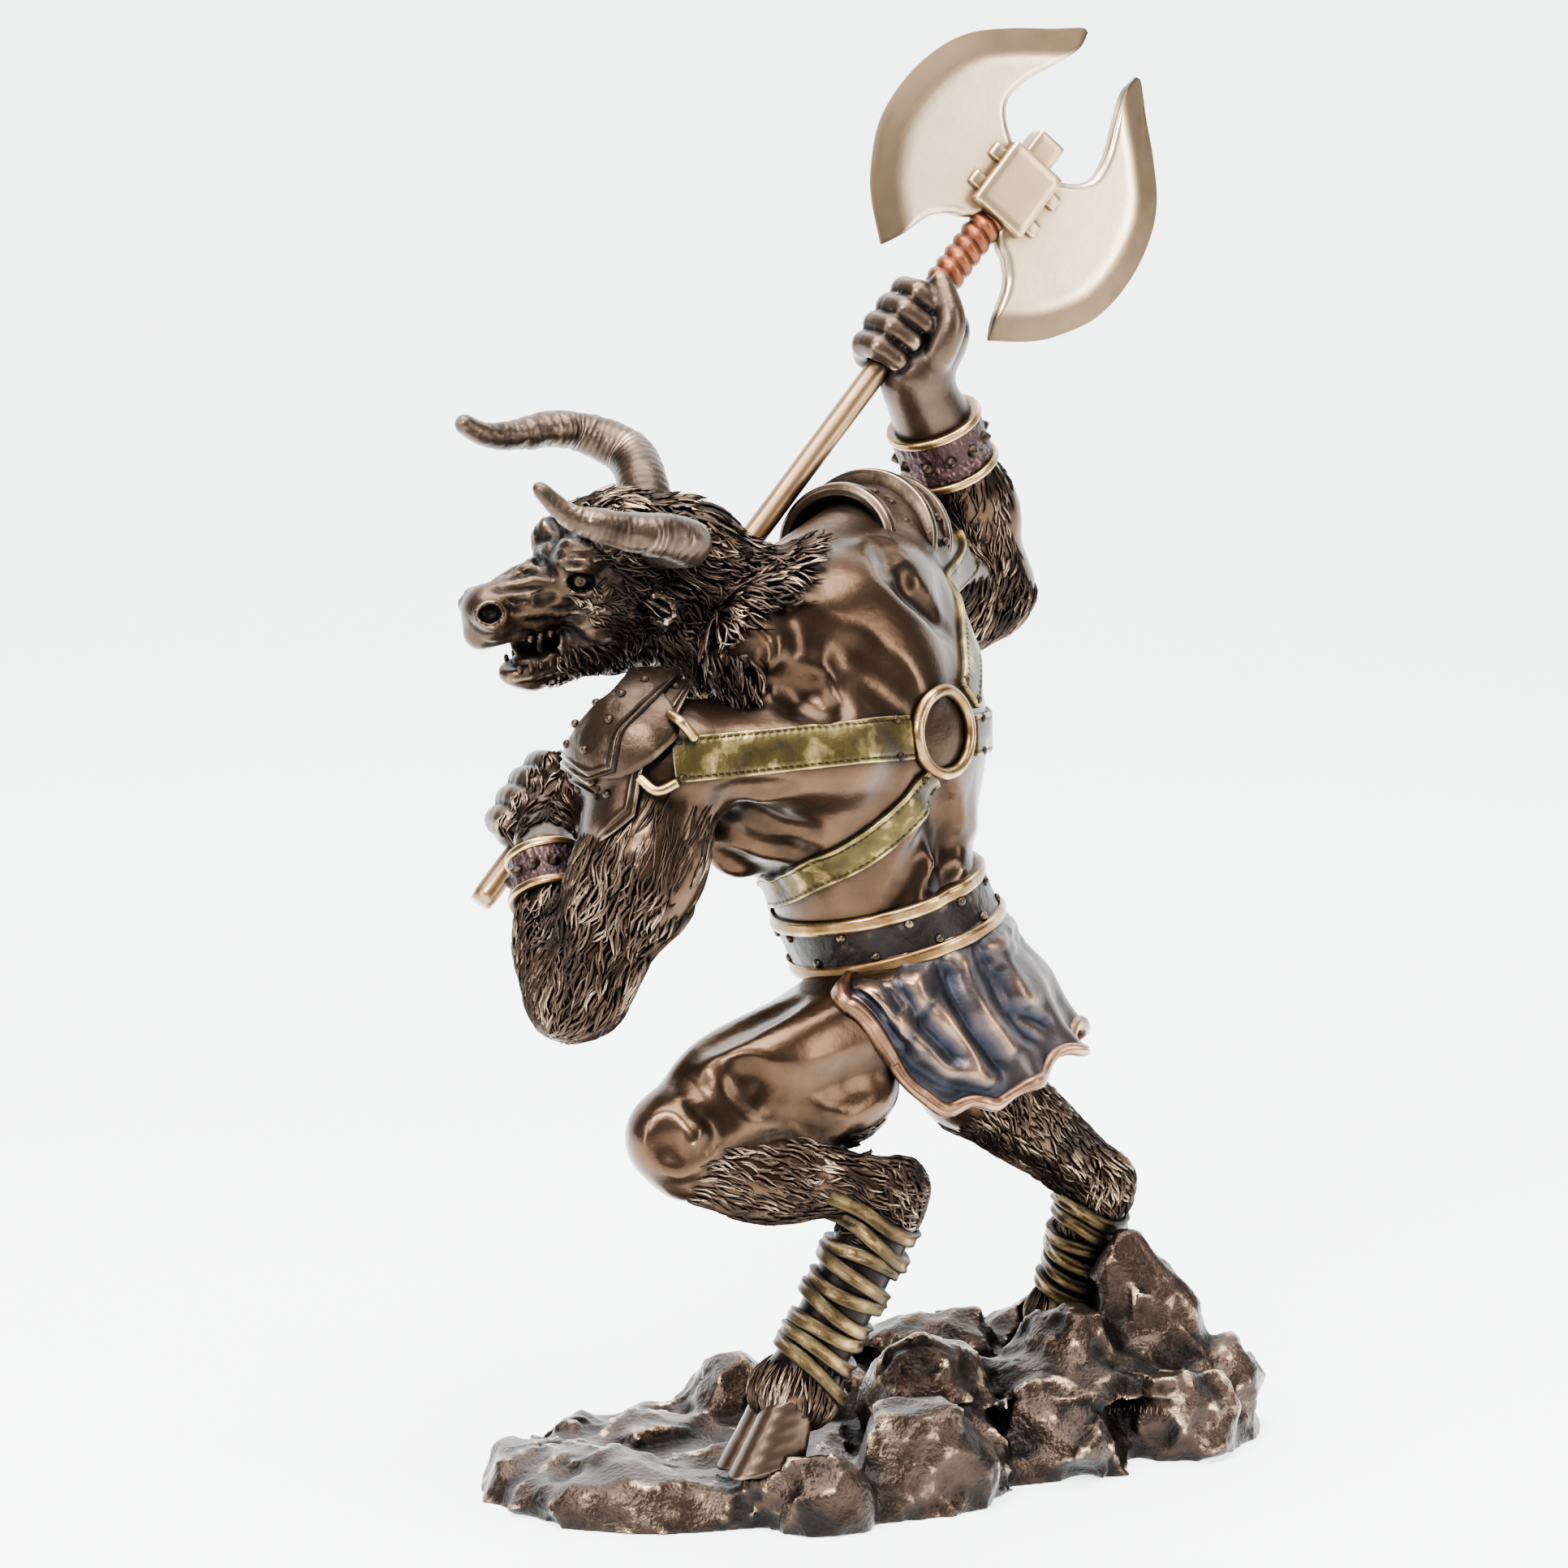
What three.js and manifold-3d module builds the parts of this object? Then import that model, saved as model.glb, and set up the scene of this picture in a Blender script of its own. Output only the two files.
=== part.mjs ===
// Bull-headed warrior striding over a rock, with a two-bladed axe held across the body.
// Millimetres. +Z is up, -X is the way the figure strides and -Y is the figure's left side.
// The origin is on the ground under the middle of the rock.
import * as THREE from 'three';
import { SimplifyModifier } from 'three/addons/modifiers/SimplifyModifier.js';
import { mergeVertices } from 'three/addons/utils/BufferGeometryUtils.js';
import Module from 'manifold-3d';

const wasm = await Module();
wasm.setup();

// Driving dimensions
const GAP = 0.35;
const SOCKET_GROW = 0.95;
const SHAFT_RADIUS = 2.6;
const SHAFT_FOOT = [-81, -6, 122];
const SHAFT_HEAD = [28.5, 64, 262];
const BELT_HEIGHT = 11;
const BELT_RIM = 1.7;
const STRAP_WIDTH = 8.6;
const STRAP_THICKNESS = 1.6;
const BASE_SLAB = 8;
const BLADE_THICKNESS = 4.4;
const GRIP_RADIUS = 3.9;
const GRIP_FROM = 165.8;
const GRIP_PITCH = 4.6;
const GRIP_TURNS = 4;
const GRIP_SWELL = 0.3;
const BRACER_RIM = 1.3;

// Directions of the body
const UP = vec(0, 0, 1);
const LEFTWARD = vec(0, -1, 0);
const PELVIS_FRONT = vec(-0.95, 0.31, 0);
const CHEST_FRONT = vec(-0.78, 0.63, 0);

// The head turns towards its left: a frame of its own with fore, left and up
const HEAD_CENTRE = vec(-54, -8, 191);
const HEAD_LEFT = vec(0.41, -0.89, -0.2).normalize();
const HEAD_FORE = vec(-0.9, -0.385, -0.25).projectOnPlane(HEAD_LEFT).normalize();
const HEAD_UP = HEAD_FORE.clone().cross(HEAD_LEFT);

// The axe shaft's own directions: along it, towards the figure's left, and across the blades
const SHAFT = vec(...SHAFT_HEAD).sub(vec(...SHAFT_FOOT)).normalize();
const SHAFT_FACE = vec(0, -0.988, 0.156).projectOnPlane(SHAFT).normalize();
const SHAFT_SIDE = SHAFT.clone().cross(SHAFT_FACE);

function vec(x, y, z) {
  return new THREE.Vector3(x, y, z);
}

// A repeatable number from 0 to 1 for each seed
function scatter(seed) {
  const wave = Math.sin(seed * 12.9898) * 43758.5453;
  return wave - Math.floor(wave);
}

// A point given fore, left and up of the head's centre
function headPoint(fore, left, up) {
  return HEAD_CENTRE.clone()
    .addScaledVector(HEAD_FORE, fore)
    .addScaledVector(HEAD_LEFT, left)
    .addScaledVector(HEAD_UP, up);
}

// A point given along, face and side of the shaft's foot
function shaftPoint(along, face = 0, side = 0) {
  return vec(...SHAFT_FOOT)
    .addScaledVector(SHAFT, along)
    .addScaledVector(SHAFT_FACE, face)
    .addScaledVector(SHAFT_SIDE, side);
}

// Geometry to solid, and lists of solids to one
function solid(geometry) {
  const bare = new THREE.BufferGeometry();
  bare.setAttribute('position', geometry.getAttribute('position').clone());
  if (geometry.index) bare.setIndex(geometry.index.clone());
  const merged = mergeVertices(bare, 1e-4);
  return new wasm.Manifold(new wasm.Mesh({
    numProp: 3,
    vertProperties: new Float32Array(merged.attributes.position.array),
    triVerts: new Uint32Array(merged.index.array),
  }));
}

function join(solids) {
  return solids.reduce((sum, next) => sum.add(next));
}

function toGeometry(body) {
  const mesh = body.getMesh();
  const geometry = new THREE.BufferGeometry();
  geometry.setAttribute('position', new THREE.BufferAttribute(mesh.vertProperties, 3));
  geometry.setIndex(new THREE.BufferAttribute(mesh.triVerts, 1));
  return geometry;
}

// The same skin with fewer facets: the slivers that joining leaves are taken out
async function lighten(body, share) {
  const geometry = toGeometry(body);
  const spare = Math.floor(geometry.getAttribute('position').count * (1 - share));
  return solid(await new SimplifyModifier().modify(geometry, spare));
}

// The one outer skin of a body: crumbs are dropped and sealed hollows are filled
function outerSkin(body) {
  return body.decompose().reduce((largest, next) => (next.volume() > largest.volume() ? next : largest));
}

// Edges where two parts of a skin only touch, each as its middle and half its length
function pinches(body) {
  const { vertProperties: place, triVerts: corners } = body.getMesh();
  const at = (corner) => vec(...place.slice(corner * 3, corner * 3 + 3));
  const name = (corner) => at(corner).toArray().map((value) => value.toFixed(3)).join();
  const edges = new Map();
  for (let first = 0; first < corners.length; first += 3) {
    for (let side = 0; side < 3; side += 1) {
      const ends = [corners[first + side], corners[first + ((side + 1) % 3)]];
      const key = ends.map(name).sort().join(' ');
      const edge = edges.get(key) ?? { uses: 0, ends };
      edge.uses += 1;
      edges.set(key, edge);
    }
  }
  return [...edges.values()].filter((edge) => edge.uses > 2).map(({ ends: [a, b] }) => (
    { middle: at(a).add(at(b)).divideScalar(2), half: at(a).distanceTo(at(b)) / 2 }
  ));
}

// One sound skin: a bead is laid on each pinched edge, and the cut is kept clear
const BEAD = 0.7;
const BEAD_PASSES = 4;

function sound(body, cut) {
  let skin = outerSkin(body.subtract(cut));
  for (let pass = 0; pass < BEAD_PASSES; pass += 1) {
    const beads = pinches(skin).map(({ middle: centre, half }) => (
      solid(new THREE.OctahedronGeometry(half + BEAD).translate(...centre.toArray()))
    ));
    if (beads.length === 0) break;
    skin = outerSkin(join([skin, ...beads]).subtract(cut));
  }
  return skin;
}

// A matrix whose columns are three directions and a place
function placed(x, y, z, at) {
  return new THREE.Matrix4().makeBasis(x, y, z).setPosition(at);
}

// A swelling form between two ends: an ellipsoid with its own half width and half thickness
function mass(start, end, width, thickness, face, sides = 10, rows = 6) {
  const a = vec(...start);
  const b = vec(...end);
  const long = b.clone().sub(a);
  const half = long.length() / 2;
  long.normalize();
  const out = face.clone().projectOnPlane(long).normalize();
  const across = long.clone().cross(out);
  const ball = new THREE.SphereGeometry(1, sides, rows);
  ball.scale(width, half, thickness);
  ball.applyMatrix4(placed(across, long, out, a.add(b).multiplyScalar(0.5)));
  return solid(ball);
}

// A skin over rings of points, closed by a fan at each end
function loft(rings) {
  const sides = rings[0].length;
  const points = rings.flat();
  const first = points.length;
  const last = first + 1;
  points.push(middle(rings[0]), middle(rings[rings.length - 1]));
  const faces = [];
  for (let row = 0; row + 1 < rings.length; row += 1) {
    for (let side = 0; side < sides; side += 1) {
      const a = row * sides + side;
      const b = row * sides + ((side + 1) % sides);
      faces.push(a, b, b + sides, a, b + sides, a + sides);
    }
  }
  for (let side = 0; side < sides; side += 1) {
    const next = (side + 1) % sides;
    const top = (rings.length - 1) * sides;
    faces.push(first, next, side, last, top + side, top + next);
  }
  const geometry = new THREE.BufferGeometry();
  geometry.setAttribute('position', new THREE.Float32BufferAttribute(points.flatMap((p) => p.toArray()), 3));
  geometry.setIndex(faces);
  return solid(geometry);
}

function middle(ring) {
  return ring.reduce((sum, p) => sum.add(p), vec(0, 0, 0)).divideScalar(ring.length);
}

// One ring of points round an axis, with a radius along each of two directions
function ring(centre, u, v, radiusU, radiusV, sides) {
  return Array.from({ length: sides }, (_, side) => {
    const turn = (side / sides) * Math.PI * 2;
    return centre.clone()
      .addScaledVector(u, Math.cos(turn) * radiusU)
      .addScaledVector(v, Math.sin(turn) * radiusV);
  });
}

// A round limb through a list of points, with a radius at each
function limb(points, radii, sides = 8, steps = points.length * 2 - 1) {
  const curve = new THREE.CatmullRomCurve3(points);
  let u = null;
  const rings = [];
  for (let step = 0; step < steps; step += 1) {
    const t = step / (steps - 1);
    const along = curve.getTangent(t).normalize();
    u = (u ?? Math.abs(along.z) < 0.9 ? (u ?? UP) : vec(1, 0, 0)).clone().projectOnPlane(along).normalize();
    const v = along.clone().cross(u);
    const place = t * (radii.length - 1);
    const from = Math.min(Math.floor(place), radii.length - 2);
    const radius = THREE.MathUtils.lerp(radii[from], radii[from + 1], place - from);
    rings.push(ring(curve.getPoint(t), u, v, radius, radius, sides));
  }
  return loft(rings);
}

// A straight limb with rounded ends
function bone(start, end, radiusStart, radiusEnd, sides = 10) {
  const a = vec(...start);
  const b = vec(...end);
  const along = b.clone().sub(a).normalize();
  const u = (Math.abs(along.z) < 0.9 ? UP : vec(1, 0, 0)).clone().projectOnPlane(along).normalize();
  const v = along.clone().cross(u);
  const stations = [
    [a, -0.72, radiusStart * 0.69, radiusStart],
    [a, 0, radiusStart, radiusStart],
    [b, 0, radiusEnd, radiusEnd],
    [b, 0.72, radiusEnd * 0.69, radiusEnd],
  ];
  return loft(stations.map(([at, shift, radius, reach]) => (
    ring(at.clone().addScaledVector(along, shift * reach), u, v, radius, radius, sides)
  )));
}

// Forms of the body. Each mass: end, end, half width, half thickness, the way its thickness faces
function torso() {
  return [
    mass([9.5, 9, 84], [7.5, 9, 127], 24.5, 22.5, PELVIS_FRONT, 12, 8),
    mass([2, 8, 97], [-1, 7, 151], 23.5, 22, vec(-0.9, 0.43, 0), 12, 8),
    mass([1, 7, 118], [-13, 6, 194], 33.5, 26.5, CHEST_FRONT, 14, 9),
    mass([-20, 12, 124], [-33, 7, 168], 14, 11.4, vec(-0.8, 0.2, 0.2), 10),
    mass([13, 29, 190], [-34, -20, 172], 18, 15, vec(-0.2, 0, 1), 10, 7),
    mass([-36, -21, 176], [-6, -13, 174], 14, 9, vec(-0.3, -0.9, 0.3), 8),
    mass([-15, 0, 192], [10, -9, 160], 13, 9, vec(0.4, -0.85, 0.3), 8),
    mass([-38, -23, 164], [-9, -18, 163], 5.5, 5.5, vec(-0.2, -1, 0.2), 8, 5),
    mass([-32, -14, 140], [-9, -13, 157], 12, 9.5, vec(-0.1, -1, 0.1), 8),
    mass([-13, -3, 129], [7, -8, 152], 11, 10.5, vec(0.2, -1, 0), 8),
    mass([11, -2, 114], [9, -7, 156], 4.5, 4.5, vec(0.6, -0.8, 0), 8, 5),
    mass([17, 7, 114], [16, 3, 156], 4.5, 4.5, vec(0.9, -0.4, 0), 8, 5),
    mass([17, 9, 148], [8, 26, 192], 9, 9.5, vec(0.9, -0.4, 0), 8),
  ];
}

function nearLeg() {
  const out = vec(-0.3, -0.9, 0.3);
  return [
    bone([-2, -8, 99.5], [-38, -36, 79.5], 15.5, 10),
    mass([-1, -14, 101], [-45, -39, 81.5], 14, 12, out, 12, 7),
    mass([6, -13, 88], [-27, -33, 80], 10.5, 10, LEFTWARD),
    mass([-42, -38, 91], [-41, -38, 68.5], 9.5, 10, LEFTWARD),
    bone([-38, -37, 74], [4, -28, 66.5], 8, 6.5),
    mass([-39, -37, 72.5], [-5, -30, 68], 9.2, 8.4, LEFTWARD),
    mass([6, -27, 73], [4, -27, 60.5], 5.4, 5, LEFTWARD, 8),
    bone([0, -28, 62], [-15, -33, 30], 8, 7.4),
    mass([-16, -33, 35], [-17, -33, 17], 9.4, 8.7, LEFTWARD, 8),
  ];
}

function farLeg() {
  return [
    bone([11, 18, 96.5], [19.8, 27, 78.4], 16.4, 11.2),
    bone([20.8, 27, 78.4], [48, 42, 53.4], 11, 6.8),
    mass([17, 25, 81], [40, 36, 60.5], 8.5, 8.5, LEFTWARD),
    mass([51, 42, 60], [50, 42, 45], 6.3, 6.3, LEFTWARD, 8),
    bone([47.5, 42, 48], [42, 46, 24], 7.3, 6.6),
    mass([42, 46, 31], [41, 47, 14], 8.4, 7.7, LEFTWARD, 8),
  ];
}

function nearArm() {
  return [
    mass([-37, -21, 168], [-51, -31, 144], 13.5, 13.5, vec(-0.3, -1, 0)),
    bone([-43, -28, 150], [-59, -40, 110], 13.3, 9.3),
    mass([-37, -32, 153], [-51, -43, 116], 10.5, 8.5, vec(0.3, -1, 0)),
    mass([-49, -31, 143], [-61, -41, 109], 8.5, 8.5, vec(-0.3, -1, 0), 8),
    mass([-62, -41, 115], [-62, -40, 100.5], 7, 7.4, LEFTWARD, 8),
    bone([-62, -39, 109], [-67, -17, 133], 8.5, 6.6),
    mass([-64, -37, 104], [-68, -23, 129], 8, 7.3, vec(-1, -0.3, 0), 8),
  ];
}

function farArm() {
  return [
    mass([-10, 29, 194], [16, 41, 179], 12.5, 12.5, vec(0.3, 0, 1)),
    bone([5, 38, 188], [23.5, 68, 175.5], 12.4, 8.8),
    mass([8, 46, 178], [27, 70, 169], 8.4, 8.4, vec(0, 0, -1), 8),
    mass([23, 68, 182], [23, 68, 167.5], 7.3, 7.3, LEFTWARD, 8),
    bone([26, 68, 178], [14.5, 57, 212], 9.7, 8.4),
    mass([28.5, 66, 182], [20.5, 60, 210], 7, 7.4, vec(1, 0, 0.3), 8),
  ];
}

// The head's forms in its own frame, and their twins on the other side where paired
function headMass(start, end, width, thickness, face, sides = 10) {
  const out = headPoint(...face).sub(HEAD_CENTRE);
  return mass(headPoint(...start), headPoint(...end), width, thickness, out, sides);
}

function pair(build) {
  return [build(1), build(-1)];
}

function head() {
  const up = [0, 0, 1];
  const skull = [
    bone([-27, 0, 178], headPoint(-9, 0, -4).toArray(), 18, 14, 12),
    headMass([-16, 0, -3], [12, 0, 0], 12.8, 13, up, 12),
    headMass([-14, 0, 8], [5, 0, 9], 11, 8, up),
    headMass([-27, 2, -1], [-5, 2, 6.4], 12, 8, up),
    headMass([-8, -2, 9], [6, -2, 12.4], 8, 4.6, up, 8),
    headMass([-4, 0, 7], [16, 0, 3.5], 9.4, 7.4, up),
    bone(headPoint(9, 0, 0).toArray(), headPoint(25, 0, -0.7).toArray(), 8.4, 6),
    headMass([22.5, 0, -1], [32.8, 0, -1], 6.7, 5.7, up),
    bone(headPoint(3, 0, -11).toArray(), headPoint(20, 0, -16).toArray(), 7.4, 4.6, 8),
    headMass([16, 0, -17], [27.6, 0, -14.8], 4.8, 3.6, up, 8),
    headMass([-11, 0, -13], [11, 0, -15], 8.6, 8, up),
  ];
  const brows = pair((s) => headMass([3.4, 5.8 * s, 11], [12.6, 5.8 * s, 9], 3.8, 3.8, up, 8));
  const cheeks = pair((s) => headMass([-7, 7 * s, -7], [12, 6.5 * s, -5], 7.4, 5.5, [0, 1, 0], 8));
  const nostrils = pair((s) => headMass([25.5, 4.6 * s, 0], [32, 4.2 * s, 0], 2.8, 2.4, [0, 1, 0], 8));
  const ears = pair((s) => ear(s));
  return [...skull, ...brows, ...cheeks, ...nostrils, ...ears];
}

// A cupped ear: a short leaf that stands out sideways and a little back
function ear(side) {
  const leaf = headMass([-7.5, 17 * side, -2.5], [-3.5, 10 * side, -6.5], 4.6, 2.6, [1, 0.4 * side, 0.4], 8);
  const cup = headMass([-4.6, 16 * side, -2.6], [-1.8, 11.6 * side, -5.4], 2.7, 1.6, [1, 0.4 * side, 0.4], 8);
  return leaf.subtract(cup);
}

// The teeth, the tongue's place and the nostrils' holes
function mouthCut() {
  return [
    headMass([12, 0, -9], [31, 0, -11.6], 4, 3, [0, 0, 1], 8),
    ...pair((s) => headMass([28.5, 4.8 * s, 1.6], [34.5, 6.4 * s, 0.6], 1.5, 1.3, [0, 1, 0], 6)),
  ];
}

// The horns: root to tip as points, with the radius at each
const FAR_HORN = [
  [-46, -1, 197], [-47.5, 6, 206.5], [-51, 14, 212.5], [-60.5, 16, 216.5], [-67, 12, 217.5],
  [-73.5, 7, 217], [-79.5, 2, 217.5], [-85, -3, 221],
];
const FAR_HORN_RADII = [5.4, 5.2, 5, 4.3, 3.8, 2.9, 2.2, 0.6];
const NEAR_HORN = [
  [-46, -12, 191], [-39, -25, 194], [-38, -31, 197.5], [-41.5, -35, 200.5], [-47, -38, 202],
  [-55, -41, 204], [-61, -42.5, 206], [-68, -43, 212.5],
];
const NEAR_HORN_RADII = [5.2, 5, 4.8, 4.6, 4.2, 3.4, 2.5, 0.6];

function horns() {
  return [[FAR_HORN, FAR_HORN_RADII], [NEAR_HORN, NEAR_HORN_RADII]].map(([points, radii]) => (
    limb(points.map((p) => vec(...p)), radii, 8, 13)
  ));
}

// A fist round the shaft: four fingers as bent rods, a palm and a thumb. Places are along, face, side
function fist(along, spec) {
  const fingers = [-1.5, -0.5, 0.5, 1.5].map((number) => {
    const route = spec.finger.map(([face, side]) => shaftPoint(along + number * spec.pitch, face, side));
    return limb(route, spec.fingerRadii, 6, 6);
  });
  const palm = mass(
    shaftPoint(along - spec.palmHalf, ...spec.palm).toArray(),
    shaftPoint(along + spec.palmHalf, ...spec.palm).toArray(),
    spec.palmWidth, spec.palmThickness, SHAFT_FACE.clone(),
  );
  const thumbRoute = spec.thumb.map(([ahead, face, side]) => shaftPoint(along + ahead, face, side));
  const thumb = limb(thumbRoute, [3.6, 3.2, 2.4], 6, 5);
  return [...fingers, palm, thumb];
}

const NEAR_FIST_AT = 23.5;
const FAR_FIST_AT = 153;

function nearHand() {
  const hand = fist(NEAR_FIST_AT, {
    pitch: 4.7,
    finger: [[5.2, 3], [6, -5], [0.5, -7.6], [-5.2, -4], [-5.4, 3]],
    fingerRadii: [3, 3.3, 3.2, 2.8, 2.2],
    palm: [6.2, 1.5],
    palmHalf: 11,
    palmWidth: 7.5,
    palmThickness: 4.6,
    thumb: [[-6, 5, 6], [3, 1, 7], [9, -3, 5]],
  });
  hand.push(bone([-67, -17, 133], shaftPoint(NEAR_FIST_AT - 4, 8, 2).toArray(), 6.6, 5.8, 8));
  return hand;
}

function farHand() {
  const hand = fist(FAR_FIST_AT, {
    pitch: 4.9,
    finger: [[-5.4, 0.5], [-4.4, -4], [1, -5.6], [5.2, -2.6], [5.4, 2.4]],
    fingerRadii: [2.9, 3.1, 3, 2.9, 2.4],
    palm: [-3, 7.4],
    palmHalf: 12,
    palmWidth: 6,
    palmThickness: 8,
    thumb: [[-1, 3, 8.5], [6, 6, 6.5], [12, 5.4, 0]],
  });
  hand.push(bone([14.2, 57, 212], shaftPoint(FAR_FIST_AT - 6, -2, 6.5).toArray(), 9, 7.2, 8));
  return hand;
}

// A cloven hoof: two claws that widen towards the sole, toes forward
const HOOF_SIDES = 8;

function hoof(top, sole, toe, spread, grow = 0) {
  const across = toe.clone().cross(UP).normalize();
  const down = sole.clone().sub(top).normalize();
  return pair((s) => {
    const shift = spread * s;
    const stations = [[0, 5.4, 3.7, 0.4], [0.45, 6.6, 4.1, 1.4], [1, 8.4, 4.4, 2.8]];
    const rings = stations.map(([t, long, wide, fore]) => {
      const centre = top.clone().lerp(sole, t).addScaledVector(across, shift * (0.85 + 0.15 * t));
      centre.addScaledVector(toe, fore).addScaledVector(down, t === 1 ? grow : 0);
      return ring(centre, toe, across, long + grow, wide + grow, HOOF_SIDES);
    });
    return loft(rings);
  });
}

const NEAR_HOOF = [vec(-18, -34, 27), vec(-21, -36, 12.5), vec(-0.93, -0.3, -0.22).normalize(), 4.2];
const FAR_HOOF = [vec(41, 47, 22), vec(39, 47, 11), vec(-0.97, 0.1, -0.2).normalize(), 4.2];

// Rays from inside the body find its skin, so what is worn follows the form under it
function skinFinder(body) {
  const target = new THREE.Mesh(toGeometry(body), new THREE.MeshBasicMaterial({ side: THREE.DoubleSide }));
  target.updateMatrixWorld();
  const caster = new THREE.Raycaster();
  return (from, way) => {
    caster.set(from, way.clone().normalize());
    const hits = caster.intersectObject(target);
    return hits.length ? hits[hits.length - 1].point.clone() : null;
  };
}

// The spine of the trunk: worn bands look for the skin straight out from it
const SPINE = new THREE.Line3(vec(5, 8, 90), vec(-14, 5, 195));

function onSkin(find, point) {
  const t = THREE.MathUtils.clamp((point.z - SPINE.start.z) / (SPINE.end.z - SPINE.start.z), 0, 1);
  const centre = SPINE.at(t, vec(0, 0, 0));
  centre.z = point.z;
  const way = point.clone().sub(centre);
  return find(centre, way) ?? point;
}

// A flat strap laid along points of the skin, standing a little proud of it
function strap(find, points, width, thickness, steps) {
  const guide = new THREE.CatmullRomCurve3(points.map((p) => vec(...p)));
  const skin = guide.getPoints(steps).map((p) => onSkin(find, p));
  const curve = new THREE.CatmullRomCurve3(skin);
  const rings = [];
  for (let step = 0; step <= steps; step += 1) {
    const t = step / steps;
    const at = curve.getPoint(t);
    const along = curve.getTangent(t).normalize();
    const centre = SPINE.closestPointToPoint(at, true, vec(0, 0, 0));
    const out = at.clone().sub(centre).projectOnPlane(along).normalize();
    const across = along.clone().cross(out);
    const edge = (side, lift) => at.clone()
      .addScaledVector(across, side * width / 2)
      .addScaledVector(out, lift);
    const sink = -3;
    rings.push([edge(-1, sink), edge(-1, thickness), edge(1, thickness), edge(1, sink)]);
  }
  return loft(rings);
}

// The harness: one band across the back, one down round the waist, one up over the far shoulder
const HARNESS_ROUTES = [
  [[-41, -40, 156], [-30, -33, 157], [-16, -24, 158], [-4, -22, 158], [7, -17, 158], [10, -14, 158]],
  [[12, -12, 149], [7, -16, 143], [-3, -18, 135], [-12, -15, 130], [-20, -6, 125], [-24, 8, 122]],
  [[20, 0, 164], [19, 8, 170], [16, 16, 176], [12, 24, 182], [6, 30, 189]],
  [[20, -1, 156], [24, 12, 155], [22, 26, 155], [8, 36, 155], [-14, 38, 157], [-34, 26, 160]],
];
const RING_CENTRE = vec(14, -10, 158);
const RING_RADIUS = 8.6;
const RING_TUBE = 1.4;

function harness(find) {
  const straps = HARNESS_ROUTES.map((route) => strap(find, route, STRAP_WIDTH, STRAP_THICKNESS, 9));
  const torus = new THREE.TorusGeometry(RING_RADIUS, RING_TUBE, 6, 16);
  const at = onSkin(find, RING_CENTRE);
  const out = vec(0.78, -0.62, 0.1).normalize();
  const across = UP.clone().cross(out).normalize();
  torus.applyMatrix4(placed(across, out.clone().cross(across), out, at.addScaledVector(out, 0.4)));
  return [...straps, solid(torus)];
}

// The belt: a band round the waist with a raised rim above and below, lower at the front
const BELT_CENTRE = vec(4, 8, 117.3);
const BELT_SIDES = 22;
const BELT_RISE = vec(5.6, 1.4, 0);

function beltRing(find, height, proud) {
  return Array.from({ length: BELT_SIDES }, (_, side) => {
    const turn = (side / BELT_SIDES) * Math.PI * 2;
    const way = vec(Math.cos(turn), Math.sin(turn), 0);
    const centre = BELT_CENTRE.clone();
    centre.z += height + way.dot(BELT_RISE);
    const skin = find(centre, way);
    return skin.addScaledVector(way, proud);
  });
}

function belt(find) {
  const half = BELT_HEIGHT / 2;
  const profile = [
    [-half - 0.4, -3], [-half - 0.4, BELT_RIM], [-half + 1.8, BELT_RIM], [-half + 2.1, 0.7],
    [half - 2.1, 0.7], [half - 1.8, BELT_RIM], [half + 0.4, BELT_RIM], [half + 0.4, -3],
  ];
  return loft(profile.map(([height, proud]) => beltRing(find, height, proud)));
}

// The kilt: a folded skirt under the belt, open over the raised thigh
const KILT_SIDES = 36;
const KILT_FOLDS = 9;
const KILT_ROWS = 3;
const KILT_TUCK = 3.4;
const KILT_CENTRE = vec(5, 8, 0);

// The height of the hem at each turn round the waist, from the wide end of the slit and back
const KILT_HEM = [
  [-180, 106], [-130, 106], [-112, 100], [-94, 90], [-80, 83], [-40, 80], [-16, 86], [-6, 90], [8, 94],
  [24, 84], [60, 80], [88, 84], [108, 100], [130, 106], [180, 106],
];

function between(table, value) {
  const next = Math.max(1, table.findIndex(([at]) => at >= value));
  const [fromAt, from] = table[next - 1];
  const [toAt, to] = table[next];
  return THREE.MathUtils.mapLinear(value, fromAt, toAt, from, to);
}

function kilt() {
  const rings = [];
  for (let row = 0; row <= KILT_ROWS; row += 1) {
    const drop = row / KILT_ROWS;
    rings.push(Array.from({ length: KILT_SIDES }, (_, side) => {
      const turn = (side / KILT_SIDES) * 2 - 1;
      const hem = between(KILT_HEM, turn * 180);
      const angle = turn * Math.PI;
      const way = vec(Math.cos(angle), Math.sin(angle), 0);
      const top = BELT_CENTRE.z + way.dot(BELT_RISE) - KILT_TUCK;
      const z = THREE.MathUtils.lerp(top, hem, drop);
      const fall = (top - z) / 32;
      const fold = Math.sin(turn * Math.PI * KILT_FOLDS) * 1.7 * drop + Math.sin(turn * 61) * 0.8 * drop;
      const rear = Math.max(0, Math.cos(angle - 0.1));
      const seat = rear * (5.5 + 6.5 * drop ** 2);
      const radius = vec(22 + seat + 2 * fall + fold, 26 + 3.5 * fall + fold, 0);
      return way.multiply(radius).add(KILT_CENTRE).setZ(z);
    }));
  }
  return loft(rings.reverse());
}

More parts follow.
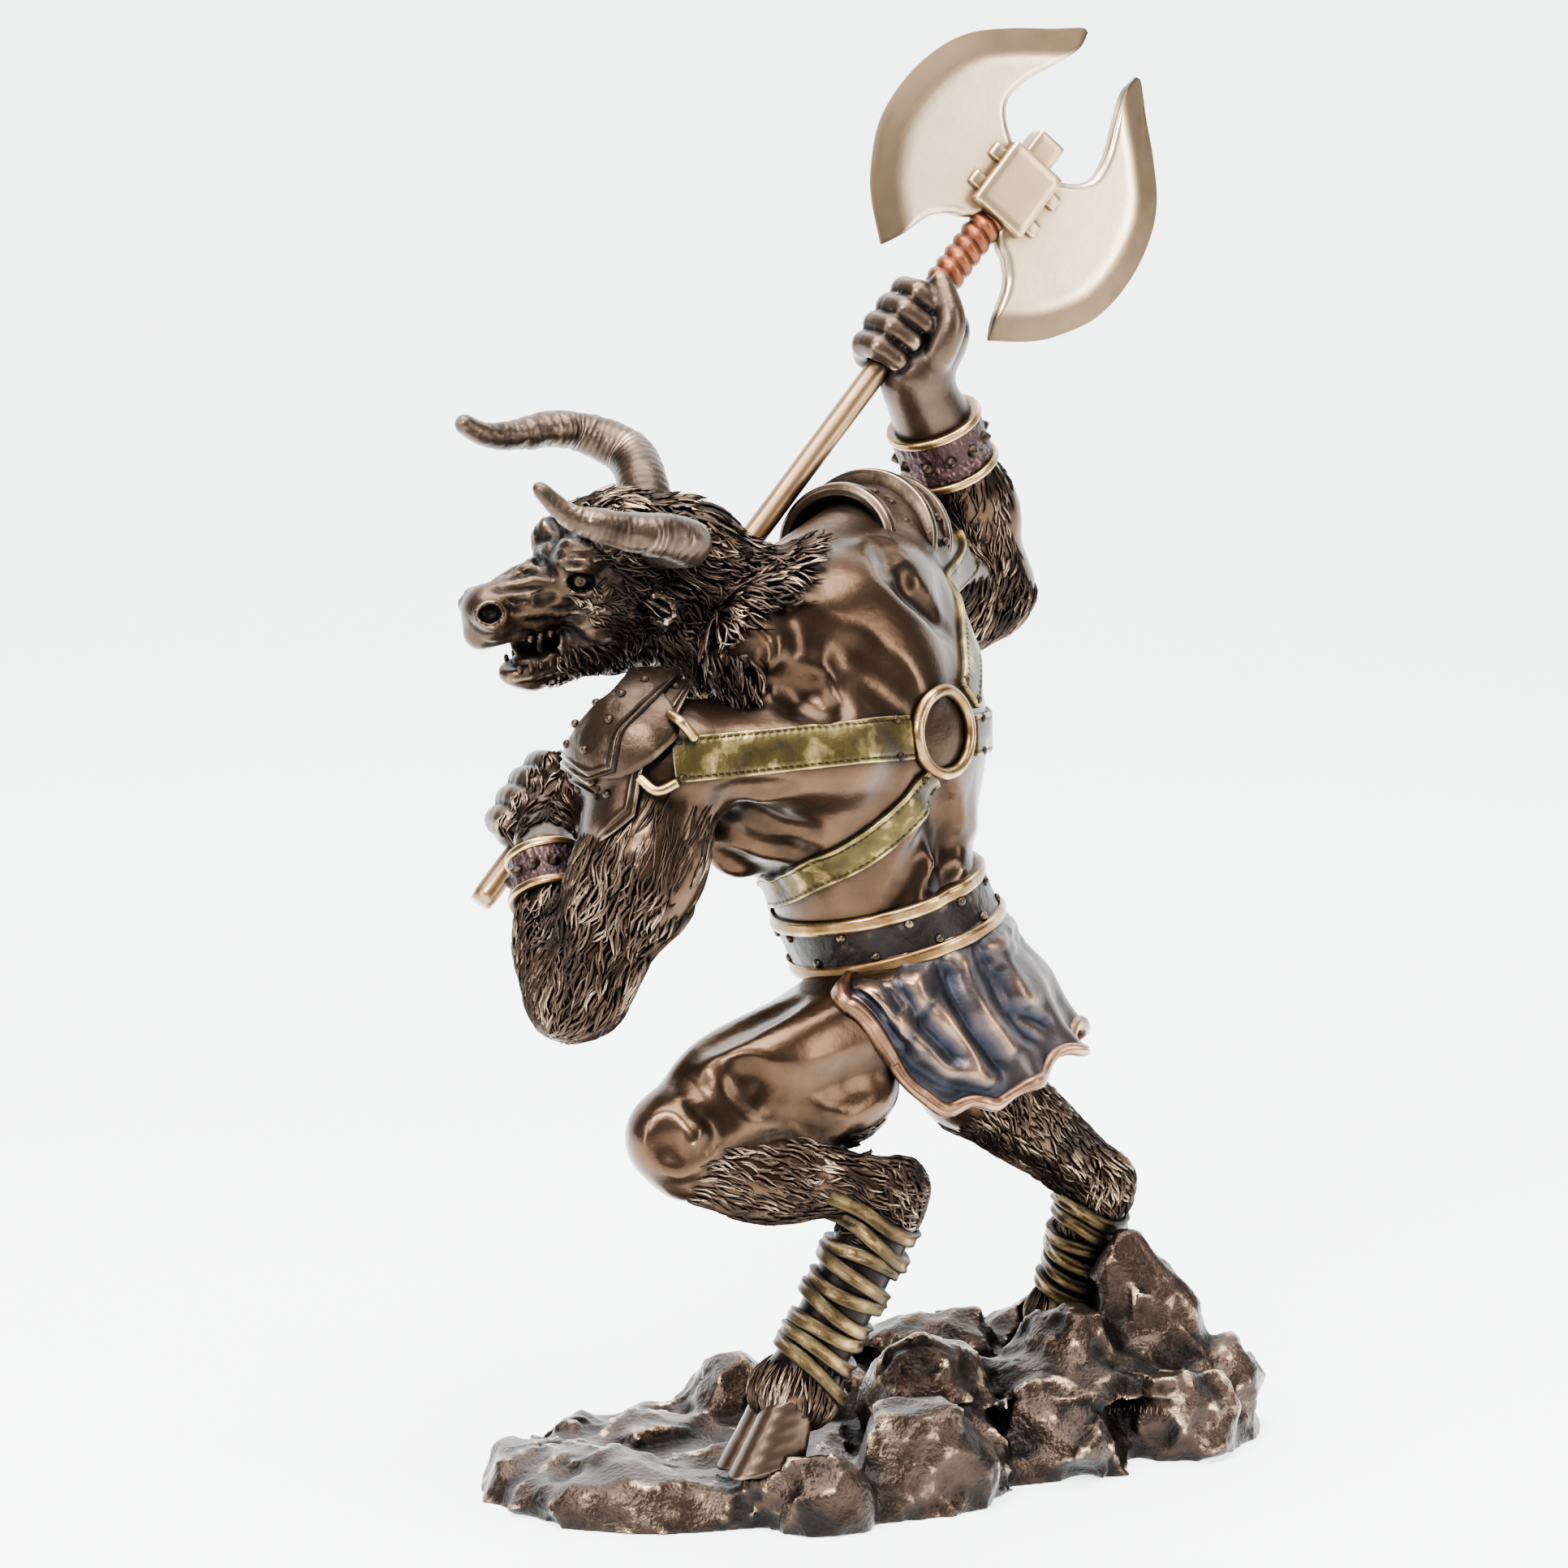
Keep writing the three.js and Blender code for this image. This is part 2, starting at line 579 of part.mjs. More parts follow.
// A shoulder plate: part of a shell over the deltoid, with a thick rim and a pointed lower edge
function plate(centre, out, down, radius, spec) {
  const outer = [];
  const inner = [];
  for (let row = 0; row <= spec.rows; row += 1) {
    const fall = row / spec.rows;
    for (let column = 0; column <= spec.columns; column += 1) {
      const turn = ((column / spec.columns) * 2 - 1) * spec.spread;
      const point = spec.point * (1 - Math.abs(turn / spec.spread));
      const lean = THREE.MathUtils.lerp(spec.from, spec.to + point, fall);
      const rim = row === spec.rows ? spec.rim : 0;
      const way = out.clone().multiplyScalar(Math.cos(lean)).addScaledVector(down, Math.sin(lean));
      way.applyAxisAngle(down, turn).normalize();
      outer.push(centre.clone().addScaledVector(way, radius + spec.thickness + rim));
      inner.push(centre.clone().addScaledVector(way, radius - 4));
    }
  }
  return shell(outer, inner, spec.rows, spec.columns);
}

// A closed slab between two grids of points
function shell(outer, inner, rows, columns) {
  const wide = columns + 1;
  const count = wide * (rows + 1);
  const faces = [];
  const quad = (a, b, c, d) => faces.push(a, c, b, a, d, c);
  for (let row = 0; row < rows; row += 1) {
    for (let column = 0; column < columns; column += 1) {
      const a = row * wide + column;
      quad(a, a + wide, a + wide + 1, a + 1);
      quad(count + a, count + a + 1, count + a + wide + 1, count + a + wide);
    }
  }
  for (let column = 0; column < columns; column += 1) {
    const low = rows * wide + column;
    quad(column, column + 1, count + column + 1, count + column);
    quad(low + 1, low, count + low, count + low + 1);
  }
  for (let row = 0; row < rows; row += 1) {
    const a = row * wide;
    const b = a + columns;
    quad(a + wide, a, count + a, count + a + wide);
    quad(b, b + wide, count + b + wide, count + b);
  }
  const geometry = new THREE.BufferGeometry();
  const points = [...outer, ...inner].flatMap((p) => p.toArray());
  geometry.setAttribute('position', new THREE.Float32BufferAttribute(points, 3));
  geometry.setIndex(faces);
  return solid(geometry);
}

function pauldrons() {
  const out = vec(-0.22, -0.95, 0.16).normalize();
  const down = vec(-0.5, -0.05, -0.85).projectOnPlane(out).normalize();
  const centre = vec(-45.6, -25.5, 156);
  const spec = { rows: 4, columns: 6, spread: 0.98, thickness: 1.6, rim: 0.9, point: 0.2 };
  const near = [
    plate(centre, out, down, 15.2, { ...spec, from: -0.8, to: 0.02 }),
    plate(centre, out, down, 14.2, { ...spec, from: -0.3, to: 0.5 }),
  ];
  return [...near, ...farPlates()];
}

// The far shoulder's plates: arched bands round the raised arm, each with a rim at its edge
const FAR_PLATE_AXIS = [vec(-7, 26, 189), vec(6, 45, 185.5)];
const FAR_PLATE_BANDS = [
  [[-1, 14.6], [0.8, 14.8], [1.2, 13.8], [9.5, 17], [9.5, 7], [-1, 7]],
  [[8.5, 19.2], [10.6, 19.2], [11, 17.8], [17, 17.4], [17, 8], [8.5, 8]],
  [[15.5, 18.6], [17.4, 18.4], [21.5, 15.6], [21.5, 9], [15.5, 9]],
];
const FAR_PLATE_TURNS = 9;

function farPlates() {
  const [from, to] = FAR_PLATE_AXIS;
  const axis = to.clone().sub(from).normalize();
  const top = UP.clone().projectOnPlane(axis).normalize();
  const side = axis.clone().cross(top);
  return FAR_PLATE_BANDS.map((profile) => {
    const rings = Array.from({ length: FAR_PLATE_TURNS + 1 }, (_, step) => {
      const turn = THREE.MathUtils.lerp(1.5, -1.7, step / FAR_PLATE_TURNS);
      const way = top.clone().multiplyScalar(Math.cos(turn)).addScaledVector(side, Math.sin(turn));
      return profile.map(([along, radius]) => (
        from.clone().addScaledVector(axis, along).addScaledVector(way, radius)
      ));
    });
    return loft(rings);
  });
}

// A bracer: a cuff round the forearm with a raised rim at each end
function bracer(start, end, radiusStart, radiusEnd) {
  const a = vec(...start);
  const b = vec(...end);
  const along = b.clone().sub(a).normalize();
  const u = UP.clone().projectOnPlane(along).normalize();
  const v = along.clone().cross(u);
  const rims = [0, 0.22, 0.78, 1].map((t) => [t, BRACER_RIM]);
  const stations = [rims[0], rims[1], [0.26, 0.4], [0.74, 0.4], rims[2], rims[3]];
  return loft(stations.map(([t, proud]) => {
    const radius = THREE.MathUtils.lerp(radiusStart, radiusEnd, t) + proud;
    return ring(a.clone().lerp(b, t), u, v, radius, radius, 11);
  }));
}

function bracers() {
  return [
    bracer([-65.6, -24, 125.5], [-67.3, -17.5, 134], 7.6, 7),
    bracer([16.8, 60, 204], [12.8, 55.5, 215.5], 9.6, 9.2),
  ];
}

// Leg wraps: tilted bands, each a low drum round the shin, stacked as wound cloth
function wraps(start, end, radius, count, lean) {
  const a = vec(...start);
  const b = vec(...end);
  const along = b.clone().sub(a).normalize();
  return Array.from({ length: count }, (_, number) => {
    const middlePoint = a.clone().lerp(b, (number + 0.5) / count);
    const tilt = lean * (number % 2 === 0 ? 1 : 0.3);
    const axis = along.clone().applyAxisAngle(LEFTWARD, tilt);
    const u = vec(1, 0, 0).projectOnPlane(axis).normalize();
    const v = axis.clone().cross(u);
    const half = (a.distanceTo(b) / count) * 0.56;
    const wide = radius + 0.5 * scatter(number + 3);
    return loft([[-half, 0.5], [0, 1.6], [half, 0.5]].map(([shift, proud]) => (
      ring(middlePoint.clone().addScaledVector(axis, shift), u, v, wide + proud, wide + proud, 9)
    )));
  });
}

function legWraps() {
  return [
    ...wraps([1, -28.5, 63], [-13.4, -32.5, 31], 7.4, 7, 0.2),
    ...wraps([48.5, 42, 49], [43.5, 45.5, 28], 6.6, 5, 0.22),
  ];
}

// Locks of fur: thin spindles laid along a flow, each sunk by its root
function lock(root, flow, out, length, width) {
  const spindle = new THREE.OctahedronGeometry(1);
  const along = flow.clone().normalize();
  const lift = out.clone().projectOnPlane(along).normalize();
  spindle.scale(width, length / 2, width * 0.55);
  const across = along.clone().cross(lift);
  spindle.applyMatrix4(placed(across, along, lift, root.clone().addScaledVector(along, length * 0.32)));
  return solid(spindle);
}

// A patch of locks in rows and columns over the skin near a bone
function fur(find, from, to, around, flow, rows, columns, size) {
  const locks = [];
  for (let row = 0; row < rows; row += 1) {
    for (let column = 0; column < columns; column += 1) {
      const seed = row * 17 + column * 5 + rows;
      const centre = from.clone().lerp(to, (row + 0.5 * (column % 2) + 0.3) / rows);
      const axis = to.clone().sub(from).normalize();
      const turn = THREE.MathUtils.lerp(around[0], around[1], (column + 0.5) / columns);
      const way = around[2].clone().projectOnPlane(axis).applyAxisAngle(axis, turn).normalize();
      const skin = find(centre, way);
      if (!skin || skin.distanceTo(centre) > size.reach) continue;
      const drift = flow.clone().addScaledVector(axis.clone().cross(way), scatter(seed) - 0.5);
      locks.push(lock(skin, drift, way, size.length * (0.8 + 0.4 * scatter(seed + 1)), size.width));
    }
  }
  return locks;
}

function coat(find) {
  const neckEnd = headPoint(-2, 0, 0);
  const mane = { length: 12, width: 2.8, reach: 24 };
  const arm = { length: 10, width: 2.6, reach: 18 };
  const shin = { length: 9, width: 2.2, reach: 13 };
  const patches = [
    [neckEnd, vec(-22, 0, 180), [-0.4, 2, UP], vec(0.9, -0.1, -0.45), 4, 6, mane],
    [headPoint(6, 0, -8), headPoint(-14, 0, -12), [-1.4, 1.4, vec(0, 0, -1)], vec(0.4, 0, -1), 3, 5, mane],
    [vec(-46, -31, 140), vec(-59, -40, 108), [-1.4, 1.4, vec(0.3, -1, 0)], vec(-0.4, -0.3, -1), 4, 4, arm],
    [vec(-36, -37, 73), vec(4, -28, 67), [-1.2, 1.2, vec(0, -1, -0.3)], vec(0.9, 0.1, -0.2), 4, 3, shin],
    [vec(25, 28, 76), vec(46, 41, 55), [-1.2, 1.2, LEFTWARD], vec(0.7, 0.3, -0.6), 3, 3, shin],
  ];
  return patches.flatMap((patch) => fur(find, ...patch));
}

const FLESH_SHARE = 0.45;
const FIGURE_SHARE = 0.43;

async function minotaur() {
  const flesh = join([...torso(), ...nearLeg(), ...farLeg(), ...farArm(), ...nearArm()]);
  const body = await lighten(flesh, FLESH_SHARE);
  const crown = join(head()).subtract(join(mouthCut()));
  const furred = join([body, crown]);
  const find = skinFinder(join(torso()));
  const worn = [belt(find), kilt(), ...harness(find), ...pauldrons(), ...bracers(), ...legWraps()];
  const hands = [...nearHand(), ...farHand()];
  const whole = join([furred, ...hands, ...worn, ...coat(skinFinder(furred)), ...horns()]);
  const lighter = await lighten(outerSkin(whole), FIGURE_SHARE);
  const shod = join([lighter, ...hoof(...NEAR_HOOF), ...hoof(...FAR_HOOF)]);
  const bore = join([shaftRod(SHAFT_RADIUS + GAP, -6, 205), gripSleeve(GRIP_RADIUS + GRIP_SWELL + GAP)]);
  return sound(shod, bore);
}

// The shaft, and the same rod a little wider for the passage through the fists
function shaftRod(radius, from, to, sides = 12) {
  const ends = [from, to].map((along) => (
    ring(shaftPoint(along), SHAFT_FACE, SHAFT_SIDE, radius, radius, sides)
  ));
  return loft(ends);
}

// The axe. Its blade outline is one half, mirrored: places are along the shaft and across it
const BLADE_ROOT = 192.2;
const BLADE_OUTER = [
  [-27.9, 16], [-22.4, 22.8], [-17.3, 27.2], [-8.2, 32], [2, 33.3], [12.2, 31.8], [20.4, 28.1], [27.5, 21.5],
  [33.7, 14.3], [38.6, 9], [38.9, 7.4],
];
const BLADE_INNER = [[33.7, 6.9], [26.5, 9.6], [20, 12.2], [14.4, 12.6], [10.6, 9.8], [7.5, 5], [5.5, 2]];
const BLADE_LOWER = [[-7, 2], [-11, 4.6], [-12.9, 8], [-16.5, 11.2], [-23.2, 13.4]];

function blade(side) {
  const shape = new THREE.Shape();
  const outline = [...BLADE_LOWER, ...BLADE_OUTER, ...BLADE_INNER].reverse();
  outline.forEach(([along, across], number) => {
    if (number === 0) shape.moveTo(across, along);
    else shape.lineTo(across, along);
  });
  shape.closePath();
  const bevel = 1.5;
  const slab = new THREE.ExtrudeGeometry(shape, {
    depth: BLADE_THICKNESS - 2 * bevel,
    bevelThickness: bevel,
    bevelSize: 1,
    bevelOffset: -1,
    bevelSegments: 1,
  });
  slab.translate(0, 0, bevel - BLADE_THICKNESS / 2);
  if (side < 0) slab.rotateY(Math.PI);
  slab.applyMatrix4(placed(BLADE_SIDE, SHAFT, BLADE_FACE, shaftPoint(BLADE_ROOT)));
  return solid(slab);
}

const BLADE_FACE = vec(0.5, -0.92, 0.28).projectOnPlane(SHAFT).normalize();
const BLADE_SIDE = SHAFT.clone().cross(BLADE_FACE);

function drum(stations, sides = 8) {
  return loft(stations.map(([along, radius]) => (
    ring(shaftPoint(along), BLADE_FACE, BLADE_SIDE, radius, radius, sides)
  )));
}

function grip() {
  const stations = [];
  for (let turn = 0; turn < GRIP_TURNS; turn += 1) {
    const start = GRIP_FROM + turn * GRIP_PITCH;
    stations.push([start, GRIP_RADIUS - 0.5], [start + GRIP_PITCH / 2, GRIP_RADIUS + GRIP_SWELL]);
  }
  stations.push([GRIP_FROM + GRIP_TURNS * GRIP_PITCH, GRIP_RADIUS - 0.5]);
  return drum(stations);
}

// The room the wound grip needs in the fist that holds its lower end
function gripSleeve(radius) {
  return drum([[GRIP_FROM - GAP, radius], [GRIP_FROM + GRIP_TURNS * GRIP_PITCH, radius]]);
}

function boss() {
  const blocks = [[12, 14.4, 10, 0.3], [10, 10, 8.4, 5], [6.6, 7, 6.6, 10.8]];
  const tabs = [-4.2, 4.2].map((along) => [17.5, 3, 5.4, along]);
  return [...blocks, ...tabs].map(([wide, long, deep, along]) => {
    const block = new THREE.BoxGeometry(wide, long, deep);
    return solid(block.applyMatrix4(placed(BLADE_SIDE, SHAFT, BLADE_FACE, shaftPoint(BLADE_ROOT + along))));
  });
}

const AXE_SHARE = 0.8;

async function axe() {
  const parts = [shaftRod(SHAFT_RADIUS, 0, BLADE_ROOT), grip(), ...boss(), blade(1), blade(-1)];
  return outerSkin(await lighten(join(parts), AXE_SHARE));
}

// The rock. Boulders: centre, half sizes, seed
const ROCK_OUTLINE = [
  [-80, -4], [-80, -22], [-72, -34], [-64, -42], [-46, -48], [-26, -45.5], [-4, -40], [16, -35], [23, -26],
  [27, -14], [40, -9], [48, 5], [66, 17], [75, 33], [84, 44], [80, 58], [58, 68], [22, 64], [-14, 50],
  [-42, 38], [-66, 22],
];
const BOULDERS = [
  [[-63, 14, 2], [8.5, 9, 7.2], 1],
  [[-69, -12, 2], [9.5, 13, 5], 2],
  [[-32, 29, 4], [14, 12, 14.4], 3],
  [[-46, 8, 4], [12, 10, 9.5], 4],
  [[-58, -24, 2], [20, 20, 9], 5],
  [[-38, -35, 3], [16, 13, 8.5], 19],
  [[-15, -40, 4], [14, 9, 10], 6],
  [[8, -25, 7], [17, 14, 15], 7],
  [[13, 2, 10], [15, 18, 19.5], 8],
  [[38, -1, 7], [11, 11, 13.5], 9],
  [[61, 17, 8], [15, 13, 14.5], 10],
  [[75.5, 38, 7], [9.5, 13, 13], 11],
  [[14, 42, 8], [21, 18, 17], 12],
  [[44, 22, 12], [16, 13, 19], 13],
  [[53.4, 34, 16], [14.6, 12, 27], 14],
  [[62, 39, 12], [12.5, 13, 22], 15],
  [[40, 56, 6], [20, 12, 17], 16],
  [[-8, 30, 5], [16, 16, 11], 17],
  [[-16, -12, 4], [20, 20, 8], 18],
];

function boulder(centre, half, seed) {
  const lump = new THREE.IcosahedronGeometry(1, 1);
  const place = lump.getAttribute('position');
  const point = vec(0, 0, 0);
  for (let corner = 0; corner < place.count; corner += 1) {
    point.fromBufferAttribute(place, corner);
    const [cx, cy, cz] = point.toArray().map((value) => Math.round(value * 40));
    const key = cx * 3.1 + cy * 7.7 + cz * 1.3;
    point.multiplyScalar(0.92 + 0.14 * scatter(key + seed * 11));
    place.setXYZ(corner, point.x, point.y, point.z);
  }
  lump.rotateZ(seed * 1.7);
  lump.scale(...half);
  lump.translate(...centre);
  return solid(lump);
}

const ROCK_SHARE = 0.6;

async function base() {
  const outline = new THREE.Shape(ROCK_OUTLINE.map(([x, y]) => new THREE.Vector2(x, y)));
  const slab = solid(new THREE.ExtrudeGeometry(outline, {
    depth: BASE_SLAB - 3,
    bevelThickness: 3,
    bevelSize: 2.5,
    bevelOffset: -2.5,
    bevelSegments: 1,
  }));
  const rock = join([slab, ...BOULDERS.map((entry) => boulder(...entry))]);
  const ground = solid(new THREE.BoxGeometry(300, 300, 60).translate(0, 0, -30));
  const sockets = [...hoof(...NEAR_HOOF, SOCKET_GROW), ...hoof(...FAR_HOOF, SOCKET_GROW)];
  const ankles = [
    mass([-16, -33, 36.4], [-17, -33, 15.6], 11, 10.3, LEFTWARD, 10),
    mass([42, 46, 32.4], [41, 47, 12.6], 10, 9.3, LEFTWARD, 10),
    bone([47.5, 42, 48], [42, 46, 26], 10.2, 10),
    bone([0, -28, 62], [-14, -33, 30], 10.4, 10.2),
  ];
  const plain = outerSkin(await lighten(rock, ROCK_SHARE));
  return sound(plain, join([ground, ...sockets, ...ankles]));
}

// The pieces, each with its finish
const FINISH = {
  base: { color: 0x4a3a31, roughness: 0.5, metalness: 0.6 },
  minotaur: { color: 0x8a735c, roughness: 0.42, metalness: 0.7 },
  axe: { color: 0xc3a98e, roughness: 0.35, metalness: 0.8 },
};

function piece(name, body) {
  const mesh = new THREE.Mesh(toGeometry(body), new THREE.MeshStandardMaterial(FINISH[name]));
  mesh.name = name;
  return mesh;
}

const statue = new THREE.Group();
statue.add(piece('base', await base()));
statue.add(piece('minotaur', await minotaur()));
statue.add(piece('axe', await axe()));

export default statue;
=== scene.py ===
"""Bull-headed warrior striding over a rock, a two-bladed axe in both fists.

A small cast statue in an aged bronze finish. Lengths are in millimetres in the row's own frame
(+Z up, -X the way the figure strides, -Y towards the viewer) and turn into metres where a mesh is made.
"""

from __future__ import annotations

import logging
import math
from dataclasses import dataclass
from enum import Enum
from typing import Callable, Iterable, Sequence

import bpy
import numpy as np
from mathutils import Matrix

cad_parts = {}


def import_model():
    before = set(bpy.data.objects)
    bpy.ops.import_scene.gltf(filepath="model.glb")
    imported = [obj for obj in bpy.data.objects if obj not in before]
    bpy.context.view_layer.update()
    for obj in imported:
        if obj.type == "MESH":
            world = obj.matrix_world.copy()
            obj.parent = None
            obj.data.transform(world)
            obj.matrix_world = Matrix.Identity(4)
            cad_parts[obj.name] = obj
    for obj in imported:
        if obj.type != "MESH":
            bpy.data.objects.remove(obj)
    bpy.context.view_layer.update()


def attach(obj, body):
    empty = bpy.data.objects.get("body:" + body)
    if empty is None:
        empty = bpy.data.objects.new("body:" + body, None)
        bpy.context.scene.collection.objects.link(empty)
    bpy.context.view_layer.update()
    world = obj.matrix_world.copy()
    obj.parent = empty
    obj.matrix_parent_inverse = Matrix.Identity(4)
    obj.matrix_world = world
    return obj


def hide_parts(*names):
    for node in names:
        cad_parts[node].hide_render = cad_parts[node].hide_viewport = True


log = logging.getLogger("statue")

Array = np.ndarray
Point = Sequence[float]
Rule = Callable[[Array, Array], Array]

MM = 0.001
TAU = 2 * math.pi
UP = (0.0, 0.0, 1.0)
NEARWARD = (0.0, -1.0, 0.0)

# The photo's view: its place, what it looks at, and the plane's own directions there
VIEW_FROM = np.array([-18.7, -1284.0, 349.1])
VIEW_TARGET = np.array([-18.7, 0.0, 145.7])
VIEW_RIGHT = np.array([1.0, 0.0, 0.0])
VIEW_UP = np.array([0.0, 0.1564, 0.9877])


# Small vector helpers


def unit(vector: Point) -> Array:
    """A vector brought to length one.

    Args:
        vector: any vector that isn't zero.

    Returns:
        The same direction with length one.
    """
    vector = np.asarray(vector, float)
    return vector / (np.linalg.norm(vector) + 1e-12)


def units(vectors: Array) -> Array:
    """Rows of vectors, each brought to length one."""
    return vectors / (np.linalg.norm(vectors, axis=-1, keepdims=True) + 1e-12)


def frame_of(along: Point, out: Point) -> Array:
    """Three square directions as rows: along, the part of out square to it, and across."""
    first = unit(along)
    second = unit(np.asarray(out, float) - first * (first @ np.asarray(out, float)))
    return np.stack([first, second, np.cross(first, second)])


def smooth_path(points: Sequence[Point], count: int) -> Array:
    """Points along a curve that passes through all the given ones.

    Between two given points the curve is a cubic whose slope at each is half the step from
    the point before to the point after.

    Args:
        points: rows of any length, in order.
        count: how many rows to return.

    Returns:
        count rows, evenly spaced in the given points' own numbering.
    """
    rows = np.asarray(points, float)
    rows = rows[:, None] if rows.ndim == 1 else rows
    t = np.linspace(0, len(rows) - 1, count)
    ends = np.vstack([2 * rows[0] - rows[1], rows, 2 * rows[-1] - rows[-2]])
    at = np.clip(t.astype(int), 0, len(rows) - 2)
    u = (t - at)[:, None]
    a, b, c, d = (ends[at + shift] for shift in range(4))
    return 0.5 * (2 * b + (c - a) * u + (2 * a - 5 * b + 4 * c - d) * u**2 + (3 * b - a - 3 * c + d) * u**3)


def turns(count: int) -> Array:
    """Even turns once round, in radians."""
    return np.arange(count) / count * TAU


def round_ways(axes: Array, turn: Array) -> Array:
    """The ways out at turns round the first of three axes."""
    return np.cos(turn)[:, None] * axes[1] + np.sin(turn)[:, None] * axes[2]


def level_ways(turn: Array) -> Array:
    """The level ways out at turns round an upright axis."""
    return np.stack([np.cos(turn), np.sin(turn), np.zeros_like(turn)], -1)


def ramp(low: float, high: float, value: Array) -> Array:
    """0 below low, 1 above high, and a smooth rise between."""
    t = np.clip((value - low) / (high - low), 0, 1)
    return t * t * (3 - 2 * t)


def noise(points: Array, size: float, seed: int = 0) -> Array:
    """Soft noise from -1 to 1 over space: random values on a lattice, blended smoothly between.

    Args:
        points: rows of x, y, z.
        size: the lattice's step.
        seed: picks another lattice.

    Returns:
        One value for each row.
    """
    table = np.random.default_rng(seed).uniform(-1, 1, (32, 32, 32)).astype(np.float32)
    place = np.asarray(points) / size + 100.0
    cell = np.floor(place).astype(int)
    part = place - cell
    part = part * part * (3 - 2 * part)
    total = np.zeros(len(place))
    for corner in np.ndindex(2, 2, 2):
        weight = np.prod(np.where(corner, part, 1 - part), axis=-1)
        index = (cell + corner) % 32
        total += weight * table[index[:, 0], index[:, 1], index[:, 2]]
    return total


def view_aims(places: Array) -> Array:
    """Where places in the view's plane are in space."""
    return VIEW_TARGET + places[..., :1] * VIEW_RIGHT + places[..., 1:2] * VIEW_UP


def in_view(points: Array) -> Array:
    """Where points show in the view's plane, as the way right and the way up from its middle."""
    ahead = unit(VIEW_TARGET - VIEW_FROM)
    ways = points - VIEW_FROM
    scale = (ahead @ (VIEW_TARGET - VIEW_FROM)) / (ways @ ahead)
    aims = VIEW_FROM + ways * scale[..., None] - VIEW_TARGET
    return np.stack([aims @ VIEW_RIGHT, aims @ VIEW_UP], -1)


def line_gap(places: Array, line: Sequence[Point]) -> Array:
    """How far places lie from a line of points, in as many dimensions as both have."""
    nearest = np.full(places.shape[:-1], 1e9)
    for start, end in zip(np.asarray(line[:-1], float), np.asarray(line[1:], float)):
        axis = end - start
        share = np.clip((places - start) @ axis / (axis @ axis), 0, 1)
        nearest = np.minimum(nearest, np.linalg.norm(places - start - share[..., None] * axis, axis=-1))
    return nearest


def chips(points: Array, size: float, slant: float, scoop: float, seed: int) -> Array:
    """Relief like chipped stone: the deepest of many shallow scoops, so that sharp ridges lie between them.

    Args:
        points: rows of x, y, z.
        size: the distance between the scoops' middles.
        slant: the steepest slope of a scoop's floor.
        scoop: how fast a scoop's floor rises away from its middle.
        seed: picks other scoops.
    """
    cell = np.floor(points / size).astype(int)
    spread = np.random.default_rng(seed).random((0x10000, 6))
    deepest = np.full(len(points), -1e9)
    for step in np.ndindex(3, 3, 3):
        corner = cell + np.array(step) - 1
        code = (corner @ np.array([73856093, 19349663, 83492791]) + seed * 7919) & 0xFFFF
        away = points - (corner + spread[code, :3]) * size
        floor = (away * (spread[code, 3:] - 0.5)).sum(1) * 2 * slant
        deepest = np.maximum(deepest, floor - scoop * (away**2).sum(1) / size)
    return deepest


# Skins: meshes as whole arrays


@dataclass
class Skin:
    """A closed mesh: vertex rows in millimetres and blocks of equal-sided faces."""

    points: Array
    faces: list[Array]

    def steps(self) -> tuple[Array, Array]:
        """The two ends of each side of each face, both ways round."""
        start, end = [], []
        for block in self.faces:
            for side in range(block.shape[1]):
                a, b = block[:, side], block[:, (side + 1) % block.shape[1]]
                start += [a, b]
                end += [b, a]
        return np.concatenate(start), np.concatenate(end)

    def normals(self) -> Array:
        """Outward directions at the vertices, weighted by face area."""
        total = np.zeros_like(self.points)
        for block in self.faces:
            corners = self.points[block]
            if block.shape[1] == 4:
                area = np.cross(corners[:, 2] - corners[:, 0], corners[:, 3] - corners[:, 1])
            else:
                area = np.cross(corners[:, 1] - corners[:, 0], corners[:, 2] - corners[:, 0])
            for side in range(block.shape[1]):
                for axis in range(3):
                    total[:, axis] += np.bincount(block[:, side], area[:, axis], len(total))
        return units(total)

    def spread(self, values: Array, rounds: int) -> Array:
        """One value at each vertex, averaged with its neighbours some times over."""
        start, end = self.steps()
        count = np.bincount(start, minlength=len(self.points)).clip(1)
        for _ in range(rounds):
            values = 0.5 * (values + np.bincount(start, values[end], len(values)) / count)
        return values

    def bend(self) -> Array:
        """How sharply the skin is hollow (below 0) or raised (above 0) at each vertex, per millimetre."""
        start, end = self.steps()
        step = self.points[end] - self.points[start]
        rise = (step * self.normals()[start]).sum(1) / ((step**2).sum(1) + 1e-6)
        count = np.bincount(start, minlength=len(self.points)).clip(1)
        return -np.bincount(start, rise, len(self.points)) / count


def grid_faces(rows: int, columns: int, closed: bool, offset: int = 0, flip: bool = False) -> Array:
    """The four-sided faces between neighbouring rows and columns of a grid of vertices."""
    row, column = np.mgrid[0 : rows - 1, 0 : columns if closed else columns - 1]
    a = row * columns + column
    b = row * columns + (column + 1) % columns
    faces = np.stack([a, b, b + columns, a + columns], -1).reshape(-1, 4) + offset
    return faces[:, ::-1] if flip else faces


def capped(rings: Array) -> Skin:
    """A skin over rings of points, rows x sides x 3, closed by a fan at each end."""
    rows, sides, _ = rings.shape
    points = np.vstack([rings.reshape(-1, 3), rings[0].mean(0), rings[-1].mean(0)])
    side = np.arange(sides)
    following = (side + 1) % sides
    first = np.stack([following, side, np.full(sides, rows * sides)], 1)
    last_ring = (rows - 1) * sides
    last = np.stack([last_ring + side, last_ring + following, np.full(sides, rows * sides + 1)], 1)
    return Skin(points, [grid_faces(rows, sides, True), np.vstack([first, last])])


